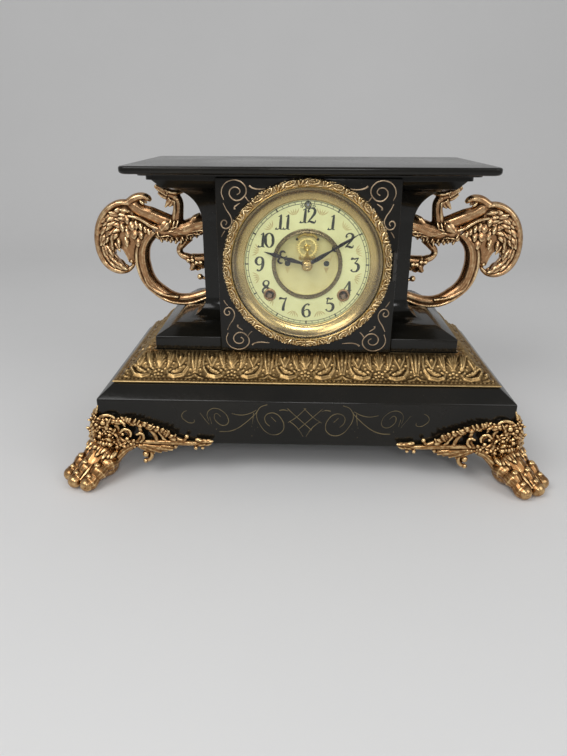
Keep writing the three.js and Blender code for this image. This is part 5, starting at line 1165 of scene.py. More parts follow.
def drawTrack():
    half = dial["lineHalf"]
    front = dial["inkFront"]
    ink = [flatRing("trackLine", radius - half, radius + half, front, 0, 160)
           for radius in (dial["trackOuter"], dial["trackInner"])]
    for minute in range(60):
        onHour = minute % 5 == 0
        wide = dial["hourHalf"] if onHour else half
        over = dial["hourOver"] if onHour else 0
        tick = blockOf("tick", (-wide, front, dial["trackInner"] - over),
                       (wide, dial["inkBack"], dial["trackOuter"] + over))
        turn = Matrix.Rotation(math.radians(6 * minute), 4, "Y")
        tick.data.transform(Matrix.Translation((0, 0, dialZ * mm)) @ turn)
        ink.append(tick)
    return ink


def drawSettingHole():
    # a ring round the setting hole, and a small flower each side of it
    near, far = dial["keyRing"]
    ink = [flatRing("keyRing", near, far, dial["keyFront"], dial["keyRise"], 40)]
    start, tip = dial["petal"]
    height = dial["keyRise"] - dial["flowerDrop"]
    for side in (-1, 1):
        middle = side * dial["flowerAt"]
        for turn in range(5):
            angle = math.tau * turn / 5
            ink.append(inkStroke([
                (middle + start * math.cos(angle), height + start * math.sin(angle), 0.3),
                (middle + tip * math.cos(angle), height + tip * math.sin(angle), 0.5)]))
    return ink


def makePrint():
    ink = drawNumbers() + drawTrack() + drawSettingHole()
    # a dark disc in each peep hole, in the ink's finish, is painted shade where the holes look into the case
    dark = [(0, -51.6), (2.6, -51.6), (2.6, -51.4), (0, -51.4)]
    ink += [lathe("peepShade", dark, (side * dial["peepAt"], dialZ), 32) for side in (-1, 1)]
    printed = joinPieces("dialPrint", ink)
    smoothUnder(printed, 40)
    finishPiece(printed, "case", "dial", "dialInk")


# faded print: a fan between the numbers, drops under the peep holes and a sprig on the centre
ornament = {
    "leans": (-0.075, -0.035, 0.0, 0.035, 0.075),
    "fan": [(0.35, 44.8, 0.22), (1.0, 47.2, 0.5), (1.4, 49.6, 0.15)], "fanThick": 0.12, "dropThick": 0.1,
    "drop": [[(-2.2, -3.6, 0.3), (0, -4.2, 0.9), (2.2, -3.6, 0.3)],
             [(0, -4.0, 2.0), (0, -6.4, 1.2), (0, -8.8, 0.2)]],
    "sprig": [[(12, 1.6, 0.25), (14, 2.6, 0.5), (17, 3.6, 0.5), (19.5, 4.4, 0.6), (21.2, 3.4, 0.4),
               (20, 2.6, 0.3)],
              [(19.8, 3.6, 0.4), (21.6, 5.8, 0.4), (22.4, 8, 0.2)]]}


def makeOrnament():
    faded = []
    for half in range(12):
        angle = math.radians(30 * half + 15)
        for lean in ornament["leans"]:
            turned = [(angle + share * lean, radius, width) for share, radius, width in ornament["fan"]]
            faded.append(inkStroke([
                (radius * math.sin(turn), radius * math.cos(turn), width)
                for turn, radius, width in turned], ornament["fanThick"]))
    low = [[(side * dial["peepAt"] + x, z, width) for x, z, width in drop]
           for side in (-1, 1) for drop in ornament["drop"]]
    for points in low + ornament["sprig"]:
        stroke = inkStroke(points, ornament["dropThick"])
        stroke.data.transform(Matrix.Translation((0, (dial["floor"] - dial["face"]) * mm, 0)))
        faded.append(stroke)
    pale = joinPieces("fadedOrnament", faded)
    smoothUnder(pale, 40)
    finishPiece(pale, "case", "dial", "fadedPrint")


hands = {
    "thick": 0.8, "minuteTurn": 58.4, "minuteFront": -60.6, "hourTurn": 286.4, "hourFront": -58.2,
    "minute": [
        [(0, -3, 2.4), (0, 2, 2.3), (0, 6, 1.5), (0, 10, 1.95), (0, 15, 1.95), (0, 20, 1.35),
         (0, 24.5, 0.85), (0, 27, 1.15), (0, 30, 1.0), (0, 35, 1.55), (0, 40, 1.25), (0, 47, 0.7),
         (0, 53, 0.25)],
        [(-2.9, 28.2, 0.3), (-1.6, 27.2, 0.7), (0, 26.6, 0.9), (1.6, 27.2, 0.7), (2.9, 28.2, 0.3)]],
    "hour": [
        [(0, -3.6, 3.4), (0, 2, 3.2), (0, 6, 1.1), (0, 10, 1.6), (0, 15, 2.1), (0, 20, 1.1),
         (0, 23, 0.9), (0, 26, 1.6), (0, 30, 1.9), (0, 34, 1.0), (0, 40, 0.25)],
        [(-4.6, 21.4, 0.5), (-5.4, 23.4, 0.9), (-4.2, 25.6, 1.0), (-1.8, 25.4, 0.9), (0, 25, 1.0),
         (1.8, 25.4, 0.9), (4.2, 25.6, 1.0), (5.4, 23.4, 0.9), (4.6, 21.4, 0.5)],
        [(-2.6, 19.2, 0.35), (-1.2, 20.2, 0.7), (1.2, 20.2, 0.7), (2.6, 19.2, 0.35)]],
    "nut": [(0.0, -64.4), (1.0, -64.3), (1.6, -63.9), (2.4, -64.2), (3.6, -63.7), (4.5, -62.8), (4.9, -61.6),
            (5.0, -60.9), (0.0, -60.9)]}


def handFrom(name, angle, front, strokes):
    # a flat blued hand, drawn straight up and turned to its hour
    thick = hands["thick"]
    parts = []
    for points in strokes:
        part = drawnTube(name, points, lambda x, z: (x, 0, z), 3, 8)
        widest = max(width for _, _, width in points)
        part.data.transform(Matrix.Diagonal((1, 0.5 * thick / widest, 1, 1)))
        parts.append(part)
    hand = joinPieces(name, parts)
    turn = Matrix.Rotation(math.radians(angle), 4, "Y")
    hand.data.transform(Matrix.Translation((0, (front + thick / 2) * mm, dialZ * mm)) @ turn)
    smoothUnder(hand, 50)
    return hand


def makeHands():
    minute = handFrom("minuteHand", hands["minuteTurn"], hands["minuteFront"], hands["minute"])
    finishPiece(minute, "minute_train", "blued_steel", "bluedSteel", "minute_hand")
    hour = handFrom("hourHand", hands["hourTurn"], hands["hourFront"], hands["hour"])
    finishPiece(hour, "hour_train", "blued_steel", "bluedSteel", "hour_hand")
    nut = lathe("handNut", hands["nut"], (0, dialZ), 48)
    smoothUnder(nut, 50)
    finishPiece(nut, "minute_train", "bezel_brass", "dialBrass", "hand_nut")


makeSurround()
makeChapterRing()
makeCentre()
makePrint()
makeOrnament()
makeHands()
print("dial made")


# griffin handles: limbs, feathers and fringes, fused into one cast skin

griffin = {
    "plane": 30.0, "voxel": 0.72, "seed": 11, "webHalf": 3.2, "toeLifts": (-1.8, 1.4, -1.0),
    "frondLifts": (-3.0, 3.0, -4.5),
    # how far each kind of carving stands off the middle, and its half sizes
    "fanLift": 3.7, "fanLeaf": (2.4, 1.2, 5.4), "hangerLift": 5.0, "quillLift": 4.2, "fringeLift": 4.2,
    "lockLift": 7.4, "lockLeaf": (1.5, 1.3, 5.0), "scaleLift": 4.6, "scaleLeaf": (1.5, 1.2, 2.3),
    "furCount": 22, "furFrom": (-146, 205.5), "furStep": (2.1, 0.22), "furLift": 8.6,
    "furLeaf": (0.9, 1.0, 3.6),
    # thickness of each limb as a share of its width
    "limbs": {"tail": 1.08, "body": 0.95, "neck": 1.0, "snout": 0.9, "jaw": 1.0, "horn": 2.6,
              "arm": 0.82, "thumb": 1.2, "rim": 1.55, "tongue": 0.75, "leg": 1.15, "pawArm": 1.1,
              "ballStem": 1.2},
    # the same for limbs that lie on both faces, with how far they stand off the middle
    "faceLimbs": {"beardA": (0.8, 2.2), "beardB": (0.8, 3.0), "tailRidge": (1.2, 4.2),
                  "tailGroove": (1.0, 6.0), "armRidge": (1.1, 5.2)},
    "locks": [(-138.0, 215.4), (-134.4, 214.0), (-130.6, 214.6)], "ball": (-111.3, 159.8),
    "shoulder": (-140.2, 216.4), "scaleStep": 3.1,
    "tail": [(-156.0, 207.0, 6.0), (-165.9, 195.5, 6.6), (-169.2, 183.3, 6.8), (-168.4, 169.1, 7.0),
             (-163.5, 154.8, 7.0), (-152.3, 143.8, 6.7), (-138.3, 137.2, 5.6), (-124.7, 136.6, 5.2),
             (-113.6, 139.3, 4.9), (-99.0, 144.6, 4.6)],
    "tailRidge": [(-173.0, 193.7, 1.6), (-175.4, 183.2, 2.0), (-174.7, 169.1, 2.1), (-169.4, 154.3, 2.2),
                  (-159.5, 143.4, 2.2), (-147.4, 135.3, 2.0), (-134.1, 131.9, 1.9), (-120.4, 132.6, 1.7),
                  (-101.0, 139.6, 1.4)],
    "tailGroove": [(-169.5, 166.0, 1.2), (-165.1, 152.1, 1.6), (-158.4, 146.2, 1.8), (-148.8, 141.2, 1.8),
                   (-134.2, 138.6, 1.4)],
    "body": [(-154.0, 208.0, 6.4), (-144.0, 207.4, 9.0), (-133.6, 207.4, 9.6), (-123.2, 208.6, 9.8),
             (-112.4, 212.6, 9.4), (-98.0, 216.0, 8.8)],
    "neck": [(-132.5, 211.1, 7.4), (-131.4, 220.3, 6.2), (-130.0, 228.6, 5.4), (-129.8, 236.1, 5.2),
             (-132.3, 241.6, 4.8)],
    "snout": [(-130.5, 241.2, 4.9), (-137.1, 243.6, 5.0), (-143.7, 246.5, 4.0), (-148.9, 249.4, 3.0),
              (-152.4, 251.4, 1.7)],
    "jaw": [(-133.2, 239.3, 3.3), (-139.1, 239.7, 2.6), (-144.6, 241.0, 1.9), (-149.4, 244.6, 1.2)],
    "beardA": [(-136.4, 239.0, 3.6), (-139.4, 235.0, 2.8), (-143.0, 230.6, 0.7)],
    "beardB": [(-133.4, 237.6, 2.8), (-135.8, 234.2, 2.1), (-138.6, 231.6, 0.9)],
    "horn": [(-141.0, 247.4, 1.7), (-136.0, 245.6, 2.7), (-129.8, 245.2, 3.0), (-121.4, 246.6, 1.0)],
    "arm": [(-139.6, 216.6, 7.0), (-149.6, 220.0, 7.8), (-158.3, 223.4, 7.9), (-166.6, 226.4, 7.2),
            (-173.9, 231.2, 6.6), (-180.0, 234.2, 4.6)],
    "armRidge": [(-181.0, 222.4, 1.2), (-170.6, 220.2, 1.6), (-164.0, 216.8, 1.9), (-157.4, 212.6, 2.2),
                 (-150.7, 209.9, 1.7)],
    "thumb": [(-180.7, 234.2, 4.4), (-171.9, 239.4, 4.6), (-164.6, 240.6, 4.2), (-159.6, 239.0, 3.3),
              (-157.0, 236.6, 1.6)],
    "rim": [(-175.5, 233.6, 3.0), (-187.3, 234.6, 3.6), (-196.4, 231.3, 3.8), (-204.9, 224.2, 4.0),
            (-210.8, 214.8, 4.1), (-214.2, 203.8, 4.0), (-214.8, 193.3, 4.0), (-213.0, 182.7, 4.1),
            (-207.8, 173.0, 4.2), (-199.5, 166.9, 3.9), (-190.7, 165.5, 3.2), (-184.2, 168.2, 2.4),
            (-180.7, 173.1, 1.8), (-182.6, 176.0, 1.5)],
    "tongue": [(-188.2, 200.0, 4.2), (-186.3, 190.2, 5.0), (-183.0, 181.6, 4.4), (-179.6, 174.4, 2.6)],
    "leg": [(-120.0, 201.0, 4.6), (-127.0, 194.0, 3.8), (-131.2, 188.2, 3.4), (-129.1, 182.9, 3.3),
            (-123.9, 180.6, 4.2), (-118.8, 177.6, 5.2), (-116.0, 172.6, 4.4)],
    "pawArm": [(-118.8, 178.6, 5.6), (-110.6, 178.8, 5.4), (-98.0, 181.0, 4.6)],
    "palm": [((8.2, 5.6, 6.2), (-115.2, 176.6)), ((5.2, 5.4, 4.6), (-119.6, 178.6)),
             ((5.6, 5.2, 4.8), (-110.4, 174.8))],
    "throat": [(-135.2, 212.4, 1.5), (-134.2, 219.6, 1.9), (-132.6, 228.6, 1.8), (-132.2, 237.2, 1.3)],
    "toes": [[(-116.4, 174.4, 4.4), (-118.0, 170.2, 3.8), (-121.0, 167.4, 1.6)],
             [(-111.6, 174.2, 4.2), (-112.6, 169.8, 3.7), (-115.2, 166.6, 1.5)],
             [(-107.4, 175.6, 3.8), (-107.6, 171.6, 3.2), (-109.2, 168.8, 1.4)]],
    "ballStem": [(-111.3, 159.8, 1.4), (-98.5, 155.8, 2.0)],
    "fronds": [[(-118.6, 213.6, 3.9), (-112.6, 220.9, 3.2), (-107.6, 225.2, 1.0)],
               [(-111.5, 216.3, 3.8), (-106.0, 221.5, 2.9), (-100.3, 226.6, 1.2)],
               [(-116.5, 205.3, 3.4), (-108.0, 206.5, 2.8), (-99.3, 209.6, 1.8)]],
    "web": [(-177.3, 231.6), (-192.0, 230.7), (-205.9, 221.5), (-212.1, 205.4), (-212.8, 191.6),
            (-209.1, 177.6), (-198.4, 168.9), (-189.6, 168.0), (-193.0, 174.4), (-199.2, 184.0),
            (-193.3, 192.1), (-187.9, 184.9), (-184.5, 174.8), (-179.2, 174.4), (-173.2, 191.9),
            (-165.3, 201.5), (-157.7, 209.2), (-167.3, 219.2), (-175.6, 222.5)],
    "fan": (-184.6, 200.5), "fanRings": [10.5, 14.8, 19.0, 23.2, 26.8], "fanTurn": (88, 232),
    "hangers": [(-181.9, 218.6, 3.2, 4.8), (-177.7, 212.4, 4.0, 5.2), (-176.3, 205.4, 5.0, 6.4),
                (-172.9, 197.0, 3.6, 6.2), (-168.9, 204.2, 3.3, 5.6), (-184.2, 196.6, 2.8, 5.6),
                (-172.9, 213.6, 2.9, 4.6), (-168.3, 211.7, 2.7, 4.2), (-182.6, 205.6, 3.2, 5.2),
                (-164.1, 208.8, 2.7, 3.8), (-160.4, 206.8, 2.5, 3.6), (-187.2, 211.0, 3.0, 4.8)],
    "quills": [(-206.6, 188.0, -74, 6.5), (-202.8, 187.4, -62, 5.6), (-206.6, 180.6, -62, 7.4),
               (-202.2, 180.6, -54, 7.2), (-203.2, 174.6, -46, 7.6), (-198.2, 176.6, -50, 7.0),
               (-197.4, 171.4, -32, 7.4), (-193.8, 173.4, -46, 5.4), (-209.0, 186.4, -76, 7.0),
               (-190.4, 169.4, -20, 5.4)],
    "fringe": [(-152.3, 200.7), (-148.1, 198.2), (-143.2, 199.2), (-138.6, 197.4), (-133.4, 196.8),
               (-127.7, 197.4), (-122.8, 199.0), (-117.5, 201.4), (-112.6, 203.3), (-107.2, 205.6),
               (-102.4, 208.0)]}


def planeLimb(points, depth, lift=0.0):
    # a limb drawn in the griffin's plane; depth is its thickness as a share of its width
    return pressFlat(drawnTube("limb", points, lambda x, z: (x, 0, z), 6, 8), depth, griffin["plane"] + lift)


def makeLeafBlank():
    # one plump leaf, a unit long each way, with a pointed tip and a rib, copied for every feather
    bpy.ops.object.select_all(action="DESELECT")
    bpy.ops.mesh.primitive_uv_sphere_add(segments=10, ring_count=8, radius=1)
    blank = bpy.context.object
    blank.name = "leafBlank"
    for vert in blank.data.vertices:
        x, y, z = vert.co
        narrow = 1 - 0.45 * max(0, z) ** 1.5
        rib = 0.25 * max(0, 1 - abs(x) * 3) * (1 - z * z)
        vert.co = (x * narrow, y * (1 + rib) - 0.25 * max(0, z) ** 2, z)
    return blank


def leafAt(blank, place, way, outward, size, tilt=0.2):
    # size is half width, half thickness, half length; the tip points along way, the face looks outward
    along = Vector(way).normalized()
    face = Vector(outward)
    face = (face - along * face.dot(along)).normalized()
    along = (along * math.cos(tilt) + face * math.sin(tilt)).normalized()
    side = along.cross(face).normalized()
    face = side.cross(along)
    leaf = copyOf(blank, "leaf")
    turn = Matrix((side, -face, along)).transposed().to_4x4()
    spread = Matrix.Diagonal((size[0] * mm, size[1] * mm, size[2] * mm, 1))
    leaf.data.transform(Matrix.Translation(Vector(place) * mm) @ turn @ spread)
    return leaf


def webPlate(points, half, plane):
    # a flat web between the limbs
    bpy.ops.object.select_all(action="DESELECT")
    mesh = bpy.data.meshes.new("web")
    mesh.from_pydata([(x * mm, (plane - half) * mm, z * mm) for x, z in points], [],
                     [tuple(range(len(points)))])
    web = bpy.data.objects.new("web", mesh)
    bpy.context.scene.collection.objects.link(web)
    openMesh(web, "FACE")
    takeAll()
    bpy.ops.mesh.quads_convert_to_tris()
    bpy.ops.mesh.extrude_region_move(TRANSFORM_OT_translate={"value": (0, 2 * half * mm, 0)})
    takeAll()
    bpy.ops.mesh.normals_make_consistent(inside=False)
    closeMesh()
    return web


def frontDressing(blank):
    # what is carved on the griffin's front side: feathers, ribs, fringe and scales
    plane = griffin["plane"]
    front = (0, -1, 0)
    rng = np.random.default_rng(griffin["seed"])
    bits = []

    def addLeaf(place, way, size, tilt):
        bits.append(leafAt(blank, place, way, front, size, tilt))

    def addLump(name, size, place, lean=None):
        bits.append(lumpOf(name, size, place, Matrix.Rotation(lean, 3, "Y") if lean else None))

    fanX, fanZ = griffin["fan"]
    fanStart, fanEnd = griffin["fanTurn"]
    wide, thick, long = griffin["fanLeaf"]
    for row, radius in enumerate(griffin["fanRings"]):
        count = max(5, int(radius * 0.42))
        for k in range(count):
            share = (k + 0.5 * (row % 2) + rng.uniform(-0.3, 0.3)) / count
            turn = math.radians(fanStart + (fanEnd - fanStart) * share)
            out = radius + rng.uniform(-1.0, 1.0)
            x = fanX + out * math.cos(turn)
            z = fanZ + out * math.sin(turn)
            lean = 0.4 + rng.uniform(-0.3, 0.3)
            way = (-math.sin(turn) + lean * math.cos(turn), 0, math.cos(turn) + lean * math.sin(turn))
            grow = rng.uniform(0.8, 1.3)
            addLeaf((x, plane - griffin["fanLift"] - rng.uniform(0, 0.9), z), way,
                    (wide * grow, thick, long * rng.uniform(0.8, 1.2)), rng.uniform(0.12, 0.26))
    for k, (x, z, wide, long) in enumerate(griffin["hangers"]):
        way = (0.12 + 0.05 * (k % 3), 0, -1)
        addLeaf((x, plane - griffin["hangerLift"] - 0.5 * (k % 3), z), way, (wide, 1.5, long), 0.22)
    for k, (x, z, turn, long) in enumerate(griffin["quills"]):
        way = (math.cos(math.radians(turn)), 0, math.sin(math.radians(turn)))
        addLeaf((x, plane - griffin["quillLift"] - 0.4 * (k % 2), z), way, (2.5, 1.7, long), 0.12)
    for k, (x, z) in enumerate(griffin["fringe"]):
        sway = rng.uniform(-0.3, 0.5)
        addLeaf((x, plane - griffin["fringeLift"] - (k % 2), z + 1.2), (sway, 0, -1),
                (2.3, 1.9, 3.4 + k % 3 * 0.5), 0.1)
        addLeaf((x + 1.6, plane - 6.6, z + 3.4), (0.5, 0, -1), (1.6, 1.4, 3.4), 0.2)
    bits.append(planeLimb(griffin["throat"], 1.0, -4.6))
    for x, z in griffin["locks"]:  # hair at the foot of the neck
        addLeaf((x, plane - griffin["lockLift"], z), (-0.35, 0, -1), griffin["lockLeaf"], 0.1)
    furX, furZ = griffin["furFrom"]
    stepX, stepZ = griffin["furStep"]
    for k in range(griffin["furCount"]):  # coarse fur along the flank
        x = furX + stepX * k + rng.uniform(-0.6, 0.6)
        z = furZ + stepZ * k + rng.uniform(-4.2, 5.2)
        addLeaf((x, plane - griffin["furLift"] + 0.06 * k, z), (1, 0, 0.2 + rng.uniform(-0.25, 0.25)),
                griffin["furLeaf"], 0.1)
    addLeaf((-142.6, plane - 8.8, 213.0), (-0.75, 0, -0.7), (5.0, 1.6, 6.6), 0.14)
    addLump("eye", (1.2, 1.1, 1.2), (-139.2, plane - 4.6, 244.8))
    addLump("brow", (2.6, 1.3, 1.0), (-139.0, plane - 4.3, 246.4), 0.4)
    for k in range(7):  # teeth and wrinkles along the muzzle
        addLump("muzzle", (0.9, 1.0, 1.5), (-140.5 - 1.5 * k, plane - 3.5 + 0.28 * k, 242.6 + 0.9 * k), 0.4)
    addLump("nostril", (1.2, 1.4, 1.0), (-150.4, plane - 1.6, 251.2))
    for k in range(4):
        addLump("knuckle", (2.9, 2.2, 2.6), (-121.4 + 4.2 * k, plane - 5.4, 177.8 - 1.2 * k + 1.4 * (k % 2)))
    addLump("knee", (2.6, 2.4, 2.4), (-131.4, plane - 2.0, 187.0))
    ridge = griffin["tailRidge"]
    for (x0, z0, _), (x1, z1, _) in zip(ridge, ridge[1:]):
        steps = max(2, int(math.hypot(x1 - x0, z1 - z0) / griffin["scaleStep"]))
        way = (x1 - x0, 0, z1 - z0)
        for k in range(steps):
            share = k / steps
            place = (x0 + (x1 - x0) * share, plane - griffin["scaleLift"], z0 + (z1 - z0) * share)
            addLeaf(place, way, griffin["scaleLeaf"], 0.3)
    addLump("thumbDrop", (3.2, 1.4, 1.6), (-165.0, plane - 5.2, 235.4), 0.6)
    addLump("scroll", (2.2, 2.6, 2.2), (-181.6, plane - 2.4, 175.8))
    return bits


casting = {"crumb": 200, "smoothing": 2}


def castSkin(name, pieces, voxel):
    # all the pieces become one closed skin, as poured metal, without the specks that close up inside it
    obj = joinPieces(name, pieces)
    obj.data.remesh_voxel_size = voxel * mm
    bpy.ops.object.voxel_remesh()
    openMesh(obj)
    takeAll()
    bpy.ops.mesh.separate(type="LOOSE")
    closeMesh()
    parts = list(bpy.context.selected_objects)
    kept = [part for part in parts if len(part.data.polygons) > casting["crumb"]]
    for part in parts:
        if part not in kept:
            bpy.data.objects.remove(part)
    obj = joinPieces(name, kept)
    applyModifier(obj, "SMOOTH", factor=0.5, iterations=casting["smoothing"])
    shadeAll(obj)
    return obj


def makeGriffins():
    blank = makeLeafBlank()
    plane = griffin["plane"]
    limbs = [planeLimb(griffin[name], depth) for name, depth in griffin["limbs"].items()]
    limbs.append(webPlate(griffin["web"], griffin["webHalf"], plane))
    limbs += [planeLimb(toe, 1.0, lift) for toe, lift in zip(griffin["toes"], griffin["toeLifts"])]
    limbs += [planeLimb(frond, 1.1, lift) for frond, lift in zip(griffin["fronds"], griffin["frondLifts"])]
    x, z = griffin["ball"]
    limbs.append(lumpOf("ball", (3.2, 3.2, 3.2), (x, plane, z), None, 16, 10))
    x, z = griffin["shoulder"]
    limbs.append(lumpOf("shoulder", (7.6, 6.2, 7.2), (x, plane, z), None, 24, 16))
    limbs += [lumpOf("palm", size, (x, plane, z), None, 16, 12) for size, (x, z) in griffin["palm"]]
    for side in (-1, 1):
        for name, (depth, lift) in griffin["faceLimbs"].items():
            limbs.append(planeLimb(griffin[name], depth, side * lift))
    dressing = joinPieces("dressing", frontDressing(blank))
    rear = pressFlat(copyOf(dressing, "rearDressing"), -1, 2 * plane)
    rear.data.flip_normals()
    left = castSkin("griffinLeft", limbs + [dressing, rear], griffin["voxel"])
    markHollows(left)
    right = mirrorCopy(left, "griffinRight")
    markHollows(right)
    bpy.data.objects.remove(blank)
    print("griffin faces", len(left.data.polygons))
    finishPiece(left, "case", "gilt", "copperGilt", "griffin_left")
    finishPiece(right, "case", "gilt", "copperGilt", "griffin_right")


makeGriffins()
print("griffins made")


# paw feet: knuckled toes, a leafy ankle and an openwork bracket along each face of the plinth

foot = {
    "corner": (-189.2, -104.1), "ahead": (-0.64, -0.77), "gap": 0.3, "voxel": 0.66, "seed": 23,
    "sideShare": 0.58, "heel": (15, 15, 9.5), "toes": [(-13.6, 20.0), (0.0, 24.0), (13.6, 20.0)],
    "toe": [(-23, 17.6, 6.0), (-16.6, 18.4, 8.1), (-11.6, 16.4, 6.2), (-5.6, 14.0, 8.1), (-1.0, 11.2, 6.1),
            (4.4, 7.6, 7.4), (7.4, 7.0, 6.6)],
    "domes": [(-16.0, 25.2, 3.4), (-5.2, 20.8, 3.5), (4.4, 13.8, 2.9)],
    "groove": [(-21, 22.6, 1.2), (-14, 22.4, 1.6), (-6, 18.8, 1.7), (1, 14.4, 1.6), (8, 9.4, 1.2)],
    "ankle": [(-14, 27, 11), (0, 22.5, 11), (12, 14.5, 10.5), (20, 8, 7)],
    "bossRadius": 9.0, "seatBase": 19.3, "seatTop": 34.2, "boltInset": 17.0, "boltHole": 2.7,
    "headHole": 5.2, "headTop": 21.3,
    # how far each kind of twig and pearl stands off the plinth
    "lifts": {"branch": 2.4, "stem": 2.4, "curl": 2.8, "web": 3.4}, "loopLift": 2.4, "lobeLift": (2.8, 0.4),
    "scrollLift": 4.2, "stalkLift": 3.0, "pearlLift": 5.2, "leafThick": 1.7,
    # rows round the ankle: how many and how wide, then how far they bow
    "ankleRow": (13, 38), "instepRow": (5, 26), "upperRow": (11, 32), "rowBow": 0.012,
    "branch": [(4, 53, 3.2), (10.6, 56.6, 2.7), (18.3, 58.6, 2.6), (25.9, 59.0, 2.5), (33.1, 56.8, 2.4),
               (40.5, 55.4, 2.4), (46.9, 53.6, 2.3), (53.3, 50.8, 2.3), (59.6, 48.2, 2.2), (65.0, 44.6, 2.2),
               (71.4, 41.0, 2.2), (80, 38.2, 1.8)],
    "stem": [(31, 37.4, 2.2), (41.7, 37.2, 2.3), (57.8, 37.0, 2.6), (72.0, 36.8, 2.9), (82.0, 36.4, 2.7),
             (90.0, 36.4, 2.2), (98.0, 37.4, 1.8)],
    "loops": [[(15.9, 54.7, 2.0), (18.8, 48.5, 2.0), (17.8, 42.1, 2.1), (22.7, 37.4, 2.2),
               (30.6, 38.0, 2.1)],
              [(38.1, 53.0, 1.9), (38.9, 43.6, 2.0), (36.1, 38.2, 2.1)],
              [(46.6, 51.4, 2.2), (51.0, 45.4, 2.3), (53.2, 38.4, 1.9)],
              [(60.0, 46.5, 1.7), (58.8, 42.0, 1.7), (61.8, 38.2, 1.7)],
              [(28.2, 41.6, 1.5), (26.8, 47.0, 1.7), (21.8, 47.4, 1.7), (20.2, 43.2, 1.5)]],
    "scrolls": [[(1.1, 60.8, 1.3), (5.4, 63.6, 1.6), (12.0, 64.4, 1.6), (16.7, 61.6, 1.3)],
                [(19.5, 46.6, 1.2), (25.0, 50.7, 1.5), (29.7, 47.4, 1.4), (29.2, 42.9, 1.1)],
                [(16.2, 43.8, 1.3), (19.3, 35.2, 1.8), (27.1, 32.2, 1.9), (32.6, 36.1, 1.4)],
                [(34.5, 45.2, 1.1), (39.6, 46.4, 1.6), (41.2, 42.0, 1.6), (37.8, 37.3, 1.2)],
                [(-4.4, 60.0, 1.1), (-0.5, 55.8, 1.6), (-3.6, 46.8, 1.4)]],
    "lobes": [[(34.0, 33.4, 1.7), (42.0, 30.2, 2.7), (50.4, 25.6, 1.2)],
              [(36.0, 33.6, 1.7), (47.0, 30.6, 2.9), (56.8, 26.8, 1.3)],
              [(38.0, 33.8, 1.7), (51.0, 31.0, 2.9), (62.4, 28.2, 1.3)],
              [(40.0, 34.0, 1.7), (55.0, 31.8, 2.8), (67.6, 29.8, 1.4)],
              [(42.0, 34.4, 1.5), (56.0, 33.2, 2.4), (71.0, 31.8, 1.5)]],
    "web": [(31.0, 33.4, 2.6), (25.0, 30.4, 3.6), (18.6, 25.2, 4.6), (12.0, 18.0, 5.4), (6.0, 11.4, 5.6)],
    "curl": [(47.0, 28.4, 1.9), (47.2, 23.0, 2.0), (44.6, 18.8, 2.0), (41.2, 17.4, 1.7)],
    "bud": [(96.0, 38.4, 1, 0.12, 2.9, 6.4), (95.0, 35.6, 1, 0.2, 2.5, 5.6), (92.4, 40.0, 1, -0.1, 2.1, 4.2),
            (101.0, 38.6, 1, 0.15, 2.6, 4.8), (100.0, 35.8, 1, 0.3, 2.0, 4.2)],
    "pearls": [(88.8, 31.8, 1.9, 3.2), (95.2, 32.2, 1.8, 3.2), (81.1, 43.6, 2.2, 3.0),
               (70.4, 33.4, 1.9, 3.4), (41.0, 17.4, 2.3, 3.0), (41.8, 24.6, 3.2, 2.8), (5.7, 57.6, 2.6, 5.6),
               (-0.5, 55.8, 1.9, 5.8), (2.4, 37.8, 2.3, 5.8), (5.1, 34.4, 2.0, 5.6), (10.8, 35.7, 2.4, 5.4),
               (16.0, 32.6, 2.2, 5.2), (1.1, 43.5, 2.1, 5.8), (10.3, 44.8, 2.0, 5.6), (22.4, 45.6, 1.6, 4.6),
               (26.0, 41.1, 2.0, 4.6), (55.4, 53.0, 1.9, 4.6)],
    "stalks": [[(81.3, 43.8, 1.2), (79.6, 40.6, 1.4), (77.4, 38.0, 1.6)],
               [(88.9, 31.6, 1.2), (88.2, 35.4, 1.4)], [(95.3, 32.0, 1.2), (94.4, 36.0, 1.4)],
               [(41.8, 24.4, 1.8), (43.0, 27.4, 1.9), (45.0, 30.2, 1.9)]],
    "corners": [(4, 61, 0.2), (-2, 55, 0.6), (-5.6, 46, 0.9), (-6.4, 37, 1.0)],
    "spike": [(-4.0, 40, 2.2), (-4.0, 54, 2.3), (-1.6, 64.0, 1.7), (0.6, 72.0, 0.7)],
    "heads": [(-3.1, 58.5), (-1.7, 49.1), (3.0, 41.4), (6.1, 60.0), (8.2, 51.5), (13.6, 37.6),
              (19.6, 34.5), (29.4, 35.8), (7.0, 46.2), (13.6, 46.6), (8.4, 39.6), (2.0, 53.0)],
    "sprigs": [(25.3, 61.4), (18.4, 60.3), (35.0, 57.8), (43.6, 56.6), (53.4, 52.8), (61.6, 49.6),
               (30.0, 59.6), (48.6, 54.6)]}


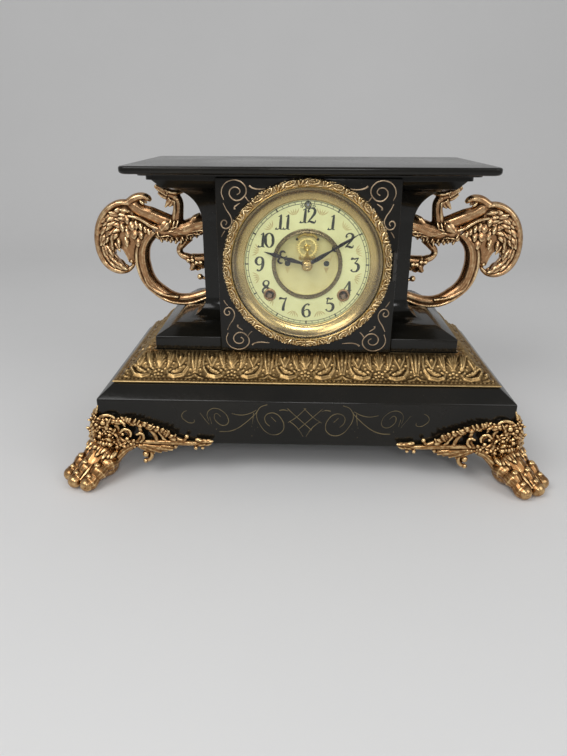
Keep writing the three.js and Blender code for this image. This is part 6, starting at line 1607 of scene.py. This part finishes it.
def bracketPieces(blank, place, outward, share, rng):
    # place takes inward from the corner, height, and lift off the plinth; share shortens the bracket
    def tube(points, lift):
        return drawnTube("twig", points, lambda inward, z: place(inward * share, z, lift), 3, 6)

    def way(inward, up):
        return Vector(place(inward, up, 0)) - Vector(place(0, 0, 0))

    def leafOn(inward, z, lift, inwardWay, upWay, size, tilt):
        return leafAt(blank, place(inward * share, z, lift), way(inwardWay, upWay), outward, size, tilt)

    thick = foot["leafThick"]
    bits = [tube(foot[name], lift) for name, lift in foot["lifts"].items()]
    bits += [tube(loop, foot["loopLift"]) for loop in foot["loops"]]
    lift, step = foot["lobeLift"]
    bits += [tube(lobe, lift + step * (k % 2)) for k, lobe in enumerate(foot["lobes"])]
    bits += [tube(scroll, foot["scrollLift"]) for scroll in foot["scrolls"]]
    bits += [tube(stalk, foot["stalkLift"]) for stalk in foot["stalks"]]
    branch = foot["branch"]
    for (a0, z0, _), (a1, z1, _) in zip(branch, branch[1:-1]):
        for k in range(3):
            part = (k + rng.uniform(0.1, 0.9)) / 3
            lean = rng.choice((-1.5, -0.5, 0.6, 1.7))
            bits.append(leafOn(a0 + (a1 - a0) * part, z0 + (z1 - z0) * part + 0.9 * lean,
                               4.0 + rng.uniform(0, 0.9), 1, lean,
                               (rng.uniform(1.6, 3.2), thick, rng.uniform(3.0, 5.4)), 0.25))
    for inward, z in foot["sprigs"]:
        for lean in (-0.9, 0.7):
            bits.append(leafOn(inward + lean, z - 0.6, 3.4, lean + rng.uniform(-0.4, 0.4), 1.0,
                               (rng.uniform(1.7, 2.4), thick, rng.uniform(2.8, 3.8)), 0.18))
        bits.append(lumpOf("pearl", (rng.uniform(1.2, 1.8),) * 3,
                           place(inward * share, z - 1.0, foot["pearlLift"])))
    for inward, z in foot["heads"]:
        start = rng.uniform(0, math.tau)
        for k in range(4):
            turn = start + k * math.tau / 4 + rng.uniform(-0.4, 0.4)
            bits.append(leafOn(inward + 2.4 / share * math.cos(turn), z + 2.4 * math.sin(turn),
                               3.2 + rng.uniform(0, 1.2), math.cos(turn), math.sin(turn),
                               (rng.uniform(1.6, 2.6), thick, rng.uniform(2.8, 4.6)), rng.uniform(0.2, 0.5)))
        bits.append(lumpOf("pearl", (rng.uniform(1.3, 2.0),) * 3,
                           place(inward * share, z, foot["pearlLift"])))
    for inward, z, inwardWay, upWay, half, long in foot["bud"]:
        bits.append(leafOn(inward, z, 3.0, inwardWay, upWay, (half, thick, long * (0.4 + 0.6 * share)), 0.05))
    for inward, z, radius, lift in foot["pearls"]:
        bits.append(lumpOf("pearl", (radius,) * 3, place(inward * share, z, lift), None, 14, 10))
    return bits


def pawPieces(blank, rng):
    cornerX, cornerY = foot["corner"]
    aheadX, aheadY = foot["ahead"]

    def spot(run, across, z):
        return (cornerX + aheadX * run + aheadY * across, cornerY + aheadY * run - aheadX * across, z)

    def wayOf(run, across, z):
        return Vector(spot(run, across, z)) - Vector(spot(0, 0, 0))

    def rowAcross(count, width):
        return [width * k / (count - 1) - width / 2 for k in range(count)]

    bow = foot["rowBow"]
    heel = foot["heel"]
    bits = [lumpOf("heel", heel, (cornerX - 1, cornerY - 1, heel[2]), None, 24, 16),
            drawnTube("ankle", foot["ankle"], lambda run, z: spot(run, 0, z), 5, 8)]
    for across, ahead in foot["toes"]:
        bits.append(drawnTube("toe", foot["toe"], lambda run, z: spot(ahead + run, across, z), 5, 8))
        run, z, radius = foot["toe"][-1]
        bits.append(lumpOf("toeTip", (radius, radius, radius * 0.98), spot(ahead + run, across, z),
                           None, 24, 16))
        bits.append(lumpOf("nail", (2.4, 2.4, 1.8), spot(ahead + run + 3.6, across, z + 1.2), None, 14, 10))
        for run, z, radius in foot["domes"]:
            bits.append(lumpOf("dome", (radius, radius, radius * 0.9), spot(ahead + run, across, z),
                               None, 16, 10))
    for left, right in zip(foot["toes"], foot["toes"][1:]):
        across = (left[0] + right[0]) / 2
        ahead = (left[1] + right[1]) / 2
        bits.append(drawnTube("groove", foot["groove"], lambda run, z: spot(ahead + run, across, z), 3, 8))
    for across in rowAcross(*foot["ankleRow"]):  # leaves hanging over the ankle
        run = 4.0 - bow * across * across + rng.uniform(-1.0, 1.0)
        z = 31.4 - 0.010 * across * across + rng.uniform(-1.8, 1.8)
        way = wayOf(1, rng.uniform(-0.4, 0.4), -0.8)
        bits.append(leafAt(blank, spot(run, across, z), way, (aheadX, aheadY, 0.8),
                           (rng.uniform(2.4, 3.6), 1.9, rng.uniform(4.4, 6.4)), 0.2))
    for across in rowAcross(*foot["instepRow"]):  # a shorter row on the instep
        way = wayOf(1, rng.uniform(-0.3, 0.3), -0.7)
        place = spot(7.6 - bow * across * across, across, 29.0 - 0.008 * across * across)
        size = (rng.uniform(2.2, 3.0), 1.6, rng.uniform(4.2, 5.6))
        bits.append(leafAt(blank, place, way, (aheadX, aheadY, 0.9), size, 0.12))
    for across in rowAcross(*foot["upperRow"]):  # pearls and upright leaves above it
        run = 3.0 - bow * across * across
        bits.append(lumpOf("pearl", (rng.uniform(1.7, 2.6),) * 3,
                           spot(run + 1.2, across, 36.4 + rng.uniform(-1, 1.6))))
        way = wayOf(0.3, rng.uniform(-1, 1), 0.6)
        place = spot(run + 0.4, across + 1.0, 41.0 + rng.uniform(-1, 2))
        size = (rng.uniform(1.8, 2.6), 1.8, rng.uniform(3.0, 4.6))
        bits.append(leafAt(blank, place, way, (aheadX, aheadY, 0.3), size, 0.3))
    for inward, z, out in foot["corners"]:  # leaves folded round the corner
        for turn in (-0.9, 0.0, 0.9):
            way = (0.5 * math.sin(turn), -0.5 * math.sin(turn), 1.0)
            place = (cornerX - 2.4 - out + inward * 0.1, cornerY - 2.4 - out + inward * 0.1, z)
            bits.append(leafAt(blank, place, way, (-1, -1, 0), (2.6, 1.9, 5.2), 0.3))
    return bits


def makeFeet():
    blank = makeLeafBlank()
    rng = np.random.default_rng(foot["seed"])
    cornerX, cornerY = foot["corner"]
    gap = foot["gap"]
    boltX = cornerX + foot["boltInset"]
    boltY = cornerY + foot["boltInset"]

    def alongFront(inward, z, lift):
        return (cornerX + inward, cornerY - gap - lift, z)

    def alongSide(inward, z, lift):
        return (cornerX - gap - lift, cornerY + inward, z)

    bits = pawPieces(blank, rng)
    bits += bracketPieces(blank, alongFront, (0, -1, 0), 1.0, rng)
    bits += bracketPieces(blank, alongSide, (-1, 0, 0), foot["sideShare"], rng)
    bits.append(drawnTube("spike", foot["spike"],
                          lambda inward, z: (cornerX + inward, cornerY + inward, z), 4, 6))
    seatTop = foot["seatTop"]
    bits.append(rodOf("boss", foot["bossRadius"], (boltX, boltY, foot["seatBase"]),
                      (boltX, boltY, seatTop), 40))
    bits.append(blockOf("seat", (cornerX - 2, cornerY - 2, seatTop - 5), (boltX, boltY, seatTop)))
    first = castSkin("footFrontLeft", bits, foot["voxel"])
    for vert in first.data.vertices:
        vert.co.z = max(vert.co.z, 0)
    holes = [rodOf("shank", foot["boltHole"], (boltX, boltY, -5), (boltX, boltY, 45), 24),
             rodOf("head", foot["headHole"], (boltX, boltY, -5), (boltX, boltY, foot["headTop"]), 24)]
    for hole in holes:
        applyModifier(first, "BOOLEAN", operation="DIFFERENCE", solver="MANIFOLD", object=hole)
        bpy.data.objects.remove(hole)
    shadeAll(first)
    markHollows(first)
    bpy.data.objects.remove(blank)
    print("foot faces", len(first.data.polygons))
    others = [("footFrontRight", (-1, 1, 1), "foot_front_right"),
              ("footBackLeft", (1, -1, 1), "foot_back_left"),
              ("footBackRight", (-1, -1, 1), "foot_back_right")]
    for name, across, node in others:
        twin = mirrorCopy(first, name, across)
        markHollows(twin)
        finishPiece(twin, "case", "gilt", "footGilt", node)
    finishPiece(first, "case", "gilt", "footGilt", "foot_front_left")


makeFeet()
print("feet made")


# the open escapement in the dial's middle

escapement = {
    "teeth": 30, "rise": dial["escapeRise"], "wheelFront": -54.2, "wheelBack": -53.4, "bridgeFront": -55.7,
    "bridgeBack": -54.8, "arborFront": -55.5, "arborBack": -31.5, "pinion": (-41.5, -34.5),
    "palletRise": dial["palletRise"], "spread": 9.2, "drop": 4.0, "crutch": (-0.3, 1.1), "crutchFoot": 180.4,
    "prongBack": 7.8, "prongReach": 2.3, "prongRise": 2.9,
    "tooth": [(-0.42, 8.15), (0.42, 8.15), (0.3, 8.9), (-0.1, 9.9), (-0.28, 9.8), (-0.3, 8.9)],
    "bridgeFeet": (6.5, 5.5), "bridgeFloor": -51.0, "spokes": 5, "spokeHalf": 0.42, "spokeRun": (1.8, 7.2),
    "spokeTurn": 54, "pinionLeaves": 8, "leafRadius": 0.5, "leafOut": 1.8}


def turnedAt(obj, angle, middle):
    # turns a piece drawn round the origin about the y line through middle
    shift = Matrix.Translation((middle[0] * mm, 0, middle[1] * mm))
    obj.data.transform(shift @ Matrix.Rotation(math.radians(angle), 4, "Y"))
    return obj


def makeEscapeWheel():
    middle = (0, dialZ + escapement["rise"])
    front = escapement["wheelFront"]
    back = escapement["wheelBack"]
    height = middle[1]
    pinionFront, pinionBack = escapement["pinion"]
    bits = [
        lathe("rim", [
            (6.9, back), (6.9, front + 0.1), (7.0, front), (8.2, front), (8.3, front + 0.1),
            (8.3, back), (6.9, back)],
            middle, 60),
        lathe("hub", [(0, back + 0.5), (2.0, back + 0.5), (2.2, front), (2.0, front - 0.2),
                      (0, front - 0.2)], middle, 36),
        rodOf("arbor", 0.65, (0, escapement["arborFront"], height),
              (0, escapement["arborBack"], height), 20),
        rodOf("pinionCore", 1.5, (0, pinionFront, height), (0, pinionBack, height), 20)]
    for k in range(escapement["teeth"]):
        fang = webPlate(escapement["tooth"], (back - front) / 2 - 0.05, (front + back) / 2)
        bits.append(turnedAt(fang, 360 * k / escapement["teeth"], middle))
    half = escapement["spokeHalf"]
    near, far = escapement["spokeRun"]
    for k in range(escapement["spokes"]):
        spoke = blockOf("spoke", (-half, front + 0.05, near), (half, back - 0.05, far))
        bits.append(turnedAt(spoke, 360 * k / escapement["spokes"] + escapement["spokeTurn"], middle))
    out = escapement["leafOut"]
    for k in range(escapement["pinionLeaves"]):
        leaf = rodOf("pinionLeaf", escapement["leafRadius"], (0, pinionFront, out), (0, pinionBack, out), 10)
        bits.append(turnedAt(leaf, 360 * k / escapement["pinionLeaves"], middle))
    wheel = joinPieces("escapeWheel", bits)
    smoothUnder(wheel, 35)
    finishPiece(wheel, "escape_wheel", "movement_brass", "paleBrass", "escape_wheel")


def makeBridge():
    # a slim cock from the wheel's pivot down to two feet by the hands
    rise = escapement["rise"]
    front = escapement["bridgeFront"]
    back = escapement["bridgeBack"]
    flank = [(0.9, rise - 2.6), (1.1, rise - 5.0), (1.8, rise - 7.2), (3.0, 5.9), (5.2, 5.2),
             (7.3, 5.0), (7.3, 4.2), (3.0, 4.1)]
    outline = [(x, dialZ + z) for x, z in flank] + [(-x, dialZ + z) for x, z in reversed(flank)]
    bits = [
        webPlate(outline, (back - front) / 2, (front + back) / 2),
        lathe("eye", [(0.95, back), (0.95, front + 0.3), (1.6, front), (2.5, front - 0.1),
                      (3.0, front + 0.2), (3.1, back), (0.95, back)], (0, dialZ + rise), 48)]
    reach, height = escapement["bridgeFeet"]
    z = dialZ + height
    for x in (-reach, reach):
        bits.append(rodOf("pillar", 0.95, (x, front + 0.2, z), (x, escapement["bridgeFloor"], z), 20))
        bits.append(lathe("screwHead", [
            (0, front - 0.35), (0.9, front - 0.3), (1.1, front), (1.1, front + 0.3)], (x, z), 24))
    bridge = joinPieces("escapeBridge", bits)
    smoothUnder(bridge, 35)
    finishPiece(bridge, "case", "movement_brass", "cockBrass", "escapement_bridge")


def makePallets():
    rise = dialZ + escapement["palletRise"]
    spread = escapement["spread"]
    stoneZ = rise - escapement["drop"]
    y = (escapement["wheelFront"] + escapement["wheelBack"]) / 2 - 0.1
    crutchFront, crutchBack = escapement["crutch"]
    low = escapement["crutchFoot"]
    top = low + escapement["prongRise"]
    bits = []
    stones = []
    for side in (-1, 1):
        bend = [(0, 0, rise), (side * 3.4, 0, rise + 0.1), (side * 7.0, 0, rise - 1.6),
                (side * spread, 0, stoneZ)]
        bits.append(pressFlat(tubeOf("arm", bend, [1.3, 1.1, 1.0, 1.1], 2, 6), 0.42, y))
        stones.append(rodOf("stone", 1.15, (side * spread, y - 0.8, stoneZ),
                            (side * spread, y + 0.7, stoneZ), 20))
        prong = escapement["prongReach"] * side
        bits.append(blockOf("prong", (prong - 0.4, crutchFront, low),
                            (prong + 0.4, escapement["prongBack"], top)))
    bits.append(lathe("hub", [
        (0, y + 0.5), (1.3, y + 0.5), (1.4, y - 0.3), (1.1, y - 0.7), (0, y - 0.7)], (0, rise), 32))
    bits.append(rodOf("arbor", 0.95, (0, escapement["arborFront"], rise), (0, crutchBack - 0.9, rise), 24))
    outline = [(-1.2, rise + 1.2), (1.2, rise + 1.2), (0.8, low + 3), (2.7, top), (2.7, low),
               (-2.7, low), (-2.7, top), (-0.8, low + 3)]
    bits.append(webPlate(outline, (crutchBack - crutchFront) / 2, (crutchFront + crutchBack) / 2))
    anchor = joinPieces("palletAnchor", bits)
    smoothUnder(anchor, 35)
    finishPiece(anchor, "pallets", "movement_brass", "cockBrass", "pallets")
    pair = joinPieces("palletStones", stones)
    applyModifier(pair, "BEVEL", width=0.15 * mm, segments=2, limit_method="ANGLE")
    smoothUnder(pair, 35)
    finishPiece(pair, "pallets", "blued_steel", "bluedSteel")


makeEscapeWheel()
makeBridge()
makePallets()
print("escapement made")


# gilt lines cut in the enamel: scrolls in the panel's corners and along the plinth

# each line has its half width in mm at the start, the middle and the end, then its places (x, z)
engraving = {
    "panelY": -60.0, "plinthY": -104.1, "panelMiddle": 188.3, "flat": 0.2,
    "corner": [
        (0.3, 0.5, 0.34, [
            (-72.6, 248.4), (-74.4, 254.7), (-71.4, 261.4), (-66.3, 264.2), (-60.8, 264.4), (-55.4, 261.5),
            (-53.0, 256.3), (-55.2, 250.9), (-61.3, 247.8), (-66.3, 250.4), (-67.6, 254.3), (-65.5, 257.9),
            (-62.0, 258.8), (-58.8, 256.9), (-58.6, 254.5), (-61.1, 252.6)]),
        (0.3, 0.48, 0.4, [
            (-73.2, 245.5), (-70.6, 240.1), (-67.2, 234.7), (-66.1, 230.0), (-68.6, 225.2), (-72.2, 224.1),
            (-75.2, 226.6), (-75.1, 229.7), (-72.5, 231.2), (-70.5, 229.2), (-71.6, 227.2)]),
        (0.25, 0.5, 0.8, [(-58.8, 245.6), (-61.9, 243.6), (-63.5, 242.1), (-63.3, 240.4)]),
        (0.8, 0.55, 0.25, [(-50.4, 260.1), (-48.0, 258.4), (-43.0, 257.3), (-34.0, 257.9)]),
        (0.4, 0.35, 0.3, [(-53.9, 251.0), (-52.2, 248.5), (-50.2, 246.6)]),
        (0.3, 0.4, 0.2, [(-72.3, 222.1), (-74.2, 219.6), (-75.6, 217.0)])],
    "plinth": [
        (0.2, 0.3, 0.2, [(-107.3, 68.3), (-110.8, 66.2), (-112.2, 61.9), (-109.0, 57.8), (-104.6, 55.7),
                         (-100.9, 57.1), (-101.1, 59.2)]),
        (0.3, 0.25, 0.2, [(-95.3, 66.0), (-91.8, 60.6), (-87.5, 54.7)]),
        (0.2, 0.25, 0.2, [(-86.7, 62.4), (-85.2, 55.2)]),
        (0.2, 0.3, 0.2, [
            (-87.7, 58.1), (-88.9, 64.9), (-86.1, 69.5), (-80.7, 70.9), (-74.1, 67.6), (-70.1, 61.8),
            (-70.3, 55.9), (-74.6, 53.7), (-79.8, 56.6), (-82.5, 61.6), (-80.8, 65.7), (-76.5, 62.6)]),
        (0.2, 0.32, 0.2, [(-66.5, 66.0), (-58.4, 64.5), (-50.4, 66.2), (-44.2, 69.6)]),
        (0.45, 0.32, 0.3, [
            (-78.2, 47.3), (-69.4, 47.8), (-61.7, 50.9), (-54.7, 56.2), (-49.3, 61.3), (-43.8, 67.4),
            (-40.2, 72.8), (-34.0, 75.4)]),
        (0.25, 0.36, 0.25, [
            (-43.4, 69.0), (-43.7, 62.3), (-40.2, 53.9), (-34.5, 47.0), (-27.2, 44.8), (-20.7, 48.3),
            (-18.9, 53.8), (-21.6, 61.8), (-26.4, 66.4), (-32.0, 66.9), (-36.0, 63.6), (-35.8, 58.0),
            (-32.0, 53.6)]),
        (0.2, 0.25, 0.2, [(-30.4, 62.9), (-26.3, 58.4)]),
        (0.3, 0.25, 0.15, [(-46.5, 67.0), (-47.2, 61.0), (-47.9, 55.5)]),
        (0.2, 0.4, 0.45, [(-15.2, 69.4), (-19.2, 70.4), (-23.2, 69.8)]),
        (0.3, 0.3, 0.3, [(-15.8, 71.7), (-4.7, 60.9), (6.4, 50.2)]),
        (0.25, 0.3, 0.25, [(-15.3, 57.7), (-8.5, 62.5), (0.9, 72.2)]),
        (0.3, 0.3, 0.45, [(-1.3, 43.5), (-7.2, 53.0), (-13.9, 59.1)]),
        (0.5, 0.5, 0.5, [(-80.9, 49.7), (-81.3, 49.8)]), (0.4, 0.4, 0.4, [(-48.4, 53.1), (-48.7, 53.3)]),
        (0.4, 0.4, 0.4, [(-43.0, 52.1), (-43.3, 52.3)]), (0.35, 0.35, 0.35, [(-45.7, 49.5), (-46.0, 49.6)]),
        (0.4, 0.4, 0.4, [(-48.3, 43.6), (-48.6, 43.2)])]}


def scrollLine(line, y, mirrorX, mirrorZ=None):
    start, swell, end, row = line
    places = []
    widths = []
    for k, (x, z) in enumerate(row):
        share = 2 * k / (len(row) - 1) - 1
        places.append((-x if mirrorX else x, 0, 2 * mirrorZ - z if mirrorZ else z))
        widths.append(swell + ((start if share < 0 else end) - swell) * share * share)
    return pressFlat(tubeOf("scroll", places, widths, 2, 6), engraving["flat"], y)


def makeEngraving():
    onPanel = []
    onPlinth = []
    for mirrorX in (False, True):
        for line in engraving["corner"]:
            onPanel.append(scrollLine(line, engraving["panelY"], mirrorX))
            onPanel.append(scrollLine(line, engraving["panelY"], mirrorX, engraving["panelMiddle"]))
        for line in engraving["plinth"]:
            onPlinth.append(scrollLine(line, engraving["plinthY"], mirrorX))
    for name, lines, finish in (("panelLines", onPanel, "lineGilt"), ("plinthLines", onPlinth, "lineWorn")):
        cut = joinPieces(name, lines)
        smoothUnder(cut, 60)
        finishPiece(cut, "case", "gilt", finish)


makeEngraving()
print("engraving made")


# stage, light and camera

stage = {
    "floorTone": 0.78, "wallTone": 0.72, "floorSize": 6, "floorY": -1.4, "backEdge": 1.5,
    "wallHeight": 3, "sweep": 0.7, "roomGlow": 0.42, "lens": 28.88, "sensor": 36,
    "cameraAt": (-0.00565, -0.5975, 0.3098), "pitch": 0.399, "yaw": 0.028, "roll": 0.003,
    # place, aim, size and watts of each light
    "lights": {"keyLight": ((-0.75, -0.95, 1.25), (0, 0, 0.15), (0.9, 0.7), 9.0),
               "fillLight": ((1.0, -0.8, 0.9), (0, 0, 0.15), (0.8, 0.8), 3.5),
               "frontLight": ((0.05, -1.1, 0.62), (0, 0, 0.16), (0.35, 0.25), 2.2)}}


def makeStage():
    bpy.ops.object.select_all(action="DESELECT")
    bpy.ops.mesh.primitive_plane_add(size=stage["floorSize"], location=(0, stage["floorY"], 0))
    floor = bpy.context.object
    floor.name = "floor"
    setInMesh(floor)
    edge = stage["backEdge"]
    openMesh(floor, "EDGE")
    chooseEdges(floor, lambda a, b: min(a.y, b.y) > edge)
    bpy.ops.mesh.extrude_region_move(TRANSFORM_OT_translate={"value": (0, 0, stage["wallHeight"])})
    bpy.ops.mesh.select_all(action="DESELECT")
    chooseEdges(floor, lambda a, b: min(a.y, b.y) > edge and max(a.z, b.z) < 0.1)
    bpy.ops.mesh.bevel(offset=stage["sweep"], segments=16)
    closeMesh()
    smoothUnder(floor, 40)
    paper = patchyMaterial("paperSweep", {
        "Clean": (stage["floorTone"],) * 3 + (1,), "Aged": (stage["wallTone"],) * 3 + (1,),
        "Patch Scale": 1.2, "Grain Scale": 60.0, "Amount": 0.4, "Rough Low": 0.6,
        "Rough High": 0.75}, 0.0, 0.0)
    floor.data.materials.append(paper)
    world = bpy.data.worlds.new("room")
    bpy.context.scene.world = world
    world.use_nodes = True
    glow = world.node_tree.nodes["Background"]
    glow.inputs["Color"].default_value = (1, 1, 1, 1)
    glow.inputs["Strength"].default_value = stage["roomGlow"]


def addSoftLight(name, place, aim, size, watts):
    lamp = bpy.data.lights.new(name, "AREA")
    lamp.shape = "RECTANGLE"
    lamp.size, lamp.size_y = size
    lamp.energy = watts
    obj = bpy.data.objects.new(name, lamp)
    bpy.context.scene.collection.objects.link(obj)
    obj.location = place
    obj.rotation_euler = (Vector(aim) - Vector(place)).to_track_quat("-Z", "Y").to_euler()


def addCamera():
    lensData = bpy.data.cameras.new("photoCamera")
    lensData.lens = stage["lens"]
    lensData.sensor_width = stage["sensor"]
    camera = bpy.data.objects.new("photoCamera", lensData)
    bpy.context.scene.collection.objects.link(camera)
    camera.location = stage["cameraAt"]
    turn = Matrix.Rotation(stage["yaw"], 4, "Z") @ Matrix.Rotation(math.pi / 2 - stage["pitch"], 4, "X")
    turn = turn @ Matrix.Rotation(stage["roll"], 4, "Z")
    camera.rotation_euler = turn.to_euler()
    bpy.context.scene.camera = camera


makeStage()
for name, values in stage["lights"].items():
    addSoftLight(name, *values)
addCamera()
bpy.context.scene.view_settings.view_transform = "Standard"

# the hinge is blacked like its panel, and the winding squares are browned with age
nodeFinish = {
    "bezel_hinge": "japanBlack", "winding_arbor_time": "arborBrown", "winding_arbor_strike": "arborBrown"}
for name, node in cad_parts.items():
    if node.hide_render:
        continue
    finish = nodeFinish.get(name) or slotFinish[node.data.materials[0].name]
    node.data.materials.clear()
    node.data.materials.append(finishes[finish])
print("stage, lights and camera set")
